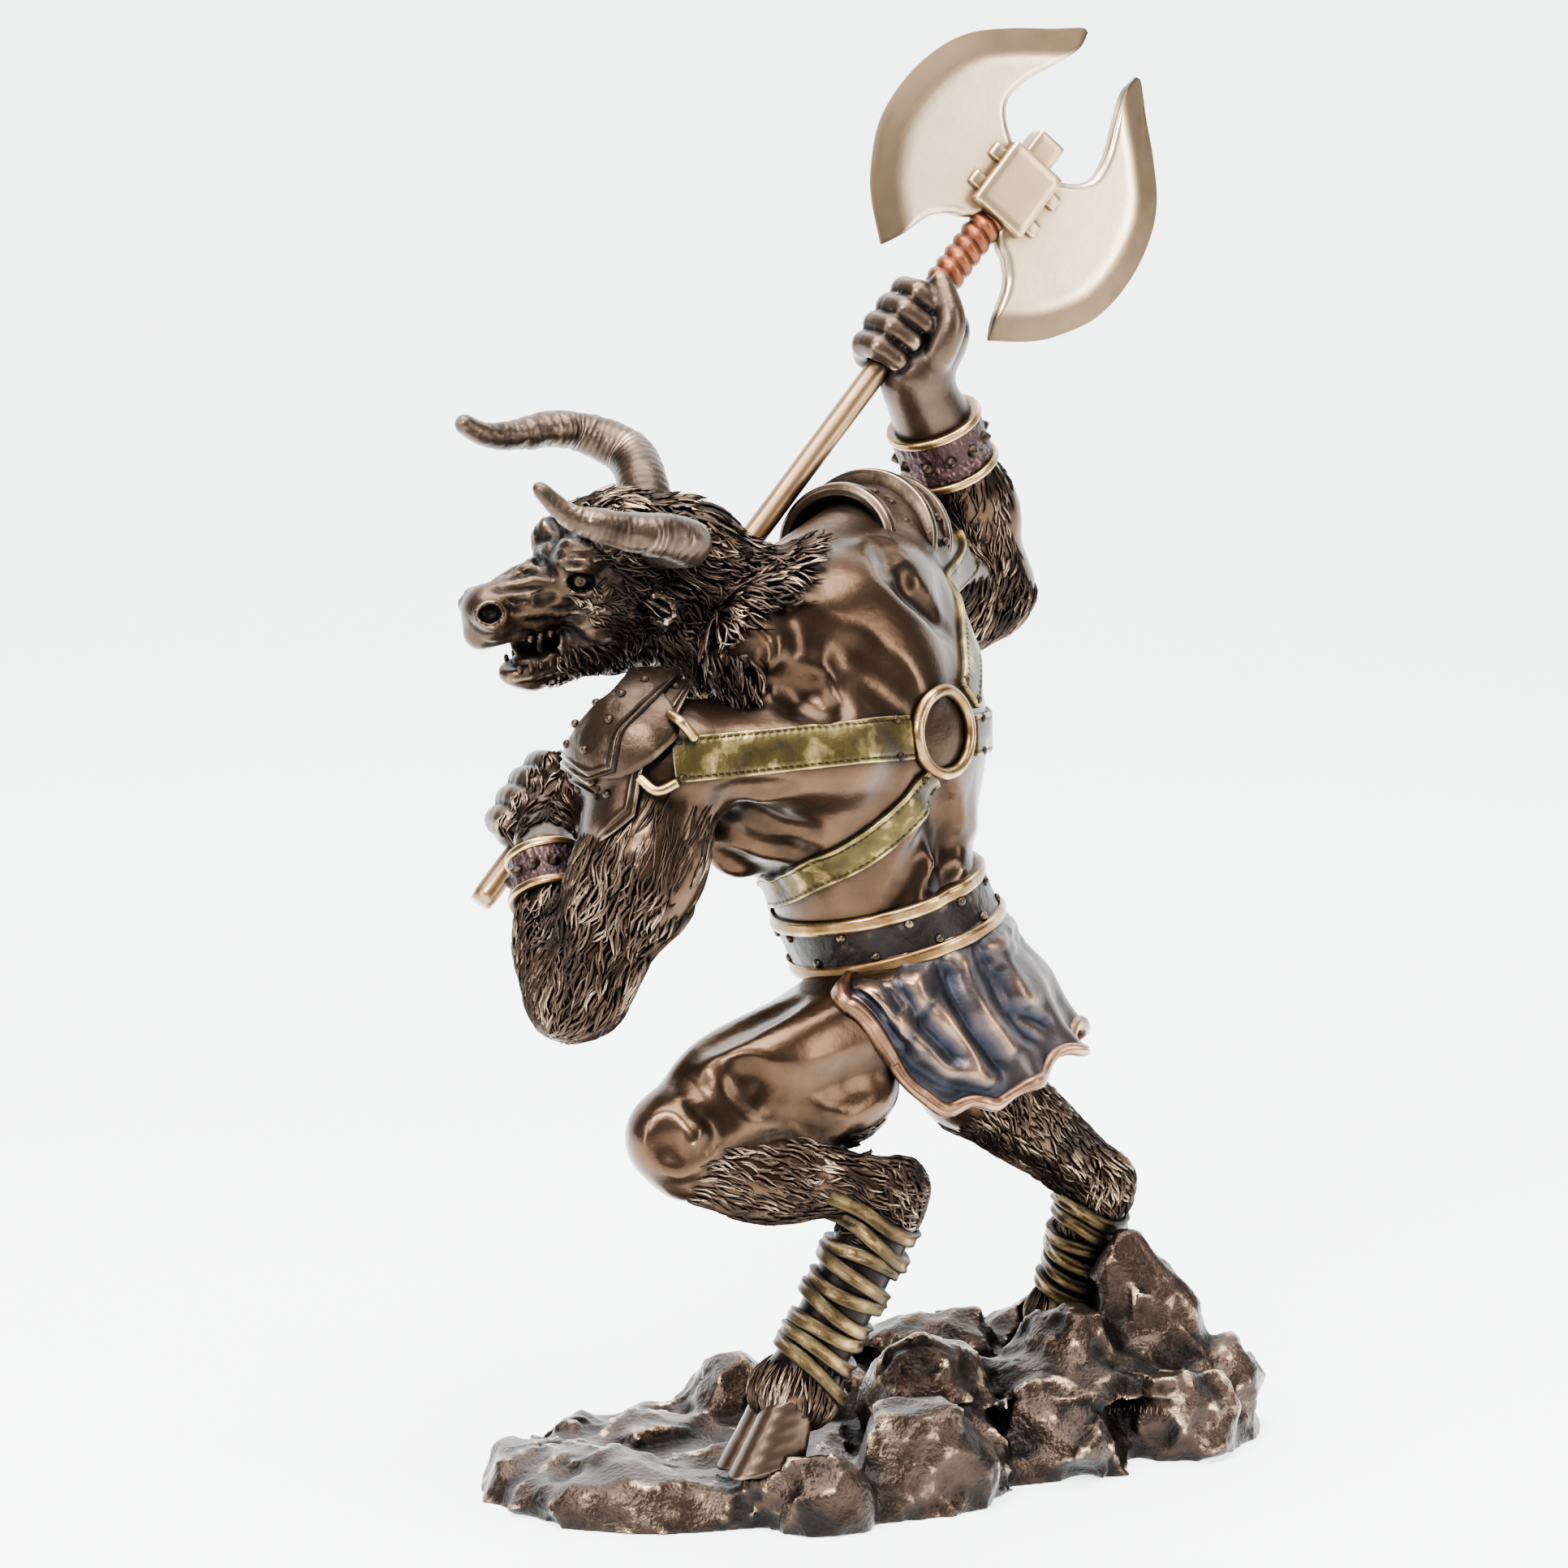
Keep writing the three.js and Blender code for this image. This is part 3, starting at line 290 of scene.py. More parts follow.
def slab(outer: Array, inner: Array, closed: bool = False) -> Skin:
    """A closed sheet between two grids of points, rows x columns x 3, outer on the outside.

    Args:
        outer: the face that shows.
        inner: the hidden face, with the same rows and columns.
        closed: whether the last column meets the first, as in a band.
    """
    rows, columns, _ = outer.shape
    count = rows * columns
    points = np.vstack([outer.reshape(-1, 3), inner.reshape(-1, 3)])
    faces = [grid_faces(rows, columns, closed), grid_faces(rows, columns, closed, count, True)]
    side = np.arange(columns if closed else columns - 1)
    following = (side + 1) % columns
    top = np.stack([following, side, side + count, following + count], 1)
    low = (rows - 1) * columns
    foot = np.stack([low + side, low + following, low + following + count, low + side + count], 1)
    faces += [top, foot]
    if not closed:
        row = np.arange(rows - 1) * columns
        left = np.stack([row, row + columns, row + columns + count, row + count], 1)
        end = row + columns - 1
        right = np.stack([end + columns, end, end + count, end + columns + count], 1)
        faces += [left, right]
    return Skin(points, [np.vstack(faces)])


def merged(skins: Iterable[Skin]) -> Skin:
    """Several skins as one mesh."""
    points, blocks, offset = [], {3: [], 4: []}, 0
    for skin in skins:
        points.append(skin.points)
        for block in skin.faces:
            blocks[block.shape[1]].append(block + offset)
        offset += len(skin.points)
    return Skin(np.vstack(points), [np.vstack(found) for found in blocks.values() if found])


def outward(skin: Skin) -> Skin:
    """The same skin with its faces turned out, if they were in."""
    volume = 0.0
    for block in skin.faces:
        corners = skin.points[block]
        for side in range(1, block.shape[1] - 1):
            volume += np.einsum("ij,ij->", corners[:, 0], np.cross(corners[:, side], corners[:, side + 1]))
    if volume < 0:
        skin.faces = [block[:, ::-1] for block in skin.faces]
    return skin


def tube(
    path: Array, radii: Array, sides: int = 16, relief: Rule | None = None
) -> Skin:
    """A round skin along a path.

    Each ring lies square to the path; its first direction is the last ring's, made square again.

    Args:
        path: rows of x, y, z.
        radii: one for each row.
        sides: points round each ring.
        relief: added radius from the distance along and the turn round, as whole arrays.
    """
    tangents = units(np.gradient(path, axis=0))
    along = np.concatenate([[0], np.cumsum(np.linalg.norm(np.diff(path, axis=0), axis=1))])
    first = np.empty_like(path)
    u = np.asarray(UP, float)
    for row, tangent in enumerate(tangents):
        u = unit(u - tangent * (u @ tangent))
        first[row] = u
    second = np.cross(tangents, first)
    turn = turns(sides)
    radius = np.repeat(np.asarray(radii, float)[:, None], sides, 1)
    if relief is not None:
        radius = radius + relief(np.repeat(along[:, None], sides, 1), np.repeat(turn[None], len(path), 0))
    reach_first = (np.cos(turn)[None] * radius)[..., None]
    reach_second = (np.sin(turn)[None] * radius)[..., None]
    return outward(capped(path[:, None] + first[:, None] * reach_first + second[:, None] * reach_second))


def lathe(centre: Point, out: Point, profile: Sequence[Point], sides: int = 12) -> Skin:
    """A round thing about an axis: rows of height along it and radius, closed by a fan at each end."""
    frame = frame_of(out, UP if abs(unit(out)[2]) < 0.9 else NEARWARD)
    lift, reach = np.array(profile, float).T
    flat = round_ways(frame, turns(sides))
    rings = np.asarray(centre, float) + lift[:, None, None] * frame[0] + reach[:, None, None] * flat
    return outward(capped(rings))


def dome(centre: Point, out: Point, radius: float, height: float) -> Skin:
    """A rivet's head: a low half ball that stands out of a surface and reaches a little into it."""
    profile = np.array([(-0.5, 1.0), (0.0, 1.0), (0.45, 0.9), (0.8, 0.6), (0.98, 0.2)])
    return lathe(centre, out, profile * (height, radius), 10)


def block(half: Point, centre: Point, axes: Array, edge: float, steps: int = 9) -> Skin:
    """A box with rounded edges.

    Each of the six faces is a grid; a point is pulled in to the box less its rounding, then
    pushed out again by the rounding's radius.

    Args:
        half: half sizes along the three axes.
        centre: the middle.
        axes: three square directions as rows.
        edge: the rounding's radius.
        steps: vertices along each side of a face.
    """
    half = np.asarray(half, float)
    line = np.sin(np.linspace(-math.pi / 2, math.pi / 2, steps))
    u, v = (grid.ravel() for grid in np.meshgrid(line, line, indexing="ij"))
    points, faces = [], []
    for axis in range(3):
        for side in (-1, 1):
            cube = np.empty((steps * steps, 3))
            cube[:, axis] = side
            cube[:, (axis + 1) % 3] = u
            cube[:, (axis + 2) % 3] = v
            faces.append(grid_faces(steps, steps, False, len(points) * steps * steps, side > 0))
            points.append(cube)
    cube = np.vstack(points) * half
    core = np.clip(cube, -(half - edge), half - edge)
    cube = core + units(cube - core) * edge
    rounded, index = np.unique(np.round(cube, 5), axis=0, return_inverse=True)
    quads = index.ravel()[np.vstack(faces)]
    return outward(Skin(np.asarray(centre, float) + rounded @ np.asarray(axes), [quads]))


# Sculpts: forms blended in a grid of distances


@dataclass(frozen=True)
class Mass:
    """A swelling form between two ends, with its own half width and half thickness."""

    start: Point
    end: Point
    width: float
    thick: float
    face: Point
    blend: float = 4.0
    cut: bool = False


@dataclass(frozen=True)
class Bone:
    """A straight round form, with a radius at each end."""

    start: Point
    end: Point
    radius: float
    radius_end: float
    blend: float = 3.0
    cut: bool = False


Form = Mass | Bone
Crease = tuple[tuple[Point, ...], float, float, float]
Dent = tuple[tuple[Point, ...], float, float]


class Sculpt:
    """A grid of distances to a skin: below zero inside, above zero outside.

    Forms join by a smooth minimum: where two distances differ by less than the blend, the
    smaller one is lowered by the square of what is missing, over four blends.
    """

    FAR = 9.0

    def __init__(self, low: Point, high: Point, step: float) -> None:
        """Makes an empty grid.

        Args:
            low: the lowest corner.
            high: the highest corner.
            step: the distance between neighbouring samples.
        """
        self.step = step
        self.low = np.asarray(low, np.float32)
        shape = np.ceil((np.asarray(high) - self.low) / step).astype(int) + 1
        self.field = np.full(tuple(shape), self.FAR, np.float32)

    def _window(self, low: Array, high: Array) -> tuple[tuple[slice, ...], list[Array]] | None:
        """The part of the grid between two corners, with its sample positions on each axis."""
        first = np.clip(np.floor((low - self.low) / self.step), 0, self.field.shape).astype(int)
        last = np.clip(np.ceil((high - self.low) / self.step) + 1, 0, self.field.shape).astype(int)
        if (last - first < 2).any():
            return None
        return tuple(slice(a, b) for a, b in zip(first, last)), self.axes(first, last)

    def axes(self, first: Point = (0, 0, 0), last: Point | None = None) -> list[Array]:
        """The samples' x, y and z, each shaped to spread over the grid, between two places in it."""
        last = self.field.shape if last is None else last
        spans = (np.arange(a, b, dtype=np.float32) for a, b in zip(first, last))
        x, y, z = (low + self.step * span for low, span in zip(self.low, spans))
        return [x[:, None, None], y[None, :, None], z[None, None, :]]

    def copy(self) -> "Sculpt":
        """Another sculpt with the same grid and distances."""
        other = Sculpt(self.low, self.low, self.step)
        other.field = self.field.copy()
        return other

    def merge(self, low: Array, high: Array, blend: float, cut: bool, distance: Callable) -> None:
        """Joins or cuts a form whose distances a function gives for the window's positions."""
        pad = blend + 2 * self.step + 0.6
        found = self._window(np.asarray(low) - pad, np.asarray(high) + pad)
        if found is None:
            return
        window, (x, y, z) = found
        new = distance(x, y, z).astype(np.float32)
        old = self.field[window]
        sign = -1.0 if cut else 1.0
        gap = np.clip(blend - np.abs(sign * old - new), 0, None) if blend > 0 else 0.0
        soft = gap * gap / (4 * blend) if blend > 0 else 0.0
        self.field[window] = sign * (np.minimum(sign * old, new) - soft)

    def bone(self, form: Bone) -> None:
        """Joins or cuts a straight round form."""
        a, b = np.asarray(form.start, np.float32), np.asarray(form.end, np.float32)
        axis = b - a
        length = float(axis @ axis) + 1e-9
        slope = form.radius_end - form.radius

        def distance(x: Array, y: Array, z: Array) -> Array:
            px, py, pz = x - a[0], y - a[1], z - a[2]
            t = np.clip((px * axis[0] + py * axis[1] + pz * axis[2]) / length, 0, 1)
            qx, qy, qz = px - t * axis[0], py - t * axis[1], pz - t * axis[2]
            return np.sqrt(qx * qx + qy * qy + qz * qz) - (form.radius + slope * t)

        reach = max(form.radius, form.radius_end)
        self.merge(np.minimum(a, b) - reach, np.maximum(a, b) + reach, form.blend, form.cut, distance)

    def mass(self, form: Mass) -> None:
        """Joins or cuts a swelling form: an ellipsoid, its distance scaled by its own slope."""
        a, b = np.asarray(form.start, float), np.asarray(form.end, float)
        centre = ((a + b) / 2).astype(np.float32)
        axes = frame_of(b - a, form.face).astype(np.float32)
        radii = np.array([np.linalg.norm(b - a) / 2, form.thick, form.width], np.float32)
        reach = np.sqrt(((axes * radii[:, None]) ** 2).sum(0))

        def distance(x: Array, y: Array, z: Array) -> Array:
            px, py, pz = x - centre[0], y - centre[1], z - centre[2]
            near = slope = 0.0
            for axis, radius in zip(axes, radii):
                q = (px * axis[0] + py * axis[1] + pz * axis[2]) / radius
                near = near + q * q
                slope = slope + (q / radius) ** 2
            near = np.sqrt(near)
            return near * (near - 1) / (np.sqrt(slope) + 1e-6)

        self.merge(centre - reach, centre + reach, form.blend, form.cut, distance)

    def add(self, forms: Iterable[Form]) -> None:
        """Joins or cuts each form in turn."""
        for form in forms:
            if isinstance(form, Mass):
                self.mass(form)
            else:
                self.bone(form)

    def strand(self, path: Array, radii: Array, blend: float, cut: bool = False) -> None:
        """Joins or cuts a round form along a path, as a chain of straight ones."""
        for a, b, ra, rb in zip(path[:-1], path[1:], radii[:-1], radii[1:]):
            self.bone(Bone(a, b, float(ra), float(rb), blend, cut))

    def trim(self, *planes: tuple[Point, Point]) -> None:
        """Cuts away what lies beyond all of some planes, each given as a point and the way out."""
        x, y, z = self.axes()
        beyond = np.float32(1e9)
        for point, out in planes:
            a, b, c = unit(out).astype(np.float32)
            plane = (x - point[0]) * a + (y - point[1]) * b
            beyond = np.minimum(beyond, plane + (z - point[2]) * c)
        self.field = np.maximum(self.field, beyond)

    def round_off(self, place: Point, way: Point, blend: float) -> None:
        """Cuts what is beyond a plane, with a rounded edge."""
        x, y, z = self.axes()
        beyond = (x - place[0]) * way[0] + (y - place[1]) * way[1] + (z - place[2]) * way[2]
        beyond = beyond.astype(np.float32)
        gap = np.clip(blend - np.abs(self.field - beyond), 0, None)
        self.field = np.maximum(self.field, beyond) + gap * gap / (4 * blend)

    def farthest(self, start: Array, way: Array, reach: float) -> Array:
        """How far along each ray the last of the solid is, or 0."""
        found = np.zeros(len(start))
        for distance in np.arange(4.0, reach, 1.0):
            found[self.at(start + way * distance) < 0] = distance + 0.8
        return found

    def crease(self, line: Sequence[Point], radius: float, depth: float, blend: float = 1.2) -> None:
        """Carves a groove along a line on the skin, or a ridge if its depth is below zero.

        A rod of the radius is laid so that the depth of it lies in the skin (or out of it, for a
        ridge), thinner and shallower towards both ends.

        Args:
            line: places on or near the skin, or pairs of places in the view, which are cast on the skin.
            radius: the rod's radius.
            depth: how deep it lies at its middle.
            blend: how softly it joins.
        """
        path = self.seen(line) if len(line[0]) == 2 else np.asarray(line, float)
        length = np.linalg.norm(np.diff(path, axis=0), axis=1).sum()
        count = max(5, int(length / max(1.0, radius)))
        path = smooth_path(path, count)
        for _ in range(3):
            path = path - self.slope(path) * np.clip(self.at(path), -3, 3)[:, None]
        fade = np.sqrt(np.clip(np.sin(np.linspace(0.04, math.pi - 0.04, count)), 0, 1))
        sign = 1.0 if depth > 0 else -1.0
        radii = radius * (0.45 + 0.55 * fade)
        centre = path + self.slope(path) * (sign * (radii - abs(depth) * fade))[:, None]
        self.strand(centre, radii, blend, depth > 0)

    def seen(self, line: Sequence[Point]) -> Array:
        """Where the view's rays through places in its plane first meet the skin."""
        aim = view_aims(np.asarray(line, float))
        way = units(aim - VIEW_FROM)
        near = aim - way * 90
        gone = np.zeros(len(near))
        for _ in range(90):
            gone = gone + np.clip(self.at(near + way * gone[:, None]) * 0.8, -2, 4)
        return near + way * gone[:, None]

    def comb(self, patch: Fur) -> None:
        """Carves streaks along a patch's flow: noise drawn out along it, its zero lines sharp valleys."""
        near = np.argwhere(np.abs(self.field[1:-1, 1:-1, 1:-1]) < 1.6) + 1
        places = self.low + near * self.step
        sides = [[self.field[tuple((near + way * step).T)] for way in (1, -1)] for step in np.eye(3,
                                                                                                  dtype=int)]
        normals = units(np.stack([ahead - behind for ahead, behind in sides], 1))
        weight = patch.where(places, normals).astype(np.float32)
        chosen = weight > 0.02
        places, normals, weight = places[chosen], normals[chosen], weight[chosen]
        index = tuple(near[chosen].T)
        flow = patch.flow(places, normals)
        flow = units(flow - normals * (flow * normals).sum(1, keepdims=True))
        wander = np.stack([noise(places, 6.0, patch.seed + k) for k in range(3)], 1) * 1.6 * patch.wave
        moved = places + wander
        along = (moved * flow).sum(1, keepdims=True)
        stretched = moved - flow * along * (1 - patch.comb / patch.length)
        wide = np.abs(noise(stretched, patch.comb, patch.seed + 7))
        fine = np.abs(noise(stretched, patch.comb * 0.55, patch.seed + 8))
        deep = patch.comb_height
        height = deep * (1 - 2.2 * np.clip(wide, 0, 0.45)) + 0.4 * deep * (0.5 - 2 * fine)
        self.field[index] += (weight * (height + 0.3 * deep)).astype(np.float32) * 0.5
        self.field[index] -= (weight * deep * 0.2).astype(np.float32)

    def seal(self) -> None:
        """Marks the grid's outermost samples as outside, so that its skin is closed."""
        for axis in range(3):
            edge = [slice(None)] * 3
            for end in (0, -1):
                edge[axis] = end
                self.field[tuple(edge)] = np.maximum(self.field[tuple(edge)], self.step)

    def at(self, points: Array) -> Array:
        """The distances at some points, blended between the eight samples round each."""
        place = (np.asarray(points) - self.low) / self.step
        place = np.clip(place, 0, np.array(self.field.shape) - 1.001)
        cell = place.astype(int)
        part = place - cell
        total = np.zeros(len(place))
        for corner in np.ndindex(2, 2, 2):
            weight = np.prod(np.where(corner, part, 1 - part), axis=-1)
            index = cell + corner
            total += weight * self.field[index[:, 0], index[:, 1], index[:, 2]]
        return total

    def slope(self, points: Array) -> Array:
        """The outward direction at some points."""
        parts = []
        for axis in range(3):
            shift = np.zeros(3)
            shift[axis] = self.step
            parts.append(self.at(points + shift) - self.at(points - shift))
        return units(np.stack(parts, -1))

    def cast(self, start: Array, way: Array, reach: float = 60.0) -> Array:
        """The first point where each ray from inside leaves the skin."""
        step = 0.5
        distance = np.full(len(start), 0.0)
        alive = np.ones(len(start), bool)
        while alive.any() and distance.max() < reach:
            outside = self.at(start + way * distance[:, None]) > 0
            alive &= ~outside
            distance[alive] += step
        low, high = np.clip(distance - step, 0, None), distance
        for _ in range(6):
            middle = (low + high) / 2
            outside = self.at(start + way * middle[:, None]) > 0
            high = np.where(outside, middle, high)
            low = np.where(outside, low, middle)
        return start + way * high[:, None]

    def skin(self) -> Skin:
        """The surface as a mesh: one vertex in each cell that it crosses, at the mean of its crossings."""
        self.seal()
        inside = self.field < 0
        shape = np.array(inside.shape)
        count = np.zeros(tuple(shape - 1), np.int8)
        for corner in np.ndindex(2, 2, 2):
            window = tuple(slice(c, n - 1 + c) for c, n in zip(corner, shape))
            count += inside[window]
        active = (count > 0) & (count < 8)
        cells = np.argwhere(active)
        number = np.full(active.shape, -1, np.int32)
        number[active] = np.arange(len(cells))
        corners = np.array(list(np.ndindex(2, 2, 2)))
        values = np.stack([self.field[tuple((cells + corner).T)] for corner in corners], 1)
        total, crossings = np.zeros((len(cells), 3)), np.zeros(len(cells))
        for i in range(8):
            for j in range(i + 1, 8):
                if np.abs(corners[i] - corners[j]).sum() != 1:
                    continue
                crossed = (values[:, i] < 0) != (values[:, j] < 0)
                t = values[crossed, i] / (values[crossed, i] - values[crossed, j])
                total[crossed] += corners[i] + t[:, None] * (corners[j] - corners[i])
                crossings[crossed] += 1
        points = self.low + self.step * (cells + total / crossings[:, None])
        return Skin(points.astype(float), [self._faces(inside, number)])

    @staticmethod
    def _faces(inside: Array, number: Array) -> Array:
        """One face across each pair of neighbouring samples with the skin between them."""
        shape = inside.shape
        faces = []
        for axis in range(3):
            low, high = [slice(None)] * 3, [slice(None)] * 3
            low[axis], high[axis] = slice(0, -1), slice(1, None)
            edges = np.argwhere(inside[tuple(low)] != inside[tuple(high)])
            others = [k for k in range(3) if k != axis]
            for k in others:
                edges = edges[(edges[:, k] > 0) & (edges[:, k] < shape[k] - 1)]
            first, second = np.zeros(3, int), np.zeros(3, int)
            first[others[0]] = second[others[1]] = 1
            ring = [edges - first - second, edges - second, edges, edges - first]
            quads = np.stack([number[tuple(cell.T)] for cell in ring], 1)
            turned = inside[tuple(edges.T)]
            turned = ~turned if axis == 1 else turned
            quads[~turned] = quads[~turned][:, ::-1]
            faces.append(quads)
        return np.vstack(faces)

    def painted_light_and_wear(self, skin: Skin, near: float = 1.1, far: float = 3.2, ridge: float = 0.55) -> Array:
        """How exposed each vertex is, from 0 in a deep hollow to 1 on a sharp ridge: painted shade, wear and
        painted highlight together.

        The distance a little way out from the skin is less than the way gone where something
        else is near, which paints shade there; a share of the bend is added so that ridges are brighter than
        flats, partly as wear and partly as a painted highlight, and hollows darker as painted shade.
        """
        normals = skin.normals()
        # Painted shade: darker where other surfaces come near.
        open_near = np.clip(self.at(skin.points + normals * near) / near, 0, 1)
        open_far = np.clip(self.at(skin.points + normals * far) / far, 0, 1)
        bend = skin.spread(skin.bend(), 2)
        # Ridges lighter as wear and painted highlight, hollows darker as painted shade.
        shape = np.where(bend < 0, 0.85, ridge) * np.clip(bend, -0.5, 0.7)
        return np.clip(0.36 * open_near + 0.22 * open_far + shape, 0, 1)


# Fur


LOCK_STEPS = 5
LONE_LOCKS = 5
BARE_REACH = 5.2
LOCK_SHARES = (0.0, 0.2, 0.55, 0.8, 1.0)
LOCK_WIDTHS = (0.6, 1.0, 1.0, 0.65, 0.1)


@dataclass(frozen=True)
class Fur:
    """A patch of carved locks.

    Attributes:
        where: says which positions, with their normals, may be roots.
        flow: the way locks lie, from positions and normals, before it is laid on the skin.
        spacing: the distance between roots.
        length: a lock's length.
        radius: a lock's radius at its thickest.
        lift: how far the tip stands off the skin.
        wave: how far a lock swings to each side.
        tuft: the size of a tuft, whose locks draw together.
        gather: how far they do.
        seed: picks the locks' own draws.
        comb: the width of the streaks between the locks.
        comb_height: how deep they are.
        shine: how bright the locks' painted shade and highlights are.
    """

    where: Rule
    flow: Rule
    spacing: float = 2.6
    length: float = 9.0
    radius: float = 1.0
    lift: float = 0.7
    wave: float = 1.0
    seed: int = 1
    tuft: float = 4.0
    gather: float = 0.55
    comb: float = 1.5
    comb_height: float = 0.45
    shine: float = 1.0


def locks(ground: Sculpt, guide: Skin, patch: Fur, bare: Sequence[Point] = ()) -> tuple[Skin, Array]:
    """Makes a patch's locks: tapered ridged strands that follow the skin, each drawn to its tuft's leader.

    Args:
        ground: what the locks lie on.
        guide: the bare skin, for the roots.
        patch: the kind of fur.
        bare: places round which none grow.

    Returns:
        The locks as one mesh, and its painted light: painted shade at the roots and the sides, a painted
        highlight on the ridges.
    """
    normals = guide.normals()
    chosen = patch.where(guide.points, normals) > 0.5
    for place in bare:
        chosen &= np.linalg.norm(guide.points - place, axis=1) > BARE_REACH
    points, normals = guide.points[chosen], normals[chosen]
    order = np.random.default_rng(patch.seed).permutation(len(points))
    points, normals = points[order], normals[order]
    first = np.unique(np.floor(points / patch.spacing).astype(int), axis=0, return_index=True)[1]
    points, normals = points[first], normals[first]
    crowd = np.unique(np.floor(points / (2 * patch.tuft)).astype(int), axis=0, return_inverse=True)[1].ravel()
    together = np.bincount(crowd)[crowd] > LONE_LOCKS
    points, normals = points[together], normals[together]
    rng = np.random.default_rng(patch.seed + 50)
    count = len(points)
    flow = patch.flow(points, normals) + 0.1 * rng.normal(size=(count, 3))
    flow = units(flow - normals * (flow * normals).sum(1, keepdims=True))
    side = np.cross(normals, flow)
    swing = noise(points, 7.0, patch.seed + 3) * 1.1 + rng.normal(size=count) * 0.2
    length = patch.length * rng.uniform(0.65, 1.2, count)
    phase = rng.uniform(0, TAU, count)
    shares = np.linspace(0, 1, LOCK_STEPS)
    paths, outs = [points - normals * patch.radius * 0.5], [normals]
    here = points
    for t in shares[1:]:
        turn = swing * (t - 0.35) * patch.wave + 0.45 * patch.wave * np.sin(phase + 4.5 * t)
        heading = units(flow * np.cos(turn)[:, None] + side * np.sin(turn)[:, None])
        here = here + heading * (length * shares[1])[:, None]
        out = ground.slope(here)
        here = here - out * np.clip(ground.at(here), -2.5, 2.5)[:, None]
        paths.append(here + out * (patch.lift * (0.15 + 0.95 * t**1.4)))
        outs.append(out)
    chains, outs = np.stack(paths, 1), np.stack(outs, 1)
    cells = np.floor(points / patch.tuft).astype(int)
    _, lead, member = np.unique(cells, axis=0, return_index=True, return_inverse=True)
    leader = lead[member.ravel()]
    chains += (chains[leader] - chains) * (patch.gather * shares**1.6)[None, :, None]
    along = np.gradient(chains, axis=1)
    across = np.cross(along, outs)
    across /= np.linalg.norm(across, axis=2, keepdims=True) + 1e-9
    widths = np.interp(shares, LOCK_SHARES, LOCK_WIDTHS) * patch.radius
    widths = widths * rng.uniform(0.75, 1.25, count)[:, None]
    offsets = [across - 0.4 * outs, 0.95 * outs, -across - 0.4 * outs]
    rings = np.stack([chains + widths[..., None] * offset for offset in offsets], 2)
    # Painted shade on the sides and at the roots, painted highlight on the ridges and towards the tips; drift
    # and the random factor vary the tone between locks.
    tone = np.array([0.44, 0.84, 0.44]) * np.interp(shares, (0, 0.35, 1), (0.5, 0.9, 1.1))[None, :, None]
    drift = 0.9 + 0.5 * noise(points, 6.0, patch.seed + 9)
    tone = tone * (rng.uniform(0.7, 1.1, count) * drift)[:, None, None]
    starts = 3 * LOCK_STEPS * np.arange(count)[:, None, None]
    caps = np.array([[2, 1, 0], np.arange(3) + 3 * (LOCK_STEPS - 1)])
    sides = grid_faces(LOCK_STEPS, 3, True)
    blocks = [(part[None] + starts).reshape(-1, part.shape[1]) for part in (sides, caps)]
    return outward(Skin(rings.reshape(-1, 3), blocks)), np.clip(tone * patch.shine, 0, 1).ravel()


def coat(name: str, ground: Sculpt, guide: Skin, patches: Sequence[Fur], bare: Sequence[Point] = ()) -> None:
    """Makes all locks of one part of the figure as one piece."""
    made = [locks(ground, guide, patch, bare) for patch in patches]
    piece(name, merged(skin for skin, _ in made), FURRY, np.concatenate([painted_light_and_wear for _, painted_light_and_wear in made]))


# Finishes


class Slot(Enum):
    """Which solid a piece stands for."""

    ROCK = "rock"
    FIGURE = "figure"
    AXE = "axe"


# The solid that the pieces of each slot stand for
NODES = {Slot.ROCK: "base", Slot.FIGURE: "minotaur", Slot.AXE: "axe"}


@dataclass(frozen=True)
class Finish:
    """An aged metal paint: colours from hollow to ridge, which paint shade into the hollows and highlights
    onto the ridges along with the patina, and how it shines.

    Attributes:
        name: the material's name.
        colours: screen colours for a deep hollow, a hollow, a flat and a ridge; the dark ones are patina and
            painted shade, the ridge's a painted highlight.
        metal: how metallic the flats are.
        rough: roughness on a ridge and in a hollow.
        patches: how much the tone drifts over a few millimetres.
        grain: the size of the fine bumps, in millimetres.
        bump: the height of the fine bumps, in millimetres.
        streak: how much longer the fine bumps are along Z than across.
    """

    name: str
    colours: str
    metal: float
    rough: tuple[float, float]
    patches: float
    grain: float
    bump: float
    streak: float = 1.0


def shade(code: str) -> tuple[float, ...]:
    """A six-digit screen colour as linear red, green and blue, and full cover."""
    parts = [int(code[i : i + 2], 16) / 255 for i in (0, 2, 4)]
    return *(c / 12.92 if c <= 0.04045 else ((c + 0.055) / 1.055) ** 2.4 for c in parts), 1.0


# In each finish the first two colours are patina and painted shade for the hollows, and the last a painted
# highlight for the ridges.
SKIN = Finish("polished_bronze", "0a0706 1e150e 503c2c f0dcbe", 0.93, (0.16, 0.4), 0.14, 2.2, 0.06)
KNUCKLES = Finish("dark_bronze", "0a0706 1e1612 4c3c30 c8ae90", 0.9, (0.24, 0.46), 0.15, 1.2, 0.05)
FURRY = Finish("carved_fur", "080504 1b130e 503e30 dcc4a2", 0.9, (0.24, 0.5), 0.14, 0.5, 0.05, 4.0)
HORN = Finish("horn_bronze", "0b0806 221a13 4c3d31 c2a88c", 0.88, (0.24, 0.48), 0.4, 0.6, 0.06)
ARMOUR = Finish("plate_bronze", "080504 1a130e 3c2d21 ccb494", 0.9, (0.24, 0.46), 0.2, 1.0, 0.06)
STRAP = Finish("green_gold", "080603 1c160c 463a1c bea468", 0.88, (0.28, 0.52), 0.5, 0.8, 0.06)
GOLD = Finish("ring_gold", "140d07 402e1a 7a5c36 e0bd8c", 0.95, (0.22, 0.42), 0.3, 1.0, 0.04)
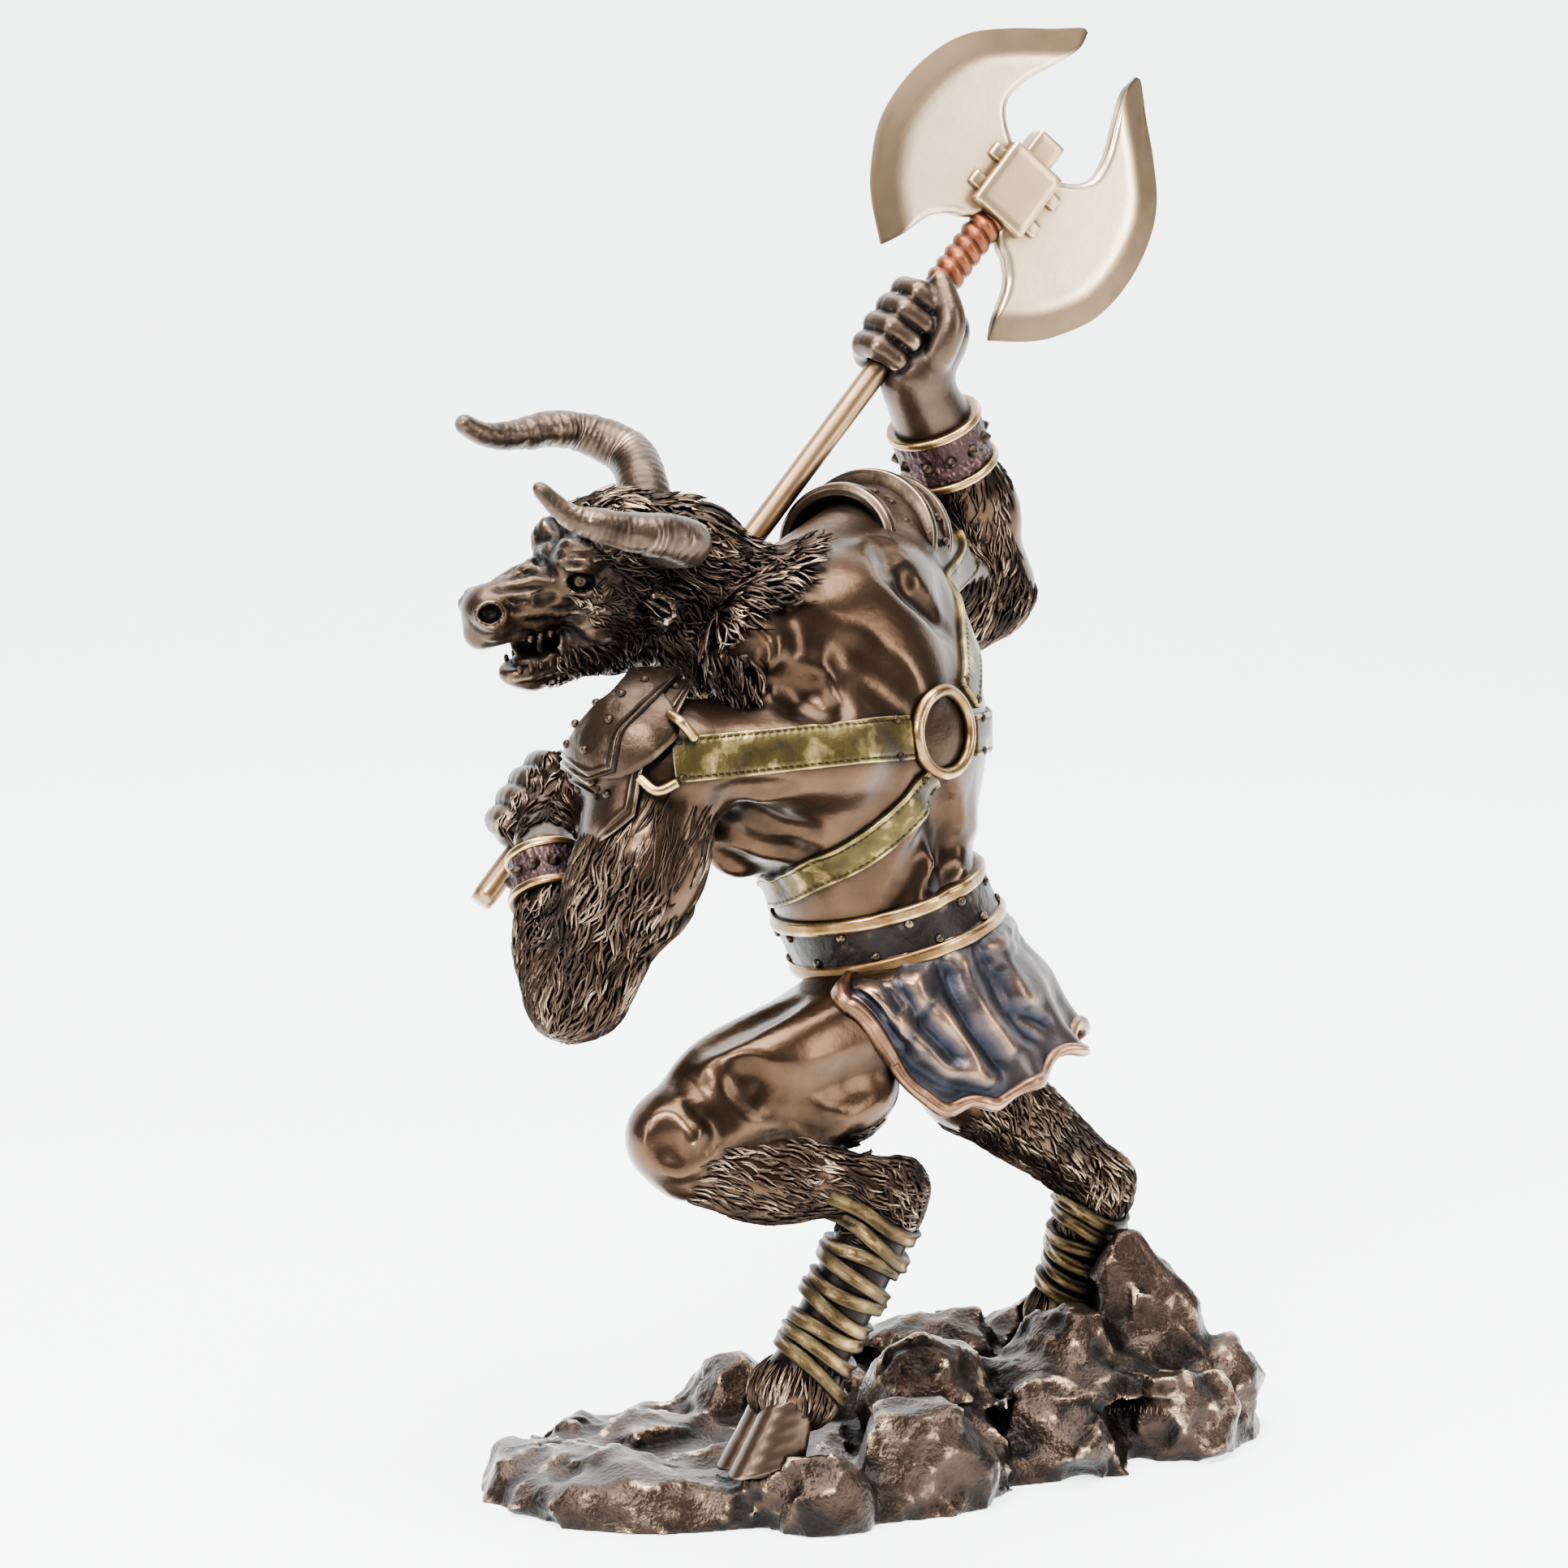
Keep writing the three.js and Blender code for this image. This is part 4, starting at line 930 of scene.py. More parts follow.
LEATHER = Finish("belt_brown", "050403 0d0908 1a130f 7c6450", 0.82, (0.28, 0.5), 0.4, 0.7, 0.08)
MAROON = Finish("bracer_maroon", "0a0505 1a0d0d 351e1d 8e6c5e", 0.75, (0.3, 0.55), 0.2, 0.45, 0.16)
CLOTH = Finish("kilt_blue", "0a0a0d 1d1f28 473d39 b08a68", 0.85, (0.26, 0.48), 0.24, 1.2, 0.06)
WRAP = Finish("wrap_gold", "0a0704 1e170c 4a3b22 b69a66", 0.88, (0.28, 0.52), 0.35, 0.7, 0.07)
HOOF = Finish("hoof_dark", "0b0706 261c15 4c3b2e c4aa8a", 0.88, (0.24, 0.45), 0.2, 0.5, 0.03, 5.0)
ROCK = Finish("rock_brown", "050303 150f0b 392b22 d6b896", 0.86, (0.2, 0.46), 0.4, 1.0, 0.3)
STEEL = Finish("pale_bronze", "30241a 74604a aa8f6c e6d0ae", 0.92, (0.26, 0.42), 0.08, 1.5, 0.015)
SHAFT = Finish("shaft_bronze", "1c140d 503e2c 8a6d4e d6b892", 0.92, (0.26, 0.42), 0.1, 1.5, 0.015)
GRIP = Finish("grip_copper", "120805 472314 7c4427 d8966c", 0.85, (0.3, 0.5), 0.2, 0.6, 0.06)
HEM = Finish("hem_copper", "140c08 36241a 684a36 cca080", 0.88, (0.28, 0.48), 0.3, 0.8, 0.05)
HIDE = Finish("face_bronze", "070504 17100b 453528 ceb494", 0.9, (0.22, 0.46), 0.16, 0.7, 0.06)
DARK = Finish("mouth_dark", "070404 120a08 2a1b16 6a5040", 0.6, (0.3, 0.5), 0.1, 0.6, 0.04)


def feed(tree: bpy.types.NodeTree, node: bpy.types.Node, inputs: dict[str | int, object]) -> None:
    """Sets a node's inputs: each is a value, or another node's output, which is linked to it."""
    for name, value in inputs.items():
        if isinstance(value, bpy.types.NodeSocket):
            tree.links.new(value, node.inputs[name])
        else:
            node.inputs[name].default_value = value


def added(tree: bpy.types.NodeTree, kind: str, inputs: dict[str | int, object],
          result: str | int = 0) -> bpy.types.NodeSocket:
    """Adds a node and gives back one of its outputs."""
    node = tree.nodes.new("ShaderNode" + kind)
    feed(tree, node, inputs)
    return node.outputs[result]


def reckoned(tree: bpy.types.NodeTree, kind: str, first: object, second: object) -> bpy.types.NodeSocket:
    """Adds a sum of one kind and gives back its result."""
    result = added(tree, "Math", {0: first, 1: second})
    result.node.operation = kind
    return result


def material(finish: Finish) -> bpy.types.Material:
    """Builds a finish once, as nodes.

    The vertices' own value of painted light and wear, darkened by painted shade where nearby surfaces are
    close, drifts with soft noise and picks the colour from hollow to ridge, from painted shade to a painted
    highlight; the same value sets the roughness.

    Args:
        finish: what to build.

    Returns:
        The material, the same one each time.
    """
    found = bpy.data.materials.get(finish.name)
    if found:
        return found
    made = bpy.data.materials.new(finish.name)
    made.use_nodes = True
    tree = made.node_tree
    painted_light_and_wear = added(tree, "Attribute", {}, "Fac")
    painted_light_and_wear.node.attribute_name = "painted_light_and_wear"
    place = added(tree, "TexCoord", {}, "Object")
    drift = added(tree, "TexNoise", {"Vector": place, "Scale": 1 / (6.0 * MM), "Detail": 5.0}, "Fac")
    # Painted shade: the colour is darkened in crevices and where other pieces are close.
    crevice_shade = added(tree, "AmbientOcclusion", {"Distance": 7 * MM}, "AO")
    crevice_shade.node.samples = 4
    offset = reckoned(tree, "MULTIPLY", reckoned(tree, "SUBTRACT", drift, 0.5), finish.patches * 2.2)
    value = reckoned(tree, "MULTIPLY", reckoned(tree, "ADD", painted_light_and_wear, offset), crevice_shade)
    value.node.use_clamp = True
    tint = added(tree, "ValToRGB", {"Fac": value}, "Color")
    ramp_stops = tint.node.color_ramp.elements
    hollow, low, flat, ridge = (shade(code) for code in finish.colours.split())
    ramp_stops[0].position, ramp_stops[1].position = 0.06, 0.95
    ramp_stops[0].color, ramp_stops[1].color = hollow, ridge
    ramp_stops.new(0.34).color = low
    ramp_stops.new(0.66).color = flat
    most, least = finish.rough[1], finish.rough[0]
    rough = added(tree, "MapRange", {"Value": value, "To Min": most, "To Max": least}, "Result")
    turned_place = added(tree, "Mapping", {"Vector": place, "Scale": (1.0, 1.0, 1 / finish.streak)})
    grain = {"Vector": turned_place, "Scale": 1 / (finish.grain * MM), "Detail": 3.0}
    fine = added(tree, "TexNoise", grain, "Fac")
    bump = added(tree, "Bump", {"Height": fine, "Strength": 0.6, "Distance": finish.bump * MM * 2})
    surface = {"Base Color": tint, "Roughness": rough, "Metallic": finish.metal, "Normal": bump}
    feed(tree, tree.nodes["Principled BSDF"], surface)
    return made


# Pieces


def edge_light_and_wear(skin: Skin) -> Array:
    """Painted light and wear for a piece made without a sculpt: its bend, softened, about a middle value, so
    that ridges get a painted highlight and hollows painted shade.
    """
    bend = skin.spread(skin.bend(), 1)
    # Ridges lighter as painted highlight and wear, hollows darker as painted shade.
    return np.clip(0.58 + 0.5 * np.clip(bend, -0.9, 0.8), 0, 1)


def piece(
    name: str, skin: Skin, finish: Finish, painted_light_and_wear: Array | float | None = None, slot: Slot = Slot.FIGURE
) -> bpy.types.Object:
    """Makes one visible piece from a skin and lets it stand for its solid.

    Args:
        name: the piece's name.
        skin: its mesh, in millimetres.
        finish: its paint.
        painted_light_and_wear: painted shade, painted highlight and wear, 0 to 1 at each vertex, one value
            for all, or nothing to take it from the mesh's own bend.
        slot: which solid it stands for; that solid is hidden.

    Returns:
        The piece.
    """
    mesh = bpy.data.meshes.new(name)
    blocks = skin.faces
    mesh.vertices.add(len(skin.points))
    mesh.vertices.foreach_set("co", (skin.points * MM).astype(np.float32).ravel())
    sizes = np.concatenate([np.full(len(block), block.shape[1]) for block in blocks])
    mesh.loops.add(int(sizes.sum()))
    mesh.loops.foreach_set("vertex_index",
                           np.concatenate([block.ravel() for block in blocks]).astype(np.int32))
    mesh.polygons.add(len(sizes))
    starts = np.concatenate([[0], np.cumsum(sizes)[:-1]])
    mesh.polygons.foreach_set("loop_start", starts.astype(np.int32))
    mesh.polygons.foreach_set("use_smooth", np.ones(len(sizes), bool))
    mesh.update(calc_edges=True)
    values = np.zeros(len(skin.points)) + (edge_light_and_wear(skin) if painted_light_and_wear is None else painted_light_and_wear)
    # The attribute picks each vertex's colour from painted shade to painted highlight.
    mesh.attributes.new("painted_light_and_wear", "FLOAT", "POINT").data.foreach_set("value", values.astype(np.float32))
    mesh.materials.append(material(finish))
    made = bpy.data.objects.new(name, mesh)
    bpy.context.scene.collection.objects.link(made)
    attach(made, "root")
    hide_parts(NODES[slot])
    log.info("%s: %d triangles", name, int((sizes - 2).sum()))
    return made


def thinned(made: bpy.types.Object, share: float) -> None:
    """Lowers a sculpted piece's face count where it is flat."""
    made.modifiers.new("thin", "DECIMATE").ratio = share


# The figure's proportions

PELVIS_FRONT = (-0.95, 0.31, 0.0)
CHEST_FRONT = (-0.78, 0.63, 0.0)
SPINE_FOOT = np.array([5.0, 8.0, 90.0])
SPINE_HEAD = np.array([-14.0, 5.0, 195.0])
BELT_CENTRE = np.array([4.0, 8.0, 117.3])
BELT_RISE = np.array([5.6, 1.4, 0.0])
WAIST_UP = unit((-0.267, -0.067, 1.0))
HIPS: tuple[Form, ...] = (
    Mass((9, 9, 84), (7, 9, 127), 23.5, 21.5, PELVIS_FRONT),
    Mass((2, 8, 99), (-1, 7, 149), 23, 21.5, (-0.9, 0.43, 0), 6),
)

# The lines between the muscles of the back and the arms, in the view: line, radius, depth and blend
TRUNK_CREASES: tuple[Crease, ...] = (
    (((-16.0, 34.3), (-11.0, 31.0), (-7.7, 26.0), (-8.5, 20.2)), 2.6, 0.5, 2.0),
    (((-16.8, 20.2), (-9.3, 19.8), (0.7, 20.2), (5.7, 17.7), (7.8, 13.5)), 1.6, 1.1, 1.6),
    (((-10.2, 25.2), (-8.5, 20.2), (-10.2, 17.7)), 1.2, 0.6, 1.2),
    (((-1.8, 37.7), (5.7, 31.0), (14.0, 25.2), (21.5, 20.2), (25.7, 16.0)), 4.0, 0.9, 3.0),
    (((4.0, 28.5), (3.2, 22.7), (9.0, 14.3)), 3.0, 0.8, 2.5),
    (((19.8, 50.2), (22.3, 43.5), (28.2, 37.7), (33.2, 31.8)), 2.6, 0.7, 2.0),
    (((25.7, 44.3), (24.8, 39.3), (29.8, 34.3)), 1.4, 0.5, 1.4),
    (((33.2, -0.7), (34.0, -7.3), (36.5, -13.2), (41.5, -19.0)), 2.0, 0.9, 1.8),
    (((27.8, -0.7), (31.5, -6.5), (33.2, -13.2), (33.2, -19.0)), 2.2, 1.0, 2.0),
    (((-13.5, -2.3), (-7.7, -1.5), (0.7, -0.7)), 2.0, 0.5, 1.6),
    (((-11.0, -4.8), (-2.7, -8.2), (5.7, -9.8)), 1.8, 0.5, 1.6),
    (((-12.7, -9.8), (-3.5, -13.2), (4.8, -14.0)), 1.8, 0.5, 1.6),
    (((-13.5, -14.0), (-7.7, -17.3), (0.7, -18.6)), 1.8, 0.5, 1.6),
    (((38.2, 51.0), (37.8, 48.5), (40.7, 47.7)), 1.2, 0.6, 1.2),
    (((28.8, -9.0), (27.9, -14.3), (25.2, -20.6), (21.7, -25.9)), 1.8, 0.7, 1.6),
    (((35.9, -11.7), (33.7, -17.0), (33.2, -22.3)), 1.6, 0.8, 1.4),
    (((32.3, -9.0), (31.4, -17.0), (29.7, -22.3)), 1.0, 0.4, 1.2),
    (((-13.0, -14.3), (-6.8, -17.9), (-0.6, -20.1)), 1.6, 0.6, 1.4),
    (((-43.2, -21.4), (-48.6, -25.9), (-48.6, -30.3), (-45.0, -32.1)), 1.6, 1.3, 1.2),
)

# The lines between the muscles of the legs, in the view
LEG_CREASES: tuple[Crease, ...] = (
    (((-24.6, -70.3), (-23.7, -74.8), (-21.0, -77.4)), 2.6, 0.8, 1.8),
    (((-21.0, -58.8), (-17.4, -62.3), (-12.1, -65.9), (-10.3, -69.4)), 1.6, 0.5, 1.6),
    (((-6.8, -65.9), (-0.6, -67.2), (5.7, -69.4), (11.0, -70.3)), 1.4, 0.9, 1.2),
    (((-6.8, -65.9), (-8.6, -62.3), (-6.8, -58.8)), 1.4, 0.5, 1.4),
    (((-17.4, -55.2), (-6.8, -49.0), (2.1, -44.6)), 2.6, 0.5, 2.4),
    (((-12.1, -58.8), (-1.4, -62.3), (11.0, -62.3), (19.0, -60.6)), 3.0, 0.6, 2.6),
    (((-19.2, -65.9), (-13.9, -71.2), (-17.4, -76.6)), 1.2, 0.4, 1.2),
    (((54.6, -71.2), (62.6, -76.6), (66.1, -81.9)), 1.6, 0.5, 1.6),
)


def draw_muscles(made: Sculpt, creases: Sequence[Crease]) -> None:
    """Draws the lines between the muscles, softer and shallower than the tables give them."""
    for line, radius, depth, blend in creases:
        made.crease(line, radius * 1.5, depth * 0.75, blend + 1.2)


@dataclass
class Trunk:
    """The trunk and both arms to the wrists, with the muscles that show."""

    step: float = 0.98
    low: Point = (-92, -62, 100)
    high: Point = (46, 90, 222)
    trunk: tuple[Form, ...] = HIPS + (
        Mass((1, 7, 121), (-13, 6, 190), 33, 26, CHEST_FRONT, 7),
        Mass((-20, 12, 125), (-33, 6, 166), 14, 11, (-0.8, 0.2, 0.2), 4),
        Mass((9, 26, 188), (-30, -18, 173), 17, 14, (-0.2, 0, 1), 7),
        Mass((-34, -20, 176), (-8, -13, 174), 14, 8, (-0.3, -0.9, 0.3), 4),
        Mass((-14, 0, 191), (9, -9, 161), 13, 8, (0.4, -0.85, 0.3), 4),
        Mass((-36, -22, 164), (-11, -18, 163), 5.5, 5, (-0.2, -1, 0.2), 2.2),
        Mass((-31, -14, 141), (-10, -13, 156), 12, 9, (-0.1, -1, 0.1), 4),
        Mass((-35, -12, 141.5), (-19, -10, 132.6), 9, 8, (-0.1, -1, 0.1), 5),
        Mass((-12, -3, 130), (6, -8, 151), 11, 10, (0.2, -1, 0), 5),
        Mass((11, -2, 112), (9, -7, 155), 4, 4.3, (0.6, -0.8, 0), 2.2),
        Mass((17, 7, 112), (16, 3, 155), 4, 4.3, (0.9, -0.4, 0), 2.2),
        Mass((15, 9, 150), (8, 24, 190), 8, 8, (0.9, -0.4, 0), 5),
    )
    near_arm: tuple[Form, ...] = (
        Mass((-38, -22, 166), (-50, -30, 146), 13, 13, (-0.3, -1, 0), 5),
        Bone((-43, -28, 150), (-59, -40, 110), 13, 9, 5),
        Bone((-36, -29.5, 155), (-8, -20, 154.5), 9.5, 9.5, 5),
        Mass((-38, -33, 150), (-50, -42, 119), 10, 8, (0.3, -1, 0), 3),
        Mass((-50, -32, 140), (-60, -40, 112), 8, 8, (-0.3, -1, 0), 2.5),
        Mass((-62, -41, 113), (-62, -40, 101.5), 6.5, 7, NEARWARD, 2.5),
        Bone((-62, -39, 109), (-67, -17, 133), 8.2, 6.4, 1.6),
        Mass((-64, -36, 106), (-68, -24, 127), 7.5, 7, (-1, -0.3, 0), 2),
    )
    far_arm: tuple[Form, ...] = (
        Mass((-8, 30, 193), (14, 40, 180), 12, 12, (0.3, 0, 1), 6),
        Bone((-14, 15, 183), (0, 33, 190), 12.4, 13.0, 5),
        Bone((5, 38, 188), (23.5, 68, 175.5), 12, 8.5, 5),
        Mass((10, 48, 177), (25, 68, 170), 8, 8, (0, 0, -1), 3),
        Mass((23, 68, 180), (23, 68, 168.5), 7, 7, NEARWARD, 2.5),
        Bone((26, 68, 178), (14.2, 57, 212), 9.5, 8.6, 3),
        Mass((28, 65, 186), (21.5, 61, 206), 6.5, 7, (1, 0, 0.3), 2.5),
    )

    def carve(self) -> Sculpt:
        """Joins all of its forms and draws its lines."""
        made = Sculpt(self.low, self.high, self.step)
        made.add(self.trunk + self.near_arm + self.far_arm)
        draw_muscles(made, TRUNK_CREASES)
        return made


@dataclass
class Legs:
    """The hips and both legs down to the fetlocks."""

    step: float = 0.92
    low: Point = (-58, -56, 8)
    high: Point = (66, 66, 124)
    near: tuple[Form, ...] = (
        Bone((-2, -8, 100), (-38, -36, 79.5), 15, 9.5, 5),
        Mass((-3, -15, 101.5), (-43, -38, 81.5), 13, 12, (-0.3, -0.9, 0.3), 4),
        Mass((4, -14, 87), (-24, -32, 81), 10, 9, NEARWARD, 2.5),
        Mass((-42, -38, 89.5), (-41, -38, 70), 9.2, 9.8, NEARWARD, 3),
        Mass((-33, -43, 84), (-42, -46, 74), 4.5, 3.5, NEARWARD, 2),
        Bone((-38, -37, 74), (4, -28, 66.5), 7.5, 6, 3),
        Mass((-36, -37, 72), (-8, -31, 68.5), 8.7, 8, NEARWARD, 3),
        Mass((6, -27, 73), (4, -27, 60.5), 5.3, 4.8, NEARWARD, 2),
        Bone((1.5, -28, 62), (-14.5, -33, 30), 7.4, 7, 2.5),
        Mass((-16, -33, 34), (-17, -33, 18), 9.4, 8.6, NEARWARD, 2),
    )
    far: tuple[Form, ...] = (
        Bone((11, 18, 96.5), (20, 27, 78.6), 15.5, 10.8, 5),
        Bone((21, 27, 78.6), (48, 42, 53.5), 10.6, 6.6, 4),
        Mass((20, 26, 79), (38, 35, 62.5), 8, 8, NEARWARD, 3),
        Mass((51, 42, 59.4), (50, 42, 45.6), 6.1, 6.1, NEARWARD, 2),
        Bone((47.5, 42, 48), (42, 46, 24), 7, 6.3, 2.5),
        Mass((42, 46, 30), (41, 47, 15), 8.3, 7.6, NEARWARD, 2),
    )

    def carve(self) -> Sculpt:
        """Joins all of its forms, ends them softly at the waist and draws their lines."""
        made = Sculpt(self.low, self.high, self.step)
        made.add(HIPS + self.near + self.far)
        made.round_off(BELT_CENTRE - np.array([0, 0, 4.8]), WAIST_UP, 4.0)
        draw_muscles(made, LEG_CREASES)
        return made


# The wrapped part of each shin
SHINS = (((1, -28.5, 63), (-13.4, -32.5, 29)), ((48.5, 42, 49), (43, 45.8, 27)))

HEAD_CENTRE = np.array([-54.0, -8.0, 191.0])
HEAD_LEFT = unit((0.41, -0.89, -0.2))
HEAD_FORE = frame_of(HEAD_LEFT, (-0.9, -0.385, -0.25))[1]
HEAD_UP = np.cross(HEAD_FORE, HEAD_LEFT)
HEAD_AXES = np.stack([HEAD_FORE, HEAD_LEFT, HEAD_UP])


def head_point(local: Point) -> Array:
    """A place given fore, left and up of the head's centre; rows work too."""
    return HEAD_CENTRE + np.asarray(local, float) @ HEAD_AXES


def head_local(points: Array) -> Array:
    """Places in the row's frame as fore, left and up of the head's centre."""
    return (points - HEAD_CENTRE) @ HEAD_AXES.T


def turned(form: Form, side: int = 1) -> Form:
    """A form given in the head's own frame, moved to the row's frame, mirrored if side is -1."""
    flip = np.array([1, side, 1])
    start, end = (head_point(np.asarray(p) * flip) for p in (form.start, form.end))
    if isinstance(form, Bone):
        return Bone(start, end, form.radius, form.radius_end, form.blend, form.cut)
    face = (np.asarray(form.face, float) * flip) @ HEAD_AXES
    return Mass(start, end, form.width, form.thick, face, form.blend, form.cut)



# The lines of the face in the view, raised where the depth is below zero: line, radius, depth and blend
FACE_LINES: tuple[Crease, ...] = (
    (((-57, 41.9), (-54, 43), (-51, 43.6), (-47.5, 42.6)), 1.1, 0.9, 0.6),
    (((-60, 40.1), (-56, 39.9), (-52, 40.5), (-49, 41)), 1.0, 0.6, 0.6),
    (((-52, 46.9), (-50.2, 46.2), (-48.3, 44.3)), 1.0, 0.9, 0.6),
    (((-58.5, 41.2), (-54, 42.3), (-51, 42.4), (-48.2, 41.6)), 1.2, -0.5, 0.5),
    (((-55.5, 43.9), (-53, 45), (-50.5, 45.2), (-49, 44.4)), 1.3, -0.5, 0.5),
    (((-47.7, 45.4), (-46.3, 44.3), (-45.3, 42.6), (-45, 41)), 1.2, -0.6, 0.5),
    (((-49.8, 50), (-47.5, 51.2), (-45, 51.5), (-42, 50.6), (-39.5, 50)), 1.1, 0.9, 0.6),
    (((-48.2, 47.6), (-45.5, 48.9), (-42, 49), (-39.6, 48.7)), 0.7, 0.35, 0.5),
    (((-47.4, 46.4), (-45, 47.4), (-42, 47.4), (-40, 47)), 0.7, 0.35, 0.5),
    (((-45.6, 45.1), (-43.6, 45.4), (-41, 45.3)), 0.7, 0.35, 0.5),
    (((-45.4, 44.4), (-43.5, 44.2), (-41, 44.1), (-39, 43.6), (-37.6, 42.7)), 1.0, -0.9, 0.4),
    (((-44.2, 40.2), (-42.5, 39.4), (-40.5, 39.4), (-38.8, 40.3)), 0.8, -0.6, 0.4),
    (((-40.4, 45.6), (-39, 44.8), (-38, 44.2)), 0.6, -0.6, 0.3),
    (((-39.8, 46.4), (-38.2, 46), (-37, 46.8), (-36.2, 47.2)), 0.6, -0.7, 0.3),
    (((-37.4, 48.6), (-36.6, 47.9), (-35.6, 47.4)), 0.6, -0.7, 0.3),
    (((-54, 35.4), (-51, 34.5), (-48, 34.7), (-44, 35), (-40, 35), (-37, 35.7)), 0.8, -0.5, 0.4),
    (((-53, 33.6), (-49, 33.8), (-45, 34), (-40, 34.3)), 0.9, 0.7, 0.5),
    (((-48, 34), (-45, 33), (-42, 32.2), (-40, 32.8)), 0.7, -0.5, 0.4),
    (((-49, 36.5), (-45, 36), (-41, 36), (-38, 36.6)), 0.8, 0.4, 0.5),
    (((-46, 38), (-43, 37.2), (-40, 37.6)), 0.8, 0.4, 0.5),
    (((-53.6, 33.2), (-51, 32.2), (-48.4, 30.8), (-46.4, 28.6), (-45.3, 26.4), (-45.3, 24.6)), 0.8, -0.6,
     0.4),
    (((-54, 31.6), (-51, 30.9), (-48.6, 29.4), (-46.9, 27), (-46.2, 25.2)), 0.6, 0.6, 0.3),
    (((-62.6, 30.1), (-60, 29.7), (-57, 29.9), (-54, 29.9), (-51, 29.3), (-49, 28.2), (-47.4, 26.4),
      (-46.4, 24.6)), 0.7, -0.6, 0.3),
    (((-45.9, 24.2), (-47.5, 23.2), (-50, 22.5), (-53, 21.8), (-56.6, 21.4)), 0.8, -0.6, 0.3),
    (((-46, 22.6), (-49, 21.6), (-53, 20.7), (-56, 20.6)), 0.6, 0.3, 0.3),
    (((-57.6, 37), (-55.6, 36.2), (-53.6, 36)), 0.7, 0.5, 0.4),
    (((-57.4, 38.6), (-54.6, 37.8), (-52, 38)), 0.7, 0.4, 0.4),
    (((-57.4, 39.4), (-54.4, 39), (-51.6, 39.2)), 0.6, -0.3, 0.4),
    (((-63.4, 35.6), (-62.6, 33.2), (-60.6, 31.7), (-58.4, 32), (-57.1, 33.8), (-57.5, 36.2), (-60, 37.4),
      (-62.6, 37)), 0.8, -0.5, 0.3),
    (((-64.9, 34), (-63.2, 31.8), (-60.6, 30.8), (-58.8, 31.2)), 0.7, 0.4, 0.3),
    (((-29.4, 38.6), (-27, 39.4), (-24.2, 38.8), (-22.4, 36.8), (-22.4, 34.6), (-24, 33.1), (-26.4, 32.8)),
     1.1, -1.3, 0.4),
)

EAR = (-25.6, 36.0)

# Hollows and lumps of the face in the view: the two ends of each, its half width and its depth
FACE_DENTS: tuple[Dent, ...] = (
    (((-44.4, 41.5), (-38.6, 41.3)), 1.9, 2.0),
    (((-62.7, 34.6), (-58, 35.4)), 1.9, 2.6),
    (((-30, 35.6), (-23.4, 35.8)), 2.3, 2.8),
    (((-52, 37.6), (-46.5, 38.6)), 1.6, 0.8),
)

@dataclass
class Head:
    """The bull's head and its neck. All places are fore, left and up of the head's centre."""

    step: float = 0.58
    low: Point = (-96, -46, 158)
    high: Point = (0, 30, 216)
    single: tuple[Form, ...] = (
        Mass((-14, 0, -4), (11, 0, 0), 12, 11.5, UP, 4),
        Mass((-12, 0, 7), (6, 0, 8.6), 10.5, 7, UP, 4),
        Mass((-26, 2, -1), (-5, 2, 6), 11, 7.5, UP, 4),
        Mass((-3, 0, 7), (15, 0, 3.5), 9, 7, UP, 3),
        Bone((10, 0, 0), (25, 0, -0.5), 8, 5.6, 3),
        Mass((23.5, 0, -1), (32.6, 0, -1), 6.6, 5.4, UP, 2),
        Bone((3, 0, -11), (20, 0, -16), 7, 4.4, 2.5),
        Mass((17, 0, -16.6), (27.2, 0, -14.8), 4.4, 3.2, UP, 1.5),
        Mass((-9, 0, -13), (10, 0, -15), 8, 7, UP, 4),
        Bone((19, 0, -4.5), (29.5, 0, -4.6), 5.2, 3.6, 1.2),
    )
    paired: tuple[Form, ...] = (
        Mass((-0.5, 7.2, 9.6), (13.4, 6, 8.2), 4.7, 4.3, UP, 1.6),
        Mass((-5, 7, -7), (11, 6.5, -5), 7, 5, (0, 1, 0), 3),
        Mass((25.6, 4.7, 0.4), (31.6, 4.4, 0.2), 3, 2.6, (0, 1, 0), 1.0),
        Mass((-9, 11.5, -5), (-2.5, 15.5, -4), 4.6, 3.4, (0, 1, 0), 1.6),
    )
    lines: tuple[Crease, ...] = FACE_LINES
    dents: tuple[Dent, ...] = FACE_DENTS
    mouth: Mass = Mass((12.8, 0, -10.3), (31.8, 0, -10.7), 5.6, 3.4, UP, 0.8, True)
    tongue: Mass = Mass((13, 0, -13.4), (24, 0, -12.9), 3.4, 1.5, UP, 0.8)
    cheek: Mass = Mass((12, -4.6, -10.2), (23.0, -3.2, -10.4), 4.4, 1.2, (0, 1, 0), 0.8)

    def carve(self) -> Sculpt:
        """Carves the head in a grid of its own; what the view shows of one side is mirrored to the other."""
        made = Sculpt(self.low, self.high, self.step)
        made.bone(Bone((-27, 0, 178), head_point((-8, 0, -4)), 17, 12.5, 7))
        made.add(turned(form) for form in self.single)
        for side in (1, -1):
            made.add(turned(form, side) for form in self.paired)
        found = [(made.seen(line), *rest) for line, *rest in self.lines]
        dents = [(made.seen(line), *rest) for line, *rest in self.dents]
        made.mass(turned(self.mouth))
        made.mass(turned(self.tongue))
        made.mass(turned(self.cheek))
        for side in ((1, 1, 1), (1, -1, 1)):
            for path, radius, depth, blend in found:
                height = depth if depth > 0 else 0.6 * depth
                made.crease(head_point(head_local(path) * side), radius, height, blend)
            for path, width, depth in dents:
                start, end = head_point(head_local(path) * side)
                out = made.slope((start + end)[None] / 2)[0]
                made.mass(Mass(start, end, width, abs(depth), out, 0.4, depth > 0))
        return made


# The coat


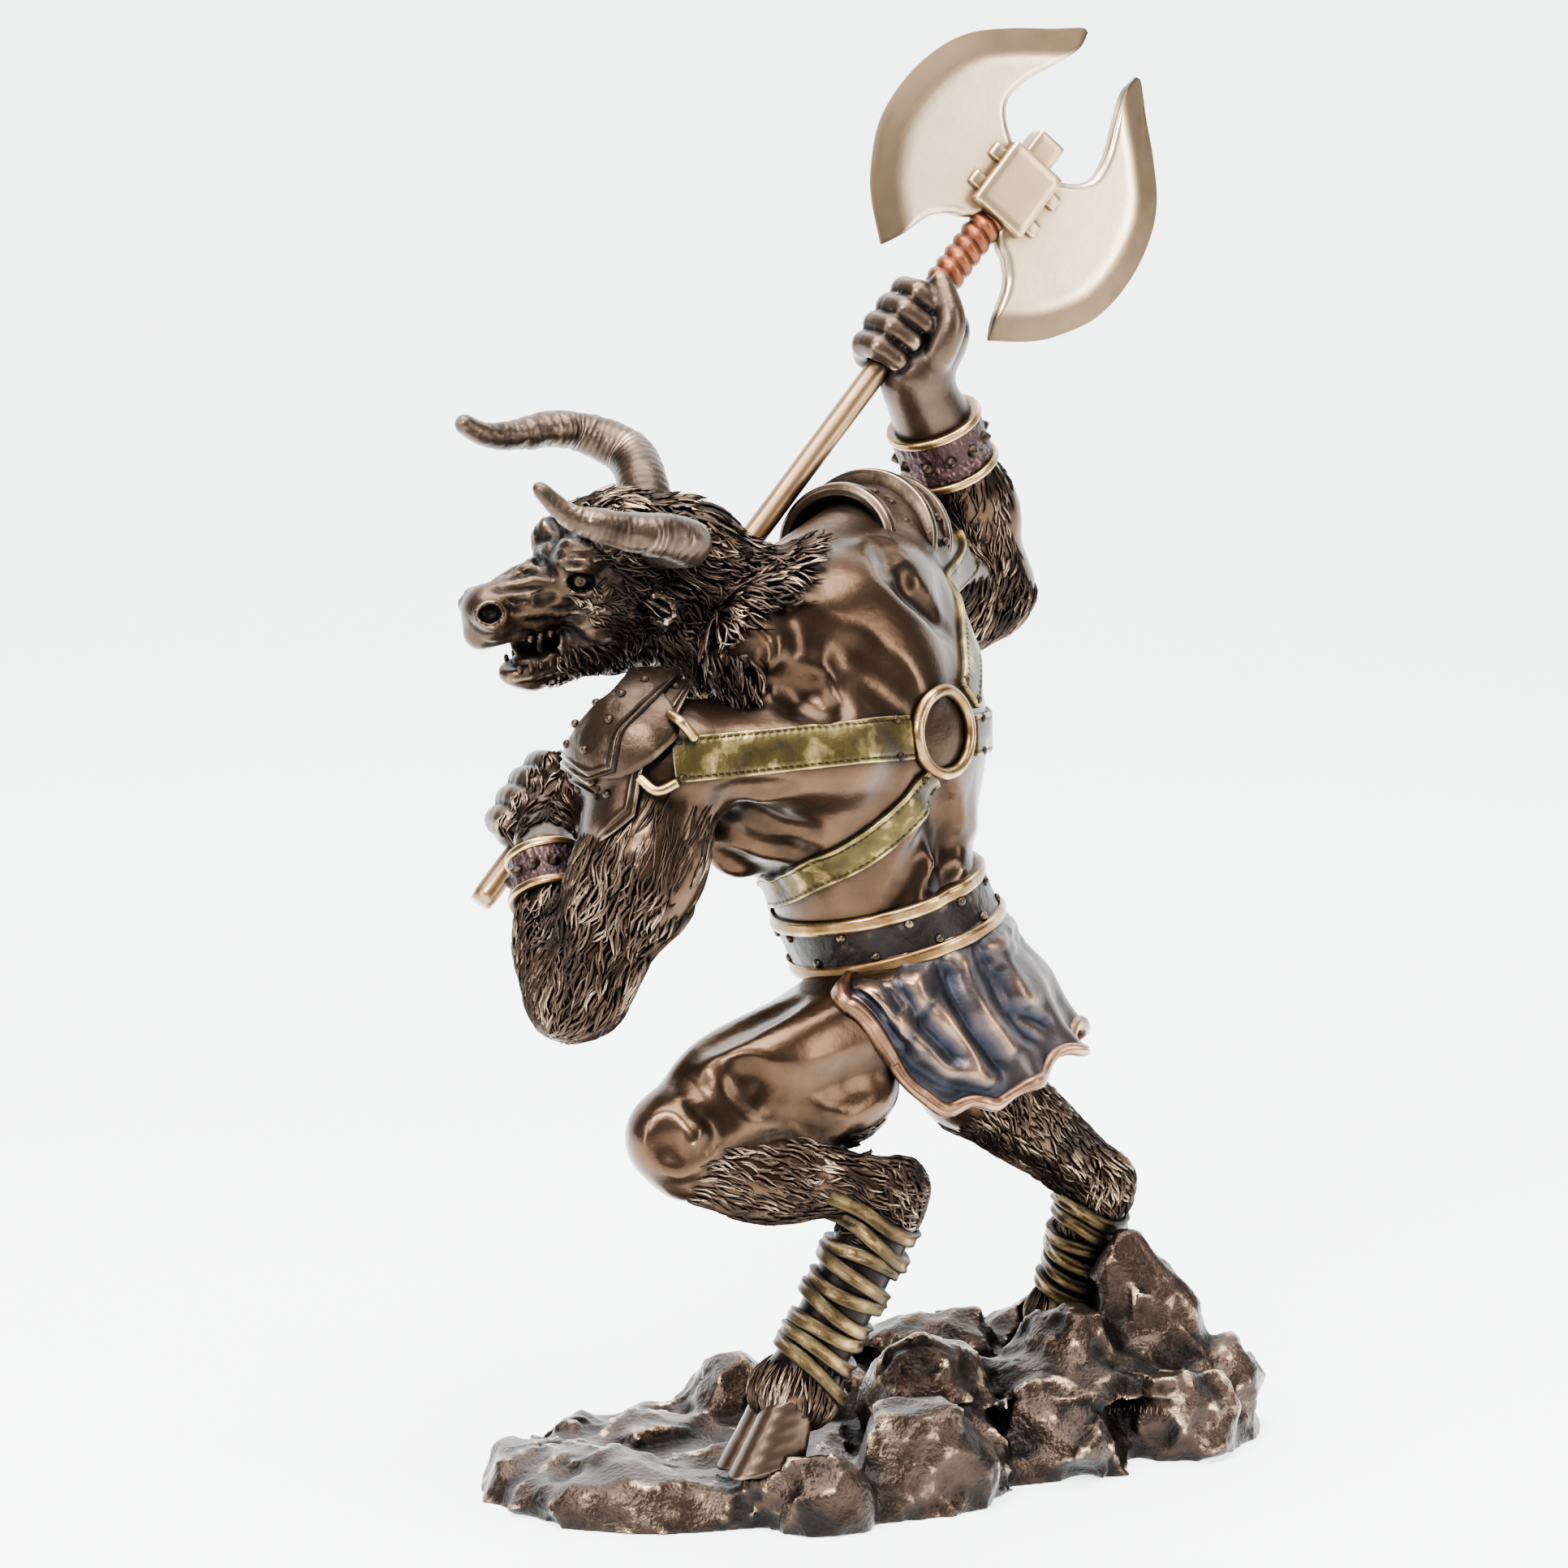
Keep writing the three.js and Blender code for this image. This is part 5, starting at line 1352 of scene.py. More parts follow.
def beside(points: Array, start: Point, end: Point) -> tuple[Array, Array]:
    """How far points lie from a line, and how far along it, 0 at its start and 1 at its end."""
    a, axis = np.asarray(start, float), np.asarray(end, float) - np.asarray(start, float)
    along = (points - a) @ axis / (axis @ axis)
    return np.linalg.norm(points - a - np.clip(along, 0, 1)[:, None] * axis, axis=1), along


def by(start: Point, end: Point, reach: float, first: float, last: float) -> Rule:
    """A rule for a fur patch: roots near a line, between two shares of its length."""

    def rule(points: Array, normals: Array) -> Array:
        distance, along = beside(points, start, end)
        along = along + 0.06 * noise(points, 5.0, 61)
        inside = 1 - ramp(reach - 1.5, reach + 1.5, distance)
        return inside * ramp(first - 0.06, first + 0.06, along) * (1 - ramp(last - 0.05, last + 0.05, along))

    return rule


def towards(*way: float) -> Rule:
    """A rule for a fur patch: all locks lie one way."""
    return lambda points, normals: np.tile(np.asarray(way, float), (len(points), 1))


def arm_fur() -> list[Fur]:
    """The arms' fur: fine strands above, deep wavy locks to the elbow, short curls on the forearm."""
    shoulder, elbow, wrist = (-43, -28, 150), (-60.5, -40.5, 107), (-66.4, -20, 130)
    far_shoulder, far_elbow, far_wrist = (6, 42, 186), (25, 69, 173), (16, 59, 206)
    return [
        Fur(by(shoulder, elbow, 15.5, 0.02, 0.42), towards(-0.3, -0.2, -0.9), 2.2, 8, 0.35, 0.1, 0.5, 11,
            shine=1.12),
        Fur(by(shoulder, elbow, 15.5, 0.34, 1.2), towards(-0.36, -0.27, -0.9), 1.9, 8, 0.6, 0.7, 1.1, 12),
        Fur(by((-63, -38, 111), wrist, 10.5, -0.2, 0.95), towards(0.05, -0.3, -1), 1.9, 5, 0.45, 0.35, 1.4,
            13, 3.0, shine=1.08),
        Fur(under(far_shoulder, far_elbow, 14), towards(-0.45, -0.2, -0.9), 2.0, 6.5, 0.55, 0.7, 0.8, 14),
        Fur(by(far_elbow, far_wrist, 11, -0.1, 0.95), towards(0.15, 0.1, -1), 2.0, 5.5, 0.38, 0.2, 0.9, 15),
    ]


def under(start: Point, end: Point, reach: float) -> Rule:
    """A rule for a fur patch: roots near a line, on the side that faces down."""
    near = by(start, end, reach, 0.25, 1.3)
    return lambda points, normals: near(points, normals) * (1 - ramp(0.0, 0.4, normals[:, 2]))


def leg_fur() -> list[Fur]:
    """The legs' fur: short locks from below the knees to the hocks, and long hair over the hooves."""
    near_hoof, far_hoof = (-16.6, -33, 17), (41.6, 46.6, 14)
    return [
        Fur(below((-36, -37, 72.5), (2, -28, 67), 11.5, 79), towards(0.95, 0.15, -0.28), 1.8, 6, 0.5, 0.25,
            0.7, 21, 3.2, shine=1.12),
        Fur(by((6, -27, 73), (2, -28, 61), 8.5, -0.3, 1.0), towards(0.35, 0, -0.9), 1.8, 5, 0.5, 0.25, 0.6,
            22, 3.2, shine=1.12),
        Fur(by((-12, -32.5, 34), near_hoof, 12, 0.0, 0.75), towards(-0.15, -0.1, -1), 1.6, 7, 0.45, 0.3,
            0.35, 23, 3.4, shine=1.08),
        Fur(by((21, 27, 79), (48, 42, 54), 12.5, -0.02, 1.1), towards(0.6, 0.3, -0.72), 1.8, 6, 0.5, 0.25,
            0.7, 24, 3.2, shine=1.08),
        Fur(by((50, 42, 56), (44, 45, 42), 8.5, -0.2, 0.8), towards(-0.2, 0.1, -0.95), 1.8, 5, 0.5, 0.25,
            0.5, 25, 3.2, shine=1.08),
        Fur(by((42.6, 45.6, 30), far_hoof, 11, 0.0, 0.75), towards(-0.15, 0, -1), 1.7, 7, 0.45, 0.3, 0.35,
            26, 3.4, shine=1.1),
    ]


def below(start: Point, end: Point, reach: float, top: float) -> Rule:
    """A rule for a fur patch: roots near a line and under a height."""
    near = by(start, end, reach, -0.08, 1.2)
    return lambda points, normals: near(points, normals) * (1 - ramp(top - 1.5, top + 1.5, points[:, 2]))


MANE_EDGE = ((160, -50), (168, -44), (174, -38), (180, -33), (184, -26), (188, -18), (193, -15), (205, -18))


def mane_rule(points: Array, normals: Array) -> Array:
    """Roots of the mane: behind the brow and the ears, up to a ragged edge on the shoulder."""
    local = head_local(points)
    heights, edge = np.array(MANE_EDGE, float).T
    ragged = 2.5 * noise(points, 5.0, 60)
    behind = (local[:, 0] < 1 + 0.5 * local[:, 2]) | (local[:, 0] < -6)
    past = points[:, 0] - np.interp(points[:, 2], heights, edge) - ragged
    return behind * (1 - ramp(-2, 2, past)) * ramp(158, 161, points[:, 2])


def mane_flow(points: Array, normals: Array) -> Array:
    """The mane lies back over the neck, and turns down below the ears."""
    low = 1 - ramp(172, 190, points[:, 2])
    flow = np.stack([0.95 - 0.55 * low, 0.02 * np.ones(len(points)), -0.3 - 0.75 * low], 1)
    return flow


def face_rule(points: Array, normals: Array) -> Array:
    """Roots of the short hair on the cheeks, between the eye, the mouth and the ear."""
    f, l, u = head_local(points).T
    return (f > -9) & (f < 12.5 + 0.5 * u) & (u < 1.5) & (u > -12) & (np.abs(l) > 4.6)


def beard_rule(points: Array, normals: Array) -> Array:
    """Roots of the beard, under the jaw and the throat."""
    f, l, u = head_local(points).T
    return (f > -16) & (f < 16) & (u < -9.5 - 0.12 * f) & (normals @ HEAD_UP < 0.55)


def poll_rule(points: Array, normals: Array) -> Array:
    """Roots of the tuft between the horns."""
    f, l, u = head_local(points).T
    return (f > -6) & (f < 7.5) & (u > 8) & (normals @ HEAD_UP > -0.2)


def head_fur() -> list[Fur]:
    """The head's fur, from the finest to the longest."""
    back = tuple(-HEAD_FORE)
    return [
        Fur(face_rule, towards(*(unit(back) - 0.35 * HEAD_UP)), 1.45, 4.2, 0.36, 0.4, 1.2, 31, 3.0),
        Fur(beard_rule, towards(0.5, 0, -1), 1.75, 6.5, 0.5, 0.9, 1.0, 32, 3.4),
        Fur(mane_rule, mane_flow, 1.75, 8.0, 0.5, 0.7, 1.0, 33),
        Fur(mane_rule, mane_flow, 2.2, 10.0, 0.55, 1.9, 1.1, 34, 5.0),
        Fur(poll_rule, towards(0.8, 0.15, 0.25), 1.8, 6.5, 0.45, 1.1, 1.1, 35),
    ]


# The figure's skin


def furred(name: str, made: Sculpt, patches: Sequence[Fur]) -> Sculpt:
    """Lays fur on a part and streaks the skin between its locks; gives back the part as it was."""
    bare = made.copy()
    coat(name, bare, made.copy().skin(), patches)
    for patch in patches:
        made.comb(patch)
    return bare


def build_trunk(trunk: Trunk) -> Sculpt:
    """Makes the trunk and the arms, and gives back their bare form."""
    made = trunk.carve()
    bare = furred("arm_fur", made, arm_fur())
    made.trim((BELT_CENTRE - np.array([0, 0, 11.0]), -WAIST_UP), ((-38, 0, 0), (1, 0, 0)))
    skin = made.skin()
    piece("torso", skin, SKIN, made.painted_light_and_wear(skin))
    return bare


def build_legs(legs: Legs) -> Sculpt:
    """Makes the hips and the legs, with painted shade on the skin where the shins are wrapped, and gives back
    their bare form.
    """
    made = legs.carve()
    bare = furred("leg_fur", made, leg_fur())
    skin = made.skin()
    painted_light_and_wear = made.painted_light_and_wear(skin)
    for start, end in SHINS:
        distance, along = beside(skin.points, start, end)
        # Painted shade on the skin under the wraps.
        painted_light_and_wear *= 1 - 0.6 * (distance < 12) * ramp(-0.1, 0.1, along) * (1 - ramp(0.9, 1.1, along))
    piece("legs", skin, SKIN, painted_light_and_wear)
    return bare


def build_head(head: Head, trunk: Trunk) -> None:
    """Makes the head; the mane also roots on the shoulders, which are kept just under the trunk's skin."""
    made = head.carve()
    shoulders = Sculpt(head.low, head.high, head.step)
    shoulders.add(trunk.trunk)
    ground = made.copy()
    ground.field = np.minimum(made.field, shoulders.field)
    guide = ground.copy().skin()
    for patch in head_fur():
        made.comb(patch)
    ear = made.seen([EAR])[0]
    far_ear = head_point(head_local(ear) * (1, -1, 1))
    coat("mane", ground, guide, head_fur(), (ear, far_ear))
    made.field = np.minimum(made.field, shoulders.field + 3.0)
    made.trim(((-30, 0, 170), (0.55, 0, -0.83)))
    skin = made.skin()
    piece("head", skin, HIDE, made.painted_light_and_wear(skin, 0.9, 2.6, 0.4))


# Fists, hooves and horns

SHAFT_FOOT = np.array([-81.0, -6.0, 122.0])
SHAFT_HEAD = np.array([28.5, 64.0, 262.0])
SHAFT_AXES = frame_of(SHAFT_HEAD - SHAFT_FOOT, (0, -0.988, 0.156))
SHAFT_RADIUS = 2.6
GRIP_FROM = 165.8


def shaft_point(along: float, face: float = 0.0, side: float = 0.0) -> Array:
    """A place given along, face and side of the shaft's foot."""
    return SHAFT_FOOT + np.array([along, face, side]) @ SHAFT_AXES


@dataclass
class Fist:
    """A hand closed round the shaft. Places are along the shaft, face and side, from its middle finger.

    Attributes:
        name: the piece's name.
        at: where on the shaft the fist is.
        pitch: the distance between fingers.
        finger: the route of a finger round the shaft, as face and side.
        radii: a finger's radius at each place of the route.
        palm: face and side of the palm's middle.
        palm_size: its half length, half width and half thickness.
        thumb: the thumb's route.
        thumb_radii: its radius at each place.
        wrist: where the forearm ends.
        skin_fur: the hair on its back, if it has any.
        step: the sculpt's step.
    """

    name: str
    at: float
    pitch: float
    finger: tuple[tuple[float, float], ...]
    radii: tuple[float, ...]
    palm: tuple[float, float]
    palm_size: tuple[float, float, float]
    thumb: tuple[Point, ...]
    thumb_radii: tuple[float, ...]
    wrist: Bone
    skin_fur: Fur | None = None
    step: float = 0.6

    def build(self) -> None:
        """Carves the fist and makes its piece."""
        middle = shaft_point(self.at)
        made = Sculpt(middle - 30, middle + 30, self.step)
        made.bone(self.wrist)
        palm_half, wide, thick = self.palm_size
        ends = [shaft_point(self.at + s * palm_half, *self.palm) for s in (-1, 1)]
        made.mass(Mass(ends[0], ends[1], wide, thick, SHAFT_AXES[1], 3.0))
        for number, lean in zip((-1.5, -0.5, 0.5, 1.5), (0.9, 1.0, 1.02, 0.94)):
            self.one_finger(made, self.at + number * self.pitch, lean)
        thumb = smooth_path([shaft_point(self.at + a, f, s) for a, f, s in self.thumb], 9)
        made.strand(thumb, smooth_path(self.thumb_radii, 9)[:, 0], 0.9)
        if self.skin_fur:
            guide = made.copy()
            coat(self.name + "_fur", guide, guide.skin(), [self.skin_fur])
        for start, end, radius in ((-40, 60, SHAFT_RADIUS + 0.35), (GRIP_FROM - self.at, 40, 4.5)):
            if start < 40:
                passage = Bone(shaft_point(self.at + start), shaft_point(self.at + end), radius, radius, 0,
                               True)
                made.bone(passage)
        skin = made.skin()
        piece(self.name, skin, KNUCKLES, made.painted_light_and_wear(skin, 0.9, 2.4))

    def one_finger(self, made: Sculpt, along: float, lean: float) -> None:
        """Carves one finger: a bent rod with swollen knuckles and a crease between the joints."""
        route = [shaft_point(along, face * lean, side * lean) for face, side in self.finger]
        path = smooth_path(route, 13)
        swell = 1 + 0.07 * np.cos(np.linspace(0, len(self.finger) - 1, 13) * TAU)
        made.strand(path, smooth_path(self.radii, 13)[:, 0] * swell, 0.35)


NEAR_FIST = Fist(
    "near_fist",
    23.5,
    4.7,
    ((5.2, 3), (6, -5), (0.5, -7.6), (-5.2, -4), (-5.4, 3)),
    (2.9, 3.1, 3.0, 2.7, 2.2),
    (6.2, 1.5),
    (11, 7.5, 4.6),
    ((-6, 5, 6), (3, 1, 7), (9, -3, 5)),
    (3.5, 3.1, 2.4),
    Bone((-67, -17, 133), shaft_point(19.5, 8, 2), 6.4, 5.6, 4),
    Fur(by(shaft_point(10, 9, 2), shaft_point(36, 9, 2), 9, -0.2, 1.2), towards(0.2, -0.2, 1), 2.2, 5, 0.5,
        0.4, 0.8, 41),
)
FAR_FIST = Fist(
    "far_fist",
    153,
    4.9,
    ((-5.4, 0.5), (-4.4, -4), (1, -5.6), (5.2, -2.6), (5.4, 2.4)),
    (2.8, 2.9, 2.85, 2.75, 2.3),
    (-3, 7.4),
    (12, 6, 7.6),
    ((-1, 3, 8.5), (6, 6, 6.5), (12, 5.4, 0)),
    (3.5, 3.1, 2.4),
    Bone((14.2, 57, 212), shaft_point(147, -2, 6.5), 8.8, 7.0, 4),
)


@dataclass
class Hoof:
    """A cloven hoof: two claws that widen towards the sole.

    Attributes:
        name: the piece's name.
        top: the middle of its upper end.
        sole: the middle of its lower end.
        toe: the way it points.
        spread: half the distance between the claws' middles.
    """

    name: str
    top: Point
    sole: Point
    toe: Point
    spread: float = 3.9
    long: tuple[float, ...] = (5.2, 6.8, 8.4)
    wide: tuple[float, ...] = (4.0, 4.5, 5.0)
    fore: tuple[float, ...] = (0.4, 1.4, 2.8)
    rows: int = 32
    sides: int = 44

    def pockets(self) -> list[Bone]:
        """The room that the claws need in the rock."""
        toe = unit(self.toe)
        across = unit(np.cross(toe, UP))
        top, sole = np.asarray(self.top, float), np.asarray(self.sole, float) + (0, 0, 4.0)
        shifts = [across * side * self.spread + toe * fore for side in (1, -1) for fore in (-2.0, 1.5, 4.5)]
        return [Bone(top + shift, sole + shift, 4.9, 5.6, 0.4, True) for shift in shifts]

    def build(self) -> None:
        """Makes both claws: rings from top to sole, squarer than an ellipse, with growth lines."""
        top, sole = np.asarray(self.top, float), np.asarray(self.sole, float)
        toe = unit(self.toe)
        across = unit(np.cross(toe, UP))
        turn = turns(self.sides)
        t = np.linspace(0, 1, self.rows)
        long, wide, fore = (smooth_path(values, self.rows)[:, 0] for values in (self.long, self.wide,
                                                                                self.fore))
        close = np.clip(np.minimum(t / 0.06, (1 - t) / 0.05), 0, 1)
        close = 0.75 + 0.25 * np.sqrt(1 - (1 - close) ** 2)
        claws = []
        for side in (1, -1):
            centre = top + t[:, None] * (sole - top) + toe * fore[:, None]
            centre = centre + across * (side * self.spread * (0.85 + 0.15 * t))[:, None]
            cosine, sine = np.cos(turn), np.sin(turn)
            squared = (np.abs(cosine) ** 2.4 + np.abs(sine) ** 2.4) ** (-1 / 2.4)
            lines = 0.03 * np.sin(t * 34)[:, None] + 0.05 * noise(
                np.stack([np.tile(turn * 6, self.rows), np.repeat(t * 2, self.sides),
                          np.full(self.rows * self.sides, side)], 1),
                0.5, 70,
            ).reshape(self.rows, self.sides)
            out = squared[None] * close[:, None]
            rings = centre[:, None] + toe * ((long[:, None] + lines) * cosine * out)[..., None]
            rings = rings + across * ((wide[:, None] + lines) * sine * out)[..., None]
            claws.append(outward(capped(rings)))
        hoof = merged(claws)
        piece(self.name, hoof, HOOF, np.clip(edge_light_and_wear(hoof), 0.4, 0.68))


@dataclass
class Horn:
    """A horn: its route from root to tip, the radius at each place, and its relief."""

    name: str
    route: tuple[Point, ...]
    radii: tuple[float, ...]
    seed: int
    ring_step: float = 1.5
    ring_height: float = 0.05
    tip_from: float = 0.965

    def build(self) -> None:
        """Makes the horn: fine rings from the root, uneven notches in the middle, fine pits along it, and a
        smooth rounded tip.
        """
        rows, sides = 230, 38
        path = smooth_path(self.route, rows)
        radii = smooth_path(self.radii, rows)[:, 0]
        rounding = np.clip((np.linspace(0, 1, rows) - self.tip_from) / (1 - self.tip_from), 0, 0.999)
        radii = radii * np.sqrt(1 - rounding**2)
        length = float(np.linalg.norm(np.diff(path, axis=0), axis=1).sum())

        def relief(along: Array, turn: Array) -> Array:
            share = along / length
            place = np.stack([np.cos(turn) * 4, np.sin(turn) * 4, along], -1).reshape(-1, 3)
            shape = along.shape
            drift = noise(place, 3.5, self.seed).reshape(shape)
            fine = noise(place, 0.9, self.seed + 1).reshape(shape)
            rings = np.sin(TAU * (along + 0.9 * drift) / self.ring_step + 0.6 * np.sin(turn))
            notches = -np.clip(noise(place * (0.5, 0.5, 1.6), 2.0, self.seed + 2), 0, 1).reshape(shape)
            root, mid = 1 - ramp(0.5, 0.75, share), ramp(0.3, 0.5, share) * (1 - ramp(0.8, 0.97, share))
            lump = 0.3 * drift * mid + 0.32 * notches * mid
            tip = 1 - ramp(0.9, 0.97, share)
            return (self.ring_height * rings * (0.3 + 0.7 * root) + lump + 0.06 * fine) * tip

        horn = tube(path, radii, sides, relief)
        piece(self.name, horn, HORN, 0.86 * edge_light_and_wear(horn))


NEAR_HOOF = Hoof("near_hoof", (-18, -34, 27), (-21, -36, 12.5), (-0.93, -0.3, -0.22))
FAR_HOOF = Hoof("far_hoof", (41, 47, 22), (39, 47, 11), (-0.97, 0.1, -0.2))
FAR_HORN = Horn(
    "far_horn",
    ((-46, -1, 197), (-47.5, 6, 206.5), (-51, 14, 212.5), (-60.5, 16, 216.5), (-67, 12, 217.5),
     (-73.5, 7, 217),
     (-79.5, 2, 217.5), (-85, -3, 221)),
    (5.4, 5.2, 5, 4.3, 3.8, 3.1, 2.6, 1.9),
    80,
)
NEAR_HORN = Horn(
    "near_horn",
    ((-46, -12, 196.4), (-40, -24, 198.4), (-38, -30.5, 199.2), (-41.5, -35, 200.8), (-47, -38, 202),
     (-55, -41, 204),
     (-61, -42.5, 206), (-68, -43, 212.5)),
    (5.2, 5, 4.8, 4.6, 4.2, 3.4, 2.5, 1.5),
    90,
)


def build_face() -> None:
    """Makes the eyes, each with a ring round its pupil, and the rows of teeth."""
    eyes = []
    for side in (1, -1):
        centre, out = head_point((9.6, side * 8.6, 3.7)), unit((0.42, side, -0.02) @ HEAD_AXES)
        profile = [(-0.6, 1.45), (0.4, 1.4), (0.9, 1.1), (1.15, 0.75), (0.95, 0.62), (1.0, 0.4), (1.25, 0.3),
                   (1.3, 0.08)]
        eyes.append(lathe(centre, out, profile, 28))
    balls = merged(eyes)
    piece("eyes", balls, ARMOUR, 0.55)
    teeth = []
    for side in (1, -1):
        for number in range(5):
            f = 15.5 + 2.1 * number
            l = side * float(np.interp(f, [15, 22, 28], [5.4, 4.6, 1.8]))
            low = float(np.interp(f, [15, 27], [-13.4, -13.6]))
            teeth.append(dome(head_point((f, l, low)), HEAD_UP, 0.6, 1.0 + 0.5 * (number % 2)))
            if number < 3:
                teeth.append(dome(head_point((f + 1.2, l, -6.9)), -HEAD_UP, 0.6, 1.2))
    rows = merged(teeth)
    piece("teeth", rows, ARMOUR, 0.6)


# What is worn


def looped(grid: Array) -> Skin:
    """A skin over a grid of points, rows x columns x 3, that closes on itself both ways."""
    rows, columns, _ = grid.shape
    row, column = np.mgrid[0:rows, 0:columns]
    a, b = row * columns + column, row * columns + (column + 1) % columns
    c, d = (row + 1) % rows * columns + (column + 1) % columns, (row + 1) % rows * columns + column
    return outward(Skin(grid.reshape(-1, 3), [np.stack([a, b, c, d], -1).reshape(-1, 4)]))


def rounded_bar(low: float, high: float, proud: float, sink: float, round_off: float = 0.5) -> Array:
    """The outline of a bar with rounded outer corners: rows of height and proudness, all the way round."""
    turn = np.linspace(0, math.pi / 2, 5)
    r = round_off
    upper = np.stack([high - r + r * np.cos(turn[::-1]), proud - r + r * np.sin(turn[::-1])], 1)
    lower = np.stack([low + r - r * np.cos(turn), proud - r + r * np.sin(turn)], 1)
    face = np.linspace(lower[-1], upper[0], 7)[1:-1]
    return np.vstack([[low, -sink], lower, face, upper, [high, -sink]])


def hoop(
    centre: Array, out: Array, up: Array, profile: Array, relief: Rule | None = None
) -> Skin:
    """A closed band: an outline swept round, each outline at its own centre, out and up.

    Args:
        centre: rows of places on what the band lies on.
        out: the way out at each.
        up: the way across the band at each.
        profile: rows of height and proudness.
        relief: added proudness from the row's number and the height, as whole arrays.
    """
    heights = np.repeat(profile[None, :, 0], len(centre), 0)
    proud = np.repeat(profile[None, :, 1], len(centre), 0)
    if relief is not None:
        rows = np.repeat(np.arange(len(centre))[:, None], len(profile), 1)
        proud = proud + np.where(proud > 0, relief(rows, heights), 0)
    return looped(centre[:, None] + up[:, None] * heights[..., None] + out[:, None] * proud[..., None])


def ring_round(start: Point, end: Point, share: float, radius: float, count: int) -> tuple[Array, Array,
                                                                                           Array]:
    """Places, ways out and ways along for a hoop round the line between two points."""
    axes = frame_of(np.asarray(end, float) - start, UP)
    turn = turns(count)
    out = np.cos(turn)[:, None] * axes[1] + np.sin(turn)[:, None] * axes[2]
    centre = np.asarray(start, float) + share * (np.asarray(end, float) - start) + out * radius
    return centre, out, np.tile(axes[0], (count, 1))


@dataclass
class Bracer:
    """A cuff round a forearm: a pitted band with cone studs between two gold rims."""

    name: str
    start: Point
    end: Point
    radius: float
    radius_end: float
    studs: int = 11
    rim: float = 1.3
    rim_width: float = 1.9

    def build(self) -> None:
        """Makes the band, its studs and the rims."""
        length = float(np.linalg.norm(np.asarray(self.end, float) - self.start))
        rims = []
        for low, high, radius in ((0, self.rim_width, self.radius),
                                  (length - self.rim_width, length, self.radius_end)):
            place = ring_round(self.start, self.end, 0, radius, 90)
            rims.append(hoop(*place, rounded_bar(low, high, self.rim, 3.0, 0.6)))
        piece(self.name + "_rims", merged(rims), GOLD)
        count = 190
        place = ring_round(self.start, self.end, 0, (self.radius + self.radius_end) / 2, count)
        heights = np.linspace(self.rim_width - 0.3, length - self.rim_width + 0.3, 18)
        profile = np.vstack([[heights[0], -3], np.stack([heights, np.full(18, 0.45)], 1), [heights[-1], -3]])

        def pits(rows: Array, height: Array) -> Array:
            turn = rows / count * TAU
            spots = np.stack([np.cos(turn) * self.radius, np.sin(turn) * self.radius, height],
                             -1).reshape(-1, 3)
            return 0.28 * noise(spots, 0.55, 5).reshape(rows.shape)

        band = hoop(*place, profile, pits)
        piece(self.name + "_band", band, MAROON)
        centre, out, up = ring_round(self.start, self.end, 0.5, (self.radius + self.radius_end) / 2 + 0.3,
                                     self.studs)
        cone = [(-0.6, 1.5), (0.1, 1.5), (0.6, 1.25), (1.1, 0.8), (1.6, 0.2)]
        studs = merged(lathe(c, o, cone, 12) for c, o in zip(centre, out))
        piece(self.name + "_studs", studs, ARMOUR, 0.5)


@dataclass
class Wraps:
    """Cloth wound round a shin: overlapping turns, each a soft band at its own lean."""

    name: str
    start: Point
    end: Point
    leans: tuple[float, ...]
    width: float = 3.3
    proud: float = 1.5
    seed: int = 3

    def build(self, leg: Sculpt) -> None:
        """Lays each turn on the leg's skin and makes the piece."""
        start, end = np.asarray(self.start, float), np.asarray(self.end, float)
        axes = frame_of(end - start, (1, 0, 0))
        count = 84
        turn = turns(count)
        bands, band_light = [], []
        for number, lean in enumerate(self.leans):
            share = (number + 0.5) / len(self.leans)
            middle = start + share * (end - start)
            out = round_ways(axes, turn)
            slant = lean * np.cos(turn) * 7.5 + 0.5 * np.sin(turn * 2 + number)
            origin = middle + axes[0] * slant[:, None]
            skin = leg.cast(origin, out, 14)
            lift = 0.25 * np.sin(turn + number * 2.1) + 0.3 * (number % 2)
            up = np.tile(axes[0], (count, 1))
            profile = rounded_bar(-self.width / 2, self.width / 2, self.proud, 2.5, 1.0)

            def cloth(rows: Array, height: Array, number: int = number) -> Array:
                place = np.stack([np.cos(rows / count * TAU) * 7, height * 2.5,
                                  np.sin(rows / count * TAU) * 7], -1)
                soft = noise(place.reshape(-1, 3), 2.4, self.seed + number).reshape(rows.shape)
                return 0.32 * soft - 0.25 * np.cos(height / self.width * TAU)

            bands.append(hoop(skin + out * lift[:, None], out, up, profile, cloth))
            # Painted highlight along each band's middle, painted shade towards its edges.
            middle_share = 1 - np.clip(np.abs(profile[:, 0]) * 2 / self.width, 0, 1) ** 2
            band_light.append(np.tile(0.3 + 0.36 * middle_share * (profile[:, 1] > 0), count))
        piece(self.name, merged(bands), WRAP, np.concatenate(band_light))


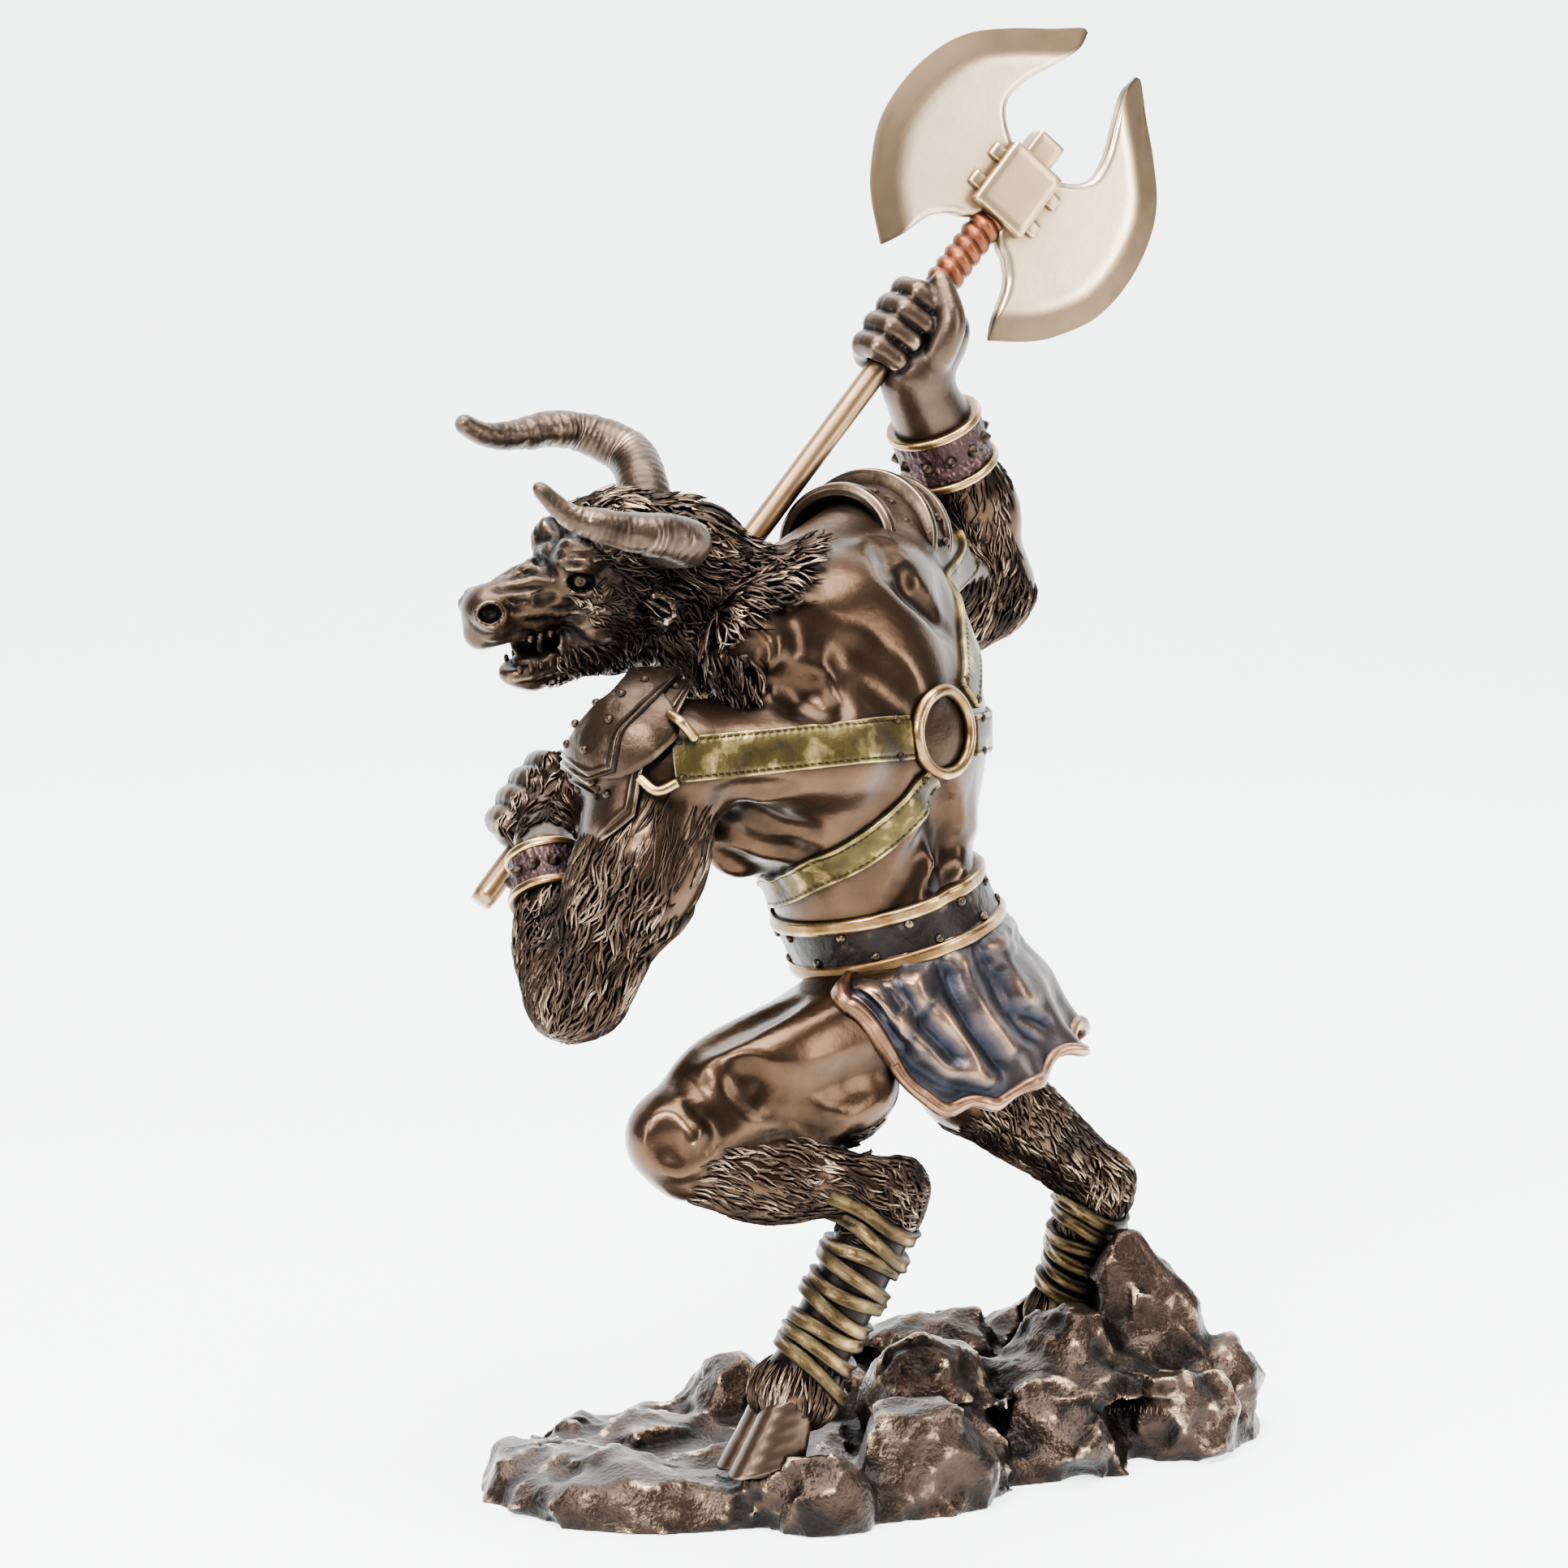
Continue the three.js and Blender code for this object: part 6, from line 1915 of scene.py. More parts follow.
@dataclass
class Belt:
    """The belt: a dark band round the waist between two gold rims, with rivets."""

    height: float = 11.4
    rim: float = 1.6
    rim_width: float = 3.1
    count: int = 260

    def skin_at(self, body: Sculpt, height: float, turn: Array) -> tuple[Array, Array]:
        """Places on the body's skin at some turns and a height over the belt's middle, and the ways out."""
        out = level_ways(turn)
        start = BELT_CENTRE + np.array(UP) * (height + out @ BELT_RISE)[:, None]
        return body.cast(start, out, 50), out

    def build(self, body: Sculpt) -> None:
        """Makes the band, the rims and the rivets."""
        half = self.height / 2
        turn = turns(self.count)
        up = np.tile(np.array(UP), (self.count, 1))
        rims = []
        for height in (-half + 0.9, half - 0.9):
            skin, out = self.skin_at(body, height, turn)
            rims.append(hoop(skin, out, up,
                             rounded_bar(-self.rim_width / 2, self.rim_width / 2, self.rim, 3.0, 0.9)))
        piece("belt_rims", merged(rims), GOLD)
        rows = [self.skin_at(body, height, turn)[0] for height in np.linspace(-half + 0.8, half - 0.8, 14)]
        out = level_ways(turn)
        outer = np.stack(rows[::-1])
        marks = noise(outer.reshape(-1, 3), 1.1, 8).reshape(outer.shape[:2])
        band = slab(outer + out * (0.7 + 0.12 * marks)[..., None], outer - out * 2.5, True)
        piece("belt_band", outward(band), LEATHER)
        rivets = []
        for number, degrees in enumerate(range(-168, 192, 17)):
            at, way = self.skin_at(body, 2.6 if number % 2 else -2.6, np.radians([float(degrees)]))
            rivets.append(dome(at[0] + way[0] * 0.75, way[0], 1.1, 0.8))
        studs = merged(rivets)
        piece("belt_rivets", studs, ARMOUR, 0.68)


# The kilt's folds in the view, raised where the depth is below zero: line, radius and depth
KILT_FOLDS: tuple[tuple[tuple[Point, ...], float, float], ...] = (
    (((10.5, -40.0), (16.5, -44.5), (22.0, -52.0), (26.0, -58.0), (33.0, -62.5), (42.0, -64.0)), 2.0, 1.5),
    (((14.5, -39.5), (20.0, -44.0), (26.0, -51.5), (33.0, -58.0), (42.0, -60.5)), 2.2, -1.2),
    (((17.5, -38.0), (21.0, -41.5), (23.5, -46.0)), 1.3, 1.5),
    (((20.5, -37.5), (24.0, -42.0), (29.0, -50.0), (35.0, -56.0)), 1.8, 1.1),
    (((26.5, -37.5), (28.5, -43.0), (34.0, -49.0), (39.0, -57.0)), 2.6, -1.4),
    (((32.5, -37.0), (34.5, -43.5), (38.0, -50.0), (43.5, -57.0)), 1.7, 1.4),
    (((36.0, -35.0), (38.0, -41.5), (41.5, -47.5), (46.0, -54.0)), 1.9, -1.3),
    (((39.5, -32.5), (42.5, -40.0), (46.5, -47.0), (50.5, -52.0)), 1.7, 1.6),
    (((43.0, -29.0), (46.5, -38.0), (50.0, -44.0)), 2.0, -1.0),
    (((44.5, -38.5), (48.5, -46.5), (54.0, -49.0)), 1.3, 1.3),
)


@dataclass
class Kilt:
    """The kilt: a folded skirt under the belt, open over the raised thigh, with a rolled copper hem.

    Attributes:
        tuck: how far under the belt's middle it starts.
        hem: the hem's height at turns round the waist, in degrees from the back.
        flares: where the hem stands out: the turn, its width and how far.
        room: the gap between the cloth and the thigh.
    """

    tuck: float = 3.0
    hem: tuple[tuple[float, float], ...] = (
        (-180, 109.5), (-135, 111.5), (-124, 110.5), (-114, 107.3), (-105, 102.6), (-98, 98), (-92, 91.5),
        (-88, 86.5),
        (-80, 83), (-70, 82), (-57, 82.2), (-48, 82.5), (-38, 84.5), (-28, 88), (-18, 90), (-6, 90), (8, 94),
        (24, 84),
        (60, 80),
        (88, 84), (108, 100), (130, 108), (180, 109.5),
    )
    flares: tuple[tuple[float, float, float], ...] = (
        (-37, 7, 3.0), (-12, 6, 4.5), (12, 8, 3.5), (-58, 7, 2.5), (-76, 7, 1.5),
    )
    room: float = 1.3
    rows: int = 42
    columns: int = 380

    def heights(self, turn: Array, drop: Array) -> tuple[Array, Array]:
        """The cloth's height at turns and shares of its fall, and how far it has fallen, in 32 mm."""
        degrees = np.degrees(turn)
        table = np.array(self.hem, float).T
        hem = sum(np.interp(degrees + shift, *table) for shift in (-5, -2.5, 0, 2.5, 5)) / 5
        hem = hem + 0.8 * np.sin(turn * 17 + 1) * (hem < 104)
        top = BELT_CENTRE[2] + np.cos(turn) * BELT_RISE[0] + np.sin(turn) * BELT_RISE[1] - self.tuck
        z = top + drop * (hem - top)
        return z, (top - z) / 32

    def surface(self, turn: Array, drop: Array, waist: Array, under: Array) -> Array:
        """Places on the cloth, from the turn round the waist (radians) and 0 at the belt to 1 at the hem.

        The radius grows as the cloth falls and is never less than that of what is under it; soft
        folds are added where it is out of view, and the drawn folds where it shows.
        """
        degrees = np.degrees(turn)
        z, fall = self.heights(turn, drop)
        seat = np.clip(np.cos(turn - 0.1), 0, 1) * (5.5 + 6.5 * drop**2)
        hidden = np.clip(0.5 + np.sin(turn) * 1.2, 0, 1)
        folds = hidden * (np.sin(turn * 9 + 0.5 * np.sin(turn * 4)) * 1.6 - 0.6) * drop
        for at, wide, far in self.flares:
            folds = folds + far * np.exp(-(((degrees - at) / wide) ** 2)) * drop**4
        own_x, own_y = 22 + seat + 2 * fall, 26 + 3.5 * fall
        own = own_x * own_y / np.hypot(own_y * np.cos(turn), own_x * np.sin(turn))
        loose = ramp(0.05, 0.5, fall)
        free = ramp(0.04, 0.13, fall)
        radius = waist * (1 - free) + np.maximum(waist * (1 - loose) + own * loose, under) * free
        radius = radius + self.room * (0.2 + 0.8 * free) + folds
        radius = radius - 5 * ramp(106.5, 109.5, np.interp(degrees, *np.array(self.hem, float).T))
        out = level_ways(turn)
        found = np.array([5.0, 8.0, 0.0]) + out * radius[..., None]
        found[..., 2] = z
        places = in_view(found)
        pull = sum(depth * np.exp(-((line_gap(places, line) / wide) ** 2)) for line, wide,
                   depth in KILT_FOLDS)
        pull = pull * np.clip(-1.5 * np.sin(turn) + 0.7, 0, 1) * np.clip(6 * drop, 0, 1)
        return found - out * np.minimum(pull, np.clip(radius - under * free - 0.3, 0, None))[..., None]

    def underneath(self, solids: Sequence[Sculpt]) -> Array:
        """How far out what is under the cloth comes, softened, on the cloth's own grid."""
        rows, columns = 20, 160
        turn, drop = np.meshgrid((np.arange(columns) / columns * 2 - 1) * math.pi, np.linspace(0, 1, rows))
        z = self.heights(turn, drop)[0].ravel()
        start = np.stack([np.full(z.shape, 5.0), np.full(z.shape, 8.0), z], 1)
        out = level_ways(turn.ravel())
        found = np.max([solid.farthest(start, out, 62.0) for solid in solids], 0).reshape(turn.shape)
        for _ in range(2):
            found = np.maximum(found, (np.roll(found, 1, 1) + found + np.roll(found, -1, 1)) / 3)
            found[1:] = np.maximum(found[1:], found[:-1] - 1.0)
        wide = np.hstack([found, found[:, :1]])
        whole = np.array([np.interp(np.linspace(0, columns, self.columns, False), np.arange(columns + 1),
                                    r) for r in wide])
        steps = np.linspace(0, rows - 1, self.rows)
        low = np.clip(steps.astype(int), 0, rows - 2)
        share = (steps - low)[:, None]
        return whole[low] * (1 - share) + whole[low + 1] * share

    def build(self, solids: Sequence[Sculpt]) -> None:
        """Makes the cloth as a thin closed sheet and the hem as a rolled edge on it."""
        turn = (np.arange(self.columns) / self.columns * 2 - 1) * math.pi
        drop = np.linspace(0, 1, self.rows)
        grid_turn, grid_drop = np.meshgrid(turn, drop)
        under, waist = self.underneath(solids), self.underneath(solids[:1])[0]
        outer = self.surface(grid_turn, grid_drop, waist[None], under)
        soft = noise(outer.reshape(-1, 3), 3.2, 14).reshape(grid_turn.shape) * 0.2
        out = level_ways(grid_turn)
        cloth = slab(outer + out * soft[..., None], outer - out * 2.2, True)
        cloth = outward(cloth)
        # Painted highlight on the folds' ridges and painted shade in their hollows.
        ridges = cloth.spread(cloth.bend(), 5)
        piece("kilt", cloth, CLOTH, np.clip(0.52 + 2.0 * ridges, 0, 1))
        edge = self.surface(turn, np.full(self.columns, 0.985), waist, under[-1]) - out[-1] * 0.9
        along = units(np.roll(edge, -1, 0) - np.roll(edge, 1, 0))
        up = units(np.cross(out[-1], along))
        way = units(np.cross(along, up))
        wide = 1.3 + 0.45 * noise(edge, 7.0, 16)[:, None, None]
        bead = rounded_bar(-1.2, 1.2, 1.5, 1.3, 1.0)
        rings = edge[:, None] + up[:, None] * bead[None, :, :1] * wide + way[:, None] * bead[None, :, 1:]
        piece("kilt_hem", outward(looped(rings)), HEM)


@dataclass
class Harness:
    """The straps over the back, which follow the skin, and the ring that joins them."""

    shoulder_line: tuple[Point, ...] = ((-22.7, 4.8), (-16, 5.5), (-8, 6.3), (2, 7.3), (14, 8.5), (26, 9.7))
    routes: tuple[tuple[Point, ...], ...] = (
        ((12, -12, 149), (7, -16, 143), (-3, -18, 135), (-12, -15, 130), (-20, -6, 125), (-24, 8, 122),
         (-21, 20, 116)),
        ((20, 0, 164), (19, 8, 170), (16, 16, 176), (12, 24, 182), (6, 30, 189)),
        ((20, -1, 156), (24, 12, 155), (22, 26, 155), (8, 36, 155), (-14, 38, 157), (-34, 26, 160),
         (-44, 10, 161),
         (-46, -2, 160)),
    )
    widths: tuple[float, ...] = (9.2, 7.6, 7.8, 8.4)
    ends: tuple[tuple[bool, bool], ...] = ((True, True), (True, False), (True, True), (True, False))
    proud: float = 1.5
    ring_centre: Point = (14, -10, 158)
    ring_out: Point = (0.78, -0.62, 0.1)
    ring_radius: float = 8.6
    ring_tube: float = 1.3

    def on_skin(self, body: Sculpt, points: Array) -> Array:
        """Moves points out from the spine to the skin."""
        share = np.clip((points[:, 2] - SPINE_FOOT[2]) / (SPINE_HEAD[2] - SPINE_FOOT[2]), 0, 1)
        centre = SPINE_FOOT + share[:, None] * (SPINE_HEAD - SPINE_FOOT)
        centre[:, 2] = points[:, 2]
        return body.cast(centre, units(points - centre), 60)

    def build(self, body: Sculpt) -> None:
        """Makes the straps, their rivets and the ring."""
        straps, rivets = [], []
        paths = [smooth_path(body.seen(smooth_path(self.shoulder_line, 14)), 40)]
        paths += [self.on_skin(body, smooth_path(route, 40)) for route in self.routes]
        for path, width, ends in zip(paths, self.widths, self.ends):
            strap, studs = self.strap(body, path, width, ends)
            straps.append(strap)
            rivets += studs
        piece("straps", merged(straps), STRAP)
        piece("strap_rivets", merged(rivets), STRAP, 0.45)
        out = unit(self.ring_out)
        centre = self.on_skin(body, np.array([self.ring_centre], float))[0] + out * 0.4
        axes = frame_of(out, UP)
        turn = turns(90)
        place = centre + (np.cos(turn)[:, None] * axes[1] + np.sin(turn)[:,
                                                                         None] * axes[2]) * self.ring_radius
        place = place - body.slope(place) * np.clip(body.at(place) - 0.7, 0, 3)[:, None]
        way = units(place - centre)
        bead = np.stack([np.cos(turns(16)), np.sin(turns(16))],
                        1) * self.ring_tube
        piece("ring", hoop(place, way, np.tile(out, (90, 1)), bead), GOLD)

    def strap(self, body: Sculpt, path: Array, width: float, ends: tuple[bool, bool]) -> tuple[Skin,
                                                                                               list[Skin]]:
        """One strap: a grid laid on the skin, thicker along both edges, with a row of stitches near each."""
        inward = np.array([0, 0.12, 0.45, 0.9, 1.15, 1.4, 2.2, width / 2])
        share = np.concatenate([inward / (width / 2) - 1, (1 - inward / (width / 2))[-2::-1]])
        rows, columns = 170, len(share)
        path = smooth_path(path[::3], rows)
        tangent = units(np.gradient(path, axis=0))
        across = units(np.cross(tangent, body.slope(path)))
        grid = path[:, None] + across[:, None] * (share * width / 2)[None, :, None]
        flat = grid.reshape(-1, 3)
        for _ in range(3):
            flat = flat - body.slope(flat) * np.clip(body.at(flat), -2, 2)[:, None]
        out = body.slope(flat)
        along = np.repeat(np.cumsum(np.linalg.norm(np.gradient(path, axis=0), axis=1)), columns)
        c = np.tile(share, rows)
        from_edge = (1 - np.abs(c)) * width / 2
        height = self.proud * (0.82 + 0.12 * np.exp(-((from_edge - 0.35) / 0.35) ** 2))
        stitch = np.exp(-((from_edge - 1.15) / 0.2) ** 2) * (np.sin(along * TAU / 1.5) > -0.3)
        height = height - 0.22 * stitch - 0.5 * np.exp(-from_edge / 0.12)
        height = height + 0.10 * noise(flat, 2.4, 12)
        outer = (flat + out * height[:, None]).reshape(rows, columns, 3)
        inner = (flat - out * 1.5).reshape(rows, columns, 3)
        studs = []
        last = rows - 1
        for end, used in zip((0, 1), ends):
            if not used:
                continue
            row = int(0.045 * last) if end == 0 else int(0.955 * last)
            for column in (columns // 4, columns - 1 - columns // 4):
                place = outer[row, column]
                studs.append(dome(place, body.slope(place[None])[0], 0.95, 0.6))
        return outward(slab(outer, inner)), studs


@dataclass(frozen=True)
class Plate:
    """A plate on the near shoulder, drawn in the view: its edges from top to bottom, foot and rivets."""

    radius: float
    lift: float
    left: tuple[Point, ...]
    right: tuple[Point, ...]
    foot: tuple[Point, ...]
    rivets: tuple[Point, ...]


@dataclass
class NearPauldron:
    """The near shoulder's two plates: parts of a shell with a double rim, a pointed lower edge and rivets."""

    centre: Point = (-45.6, -25.5, 156)
    plates: tuple[Plate, ...] = (
        Plate(
            16.3, 1.4,
            ((-30.5, 24), (-33.9, 19.1), (-37.7, 16), (-41.4, 11.8), (-43.5, 8.1), (-45.3, 3.7)),
            ((-20, 25), (-22.5, 20.8), (-27.7, 15.2), (-32.2, 10.6), (-33.5, 6), (-34.1, 2.7)),
            ((-45.3, 3.7), (-42.3, 2.4), (-39.3, 1.2), (-36.7, 1.9), (-34.1, 2.7)),
            ((-37.8, 16), (-32.9, 17.7), (-41.8, 12), (-35.2, 12.8), (-43.4, 8.1), (-40, 7), (-28.5, 20.4)),
        ),
        Plate(
            15.2, 0.0,
            ((-30.5, 23), (-36, 17), (-41, 11.5), (-43.8, 6.5), (-45.2, 2), (-45.2, -0.4)),
            ((-16, 25), (-18.9, 20.4), (-22.3, 13.5), (-25.6, 9.8), (-28.5, 4.3), (-29.4, -0.7),
             (-29.8, -3.2)),
            ((-45.2, -0.4), (-41, -3.6), (-36.8, -6.9), (-33.2, -5), (-29.8, -3.2)),
            ((-27.4, 12.5), (-31.8, 6), (-41, -0.5), (-35.2, -1.1), (-44.8, 1.7), (-22.8, 19)),
        ),
    )
    thickness: float = 1.3
    rim: float = 0.7
    back: float = 1.1

    def ways(self, places: Array, radius: float) -> Array:
        """The ways from the shell's centre to where the view's rays through places meet it."""
        ray = view_aims(places) - VIEW_FROM
        ray = ray / np.linalg.norm(ray, axis=-1, keepdims=True)
        start = VIEW_FROM - np.asarray(self.centre, float)
        along = ray @ start
        inside = np.clip(along**2 - (start @ start - radius**2), 0, None)
        found = start + ray * (-along - np.sqrt(inside))[..., None]
        return found / np.linalg.norm(found, axis=-1, keepdims=True)

    def build(self, body: Sculpt) -> None:
        """Makes both plates with their rivets, and the gold limbs that hold the strap."""
        made = [self.plate(body, plate) for plate in self.plates]
        piece("near_plates", merged(skin for skin, _ in made), ARMOUR)
        rivets = merged(stud for _, studs in made for stud in studs)
        piece("near_plate_rivets", rivets, ARMOUR, 0.6)
        links = []
        for route in (((-41.5, -39, 166), (-39, -41.5, 164.6), (-36.4, -40.4, 161.2)),
                      ((-47.5, -42, 153.8), (-44, -43.4, 151.2), (-40, -42, 152.6))):
            links.append(tube(smooth_path(route, 24), np.full(24, 1.05), 14))
        piece("near_links", merged(links), GOLD)

    def base(self, body: Sculpt, ways: Array, plate: Plate) -> Array:
        """How far out a plate starts: on its own ball, or just over the shoulder if that is further out."""
        flat = ways.reshape(-1, 3)
        reach = body.farthest(np.tile(np.asarray(self.centre, float), (len(flat), 1)), flat,
                              22).reshape(ways.shape[:-1])
        for _ in range(12):
            if reach.ndim > 1:
                reach[1:-1] = (reach[:-2] + 2 * reach[1:-1] + reach[2:]) / 4
                reach[:, 1:-1] = (reach[:, :-2] + 2 * reach[:, 1:-1] + reach[:, 2:]) / 4
        return np.maximum(plate.radius, reach + 0.2 + plate.lift)

    def plate(self, body: Sculpt, plate: Plate) -> tuple[Skin, list[Skin]]:
        """One plate: a grid between its edges, raised near two of them, and bent back on the left."""
        rows, columns, hidden = 64, 56, 12
        left, right, foot = (smooth_path(line, n) for line, n in ((plate.left, rows), (plate.right, rows),
                                                                    (plate.foot, columns)))
        share = np.linspace(0, 1, columns)[None, :, None]
        down = np.linspace(0, 1, rows)[:, None, None]
        places = left[:, None] * (1 - share) + right[:, None] * share
        places = places + (foot - (left[-1] * (1 - share[0]) + right[-1] * share[0]))[None] * down**2
        ways = self.ways(places, plate.radius)
        axis = unit(ways[-1, 0] - ways[0, 0])
        bend = np.linspace(self.back, 0, hidden, False)[None, :, None]
        first = ways[:, :1]
        turned_back = (
            first * np.cos(bend) - np.cross(axis, first) * np.sin(bend)
            + axis * (first @ axis)[..., None] * (1 - np.cos(bend))
        )
        ways = np.concatenate([turned_back, ways], 1)
        spans = np.linalg.norm(np.diff(ways, axis=1), axis=2) * plate.radius
        to_right = np.concatenate([np.cumsum(spans[:, ::-1], 1)[:, ::-1], np.zeros((rows, 1))], 1)
        falls = np.linalg.norm(np.diff(ways, axis=0), axis=2) * plate.radius
        to_foot = np.concatenate([np.cumsum(falls[::-1], 0)[::-1], np.zeros((1, ways.shape[1]))], 0)
        edge = np.minimum(to_right, to_foot)
        step = 1 - ramp(0.8, 1.1, edge)
        bead = np.exp(-(((edge - 2.0) / 0.4) ** 2))
        marks = noise((ways * plate.radius).reshape(-1, 3), 1.6, 17).reshape(edge.shape)
        height = self.thickness + self.rim * step + 0.45 * bead + 0.1 * marks - 0.5 * np.exp(-edge / 0.15)
        centre = np.asarray(self.centre, float)
        base = self.base(body, ways, plate)
        outer = centre + ways * (base + height)[..., None]
        inner = centre + ways * (base - 2.2)[..., None]
        studs = []
        for way in self.ways(np.array(plate.rivets), plate.radius):
            nearest = np.unravel_index(np.argmax(ways @ way), base.shape)
            studs.append(dome(centre + way * (base[nearest] + self.thickness), way, 0.95, 0.8))
        return outward(slab(outer, inner)), studs


@dataclass
class FarPauldron:
    """The far shoulder's plates: arched bands round the raised arm, each with a swollen flared rim.

    Attributes:
        start: the middle of the opening by the neck.
        end: a place further out on the bands' axis.
        bands: for each band, its outline as along the axis and out from it.
        turns: where the bands start and end round the axis.
    """

    start: Point = (-7, 26, 189)
    end: Point = (6, 45, 185.5)
    bands: tuple[tuple[tuple[float, float], ...], ...] = (
        ((4.5, 8.5), (1.6, 11.4), (-1.0, 12.3), (-2.4, 13.3), (-2.7, 14.6), (-1.9, 15.8), (-0.5, 16.1),
         (0.8, 15.5),
         (1.6, 14.6), (4, 14.9), (8.6, 16.4), (9.5, 17), (9.5, 8.5)),
        ((8.2, 7), (8.3, 18.4), (8.8, 19.4), (9.8, 19.7), (10.8, 19.3), (11.4, 18.3), (14, 17.8), (17, 17.5),
         (17, 7)),
        ((15.5, 7), (15.6, 18.2), (16.1, 18.9), (16.9, 19), (17.6, 18.3), (19.5, 17), (21.5, 15.8),
         (21.5, 7)),
    )
    turns: tuple[float, float] = (1.5, -1.7)

    def build(self) -> None:
        """Makes the bands with two rows of rivets."""
        axes = frame_of(np.asarray(self.end, float) - self.start, UP)
        start = np.asarray(self.start, float)
        turn = np.linspace(*self.turns, 91)
        way = np.cos(turn)[:, None] * axes[1] + np.sin(turn)[:, None] * axes[2]
        parts, rivets = [], []
        for band in self.bands:
            outline = np.array(band + band[:1], float)
            fine = np.vstack([np.linspace(a, b, 5)[:-1] for a, b in zip(outline[:-1], outline[1:])])
            taper = 1 - 0.16 * np.abs((turn - turn.mean()) / (turn[0] - turn.mean())) ** 4
            radius = fine[None, :, 1] * (1 + (taper[:, None] - 1) * (fine[None, :, 1] > 13))
            grid = start + axes[0] * fine[None, :, :1] + way[:, None] * radius[..., None]
            parts.append(outward(capped(grid)))
        for share in np.linspace(0.08, 0.92, 9):
            row = int(share * 90)
            for along, radius in ((5.2, 15.2), (13.6, 17.8)):
                rivets.append(dome(start + axes[0] * along + way[row] * radius, way[row], 0.95, 0.7))
        piece("far_plates", merged(parts), ARMOUR)
        piece("far_plate_rivets", merged(rivets), ARMOUR, 0.58)


# The axe


@dataclass
class Axe:
    """The axe: a shaft with a wound grip, a stepped boss and two blades of the same outline."""

    root: float = 192.2
    face: Point = (0.5, -0.92, 0.28)
    thickness: float = 4.2
    bevel: float = 6.2
    outer: tuple[tuple[float, float], ...] = (
        (-27.9, 16), (-22.4, 22.8), (-17.3, 27.2), (-8.2, 32), (2, 33.3), (12.2, 31.8), (20.4, 28.1),
        (27.5, 21.5),
        (33.7, 14.3), (38.6, 9), (38.9, 7.4),
    )
    inner: tuple[tuple[float, float], ...] = (
        (-27.9, 15.6), (-23.2, 13.4), (-16.5, 11.2), (-12.9, 8), (-11, 4.6), (-7, 2), (5.5, 2), (7.5, 5),
        (10.6, 9.8),
        (14.4, 12.6), (20, 12.2), (26.5, 9.6), (33.7, 6.9), (38.7, 7.2),
    )

    def axes(self) -> Array:
        """Along the shaft, out of the blades' face, and across towards the near blade."""
        return frame_of(SHAFT_AXES[0], self.face)

    def build(self) -> None:
        """Makes the shaft, the grip, the boss and the blades."""
        path = shaft_point(0) + np.linspace(0, self.root, 80)[:, None] * SHAFT_AXES[0]
        radii = np.full(80, SHAFT_RADIUS)
        radii[0] = SHAFT_RADIUS - 0.35

        def marks(along: Array, turn: Array) -> Array:
            place = np.stack([np.cos(turn) * 3, np.sin(turn) * 3, along / 6], -1)
            return 0.05 * noise(place.reshape(-1, 3), 0.8, 21).reshape(along.shape)

        piece("shaft", tube(path, radii, 32, marks), SHAFT, slot=Slot.AXE)
        self.build_grip()
        self.build_boss()
        made = [self.blade(side) for side in (1, -1)]
        painted_light_and_wear = np.concatenate([own for _, own in made])
        piece("blades", merged(skin for skin, _ in made), STEEL, painted_light_and_wear, Slot.AXE)

    def build_grip(self) -> None:
        """The carved winding along the shaft below the boss."""
        rows = 120
        path = shaft_point(GRIP_FROM) + np.linspace(0, 18.4, rows)[:, None] * SHAFT_AXES[0]

        def rounds(along: Array, turn: Array) -> Array:
            return 0.65 * np.abs(np.sin((along / 3.1 * TAU + turn) / 2))

        winding = tube(path, np.full(rows, 3.2), 32, rounds)
        piece("grip", winding, GRIP, 0.9 * edge_light_and_wear(winding), Slot.AXE)

    def build_boss(self) -> None:
        """The stepped blocks that hold the blades, and the tabs that lie over their roots."""
        blocks = ((13.6, 16.2, 10.4, 0.3), (7, 8, 7, 10.6), (19.2, 3.6, 6.4, -3.5), (19.2, 3.6, 6.4, 4.1))
        parts = []
        for wide, long, deep, along in blocks:
            half = np.array([long, deep, wide]) / 2
            parts.append(block(half, shaft_point(self.root + along), self.axes(), 0.8))
        boss = merged(parts)
        # The boss's rounded edges brighter as painted highlight and wear.
        piece("boss", boss, STEEL, np.clip(0.6 + 0.35 * boss.bend(), 0.3, 0.85), Slot.AXE)

    def blade(self, side: int) -> tuple[Skin, Array]:
        """One blade: a grid between its inner and outer outlines, and its painted light: painted shade on the
        bevel, a painted highlight band past its crest, and darker by the inner outline.

        Half the thickness is a bevel's slope times the distance to the cutting edge, up to the
        flat, and is less again close to the inner outline.
        """
        rows, columns = 110, 34
        outer, inner = smooth_path(self.outer, rows), smooth_path(self.inner, rows)
        t = np.linspace(0, 1, columns)[None, :, None]
        t = 0.5 - 0.5 * np.cos(t * math.pi)
        flat = inner[:, None] * (1 - t) + outer[:, None] * t
        points = flat.reshape(-1, 2)
        far = np.sqrt(((points[:, None] - outer[None]) ** 2).sum(-1)).min(1)
        near = np.sqrt(((points[:, None] - inner[None]) ** 2).sum(-1)).min(1)
        half = self.thickness / 2
        share = np.clip(far / self.bevel, 0, 1.3)
        soft = np.clip(0.3 - np.abs(share - 1), 0, None)
        slope = half * (0.12 + 0.88 * (np.minimum(share, 1) - soft**2 / 1.2))
        inside = 1 - np.clip(1 - near / 1.6, 0, 1) ** 2
        half_here = np.minimum(slope, 0.5 + (half - 0.5) * np.sqrt(inside)).reshape(rows, columns)
        axes = self.axes()
        place = shaft_point(self.root) + flat[..., :1] * axes[0] + side * flat[..., 1:] * axes[2]
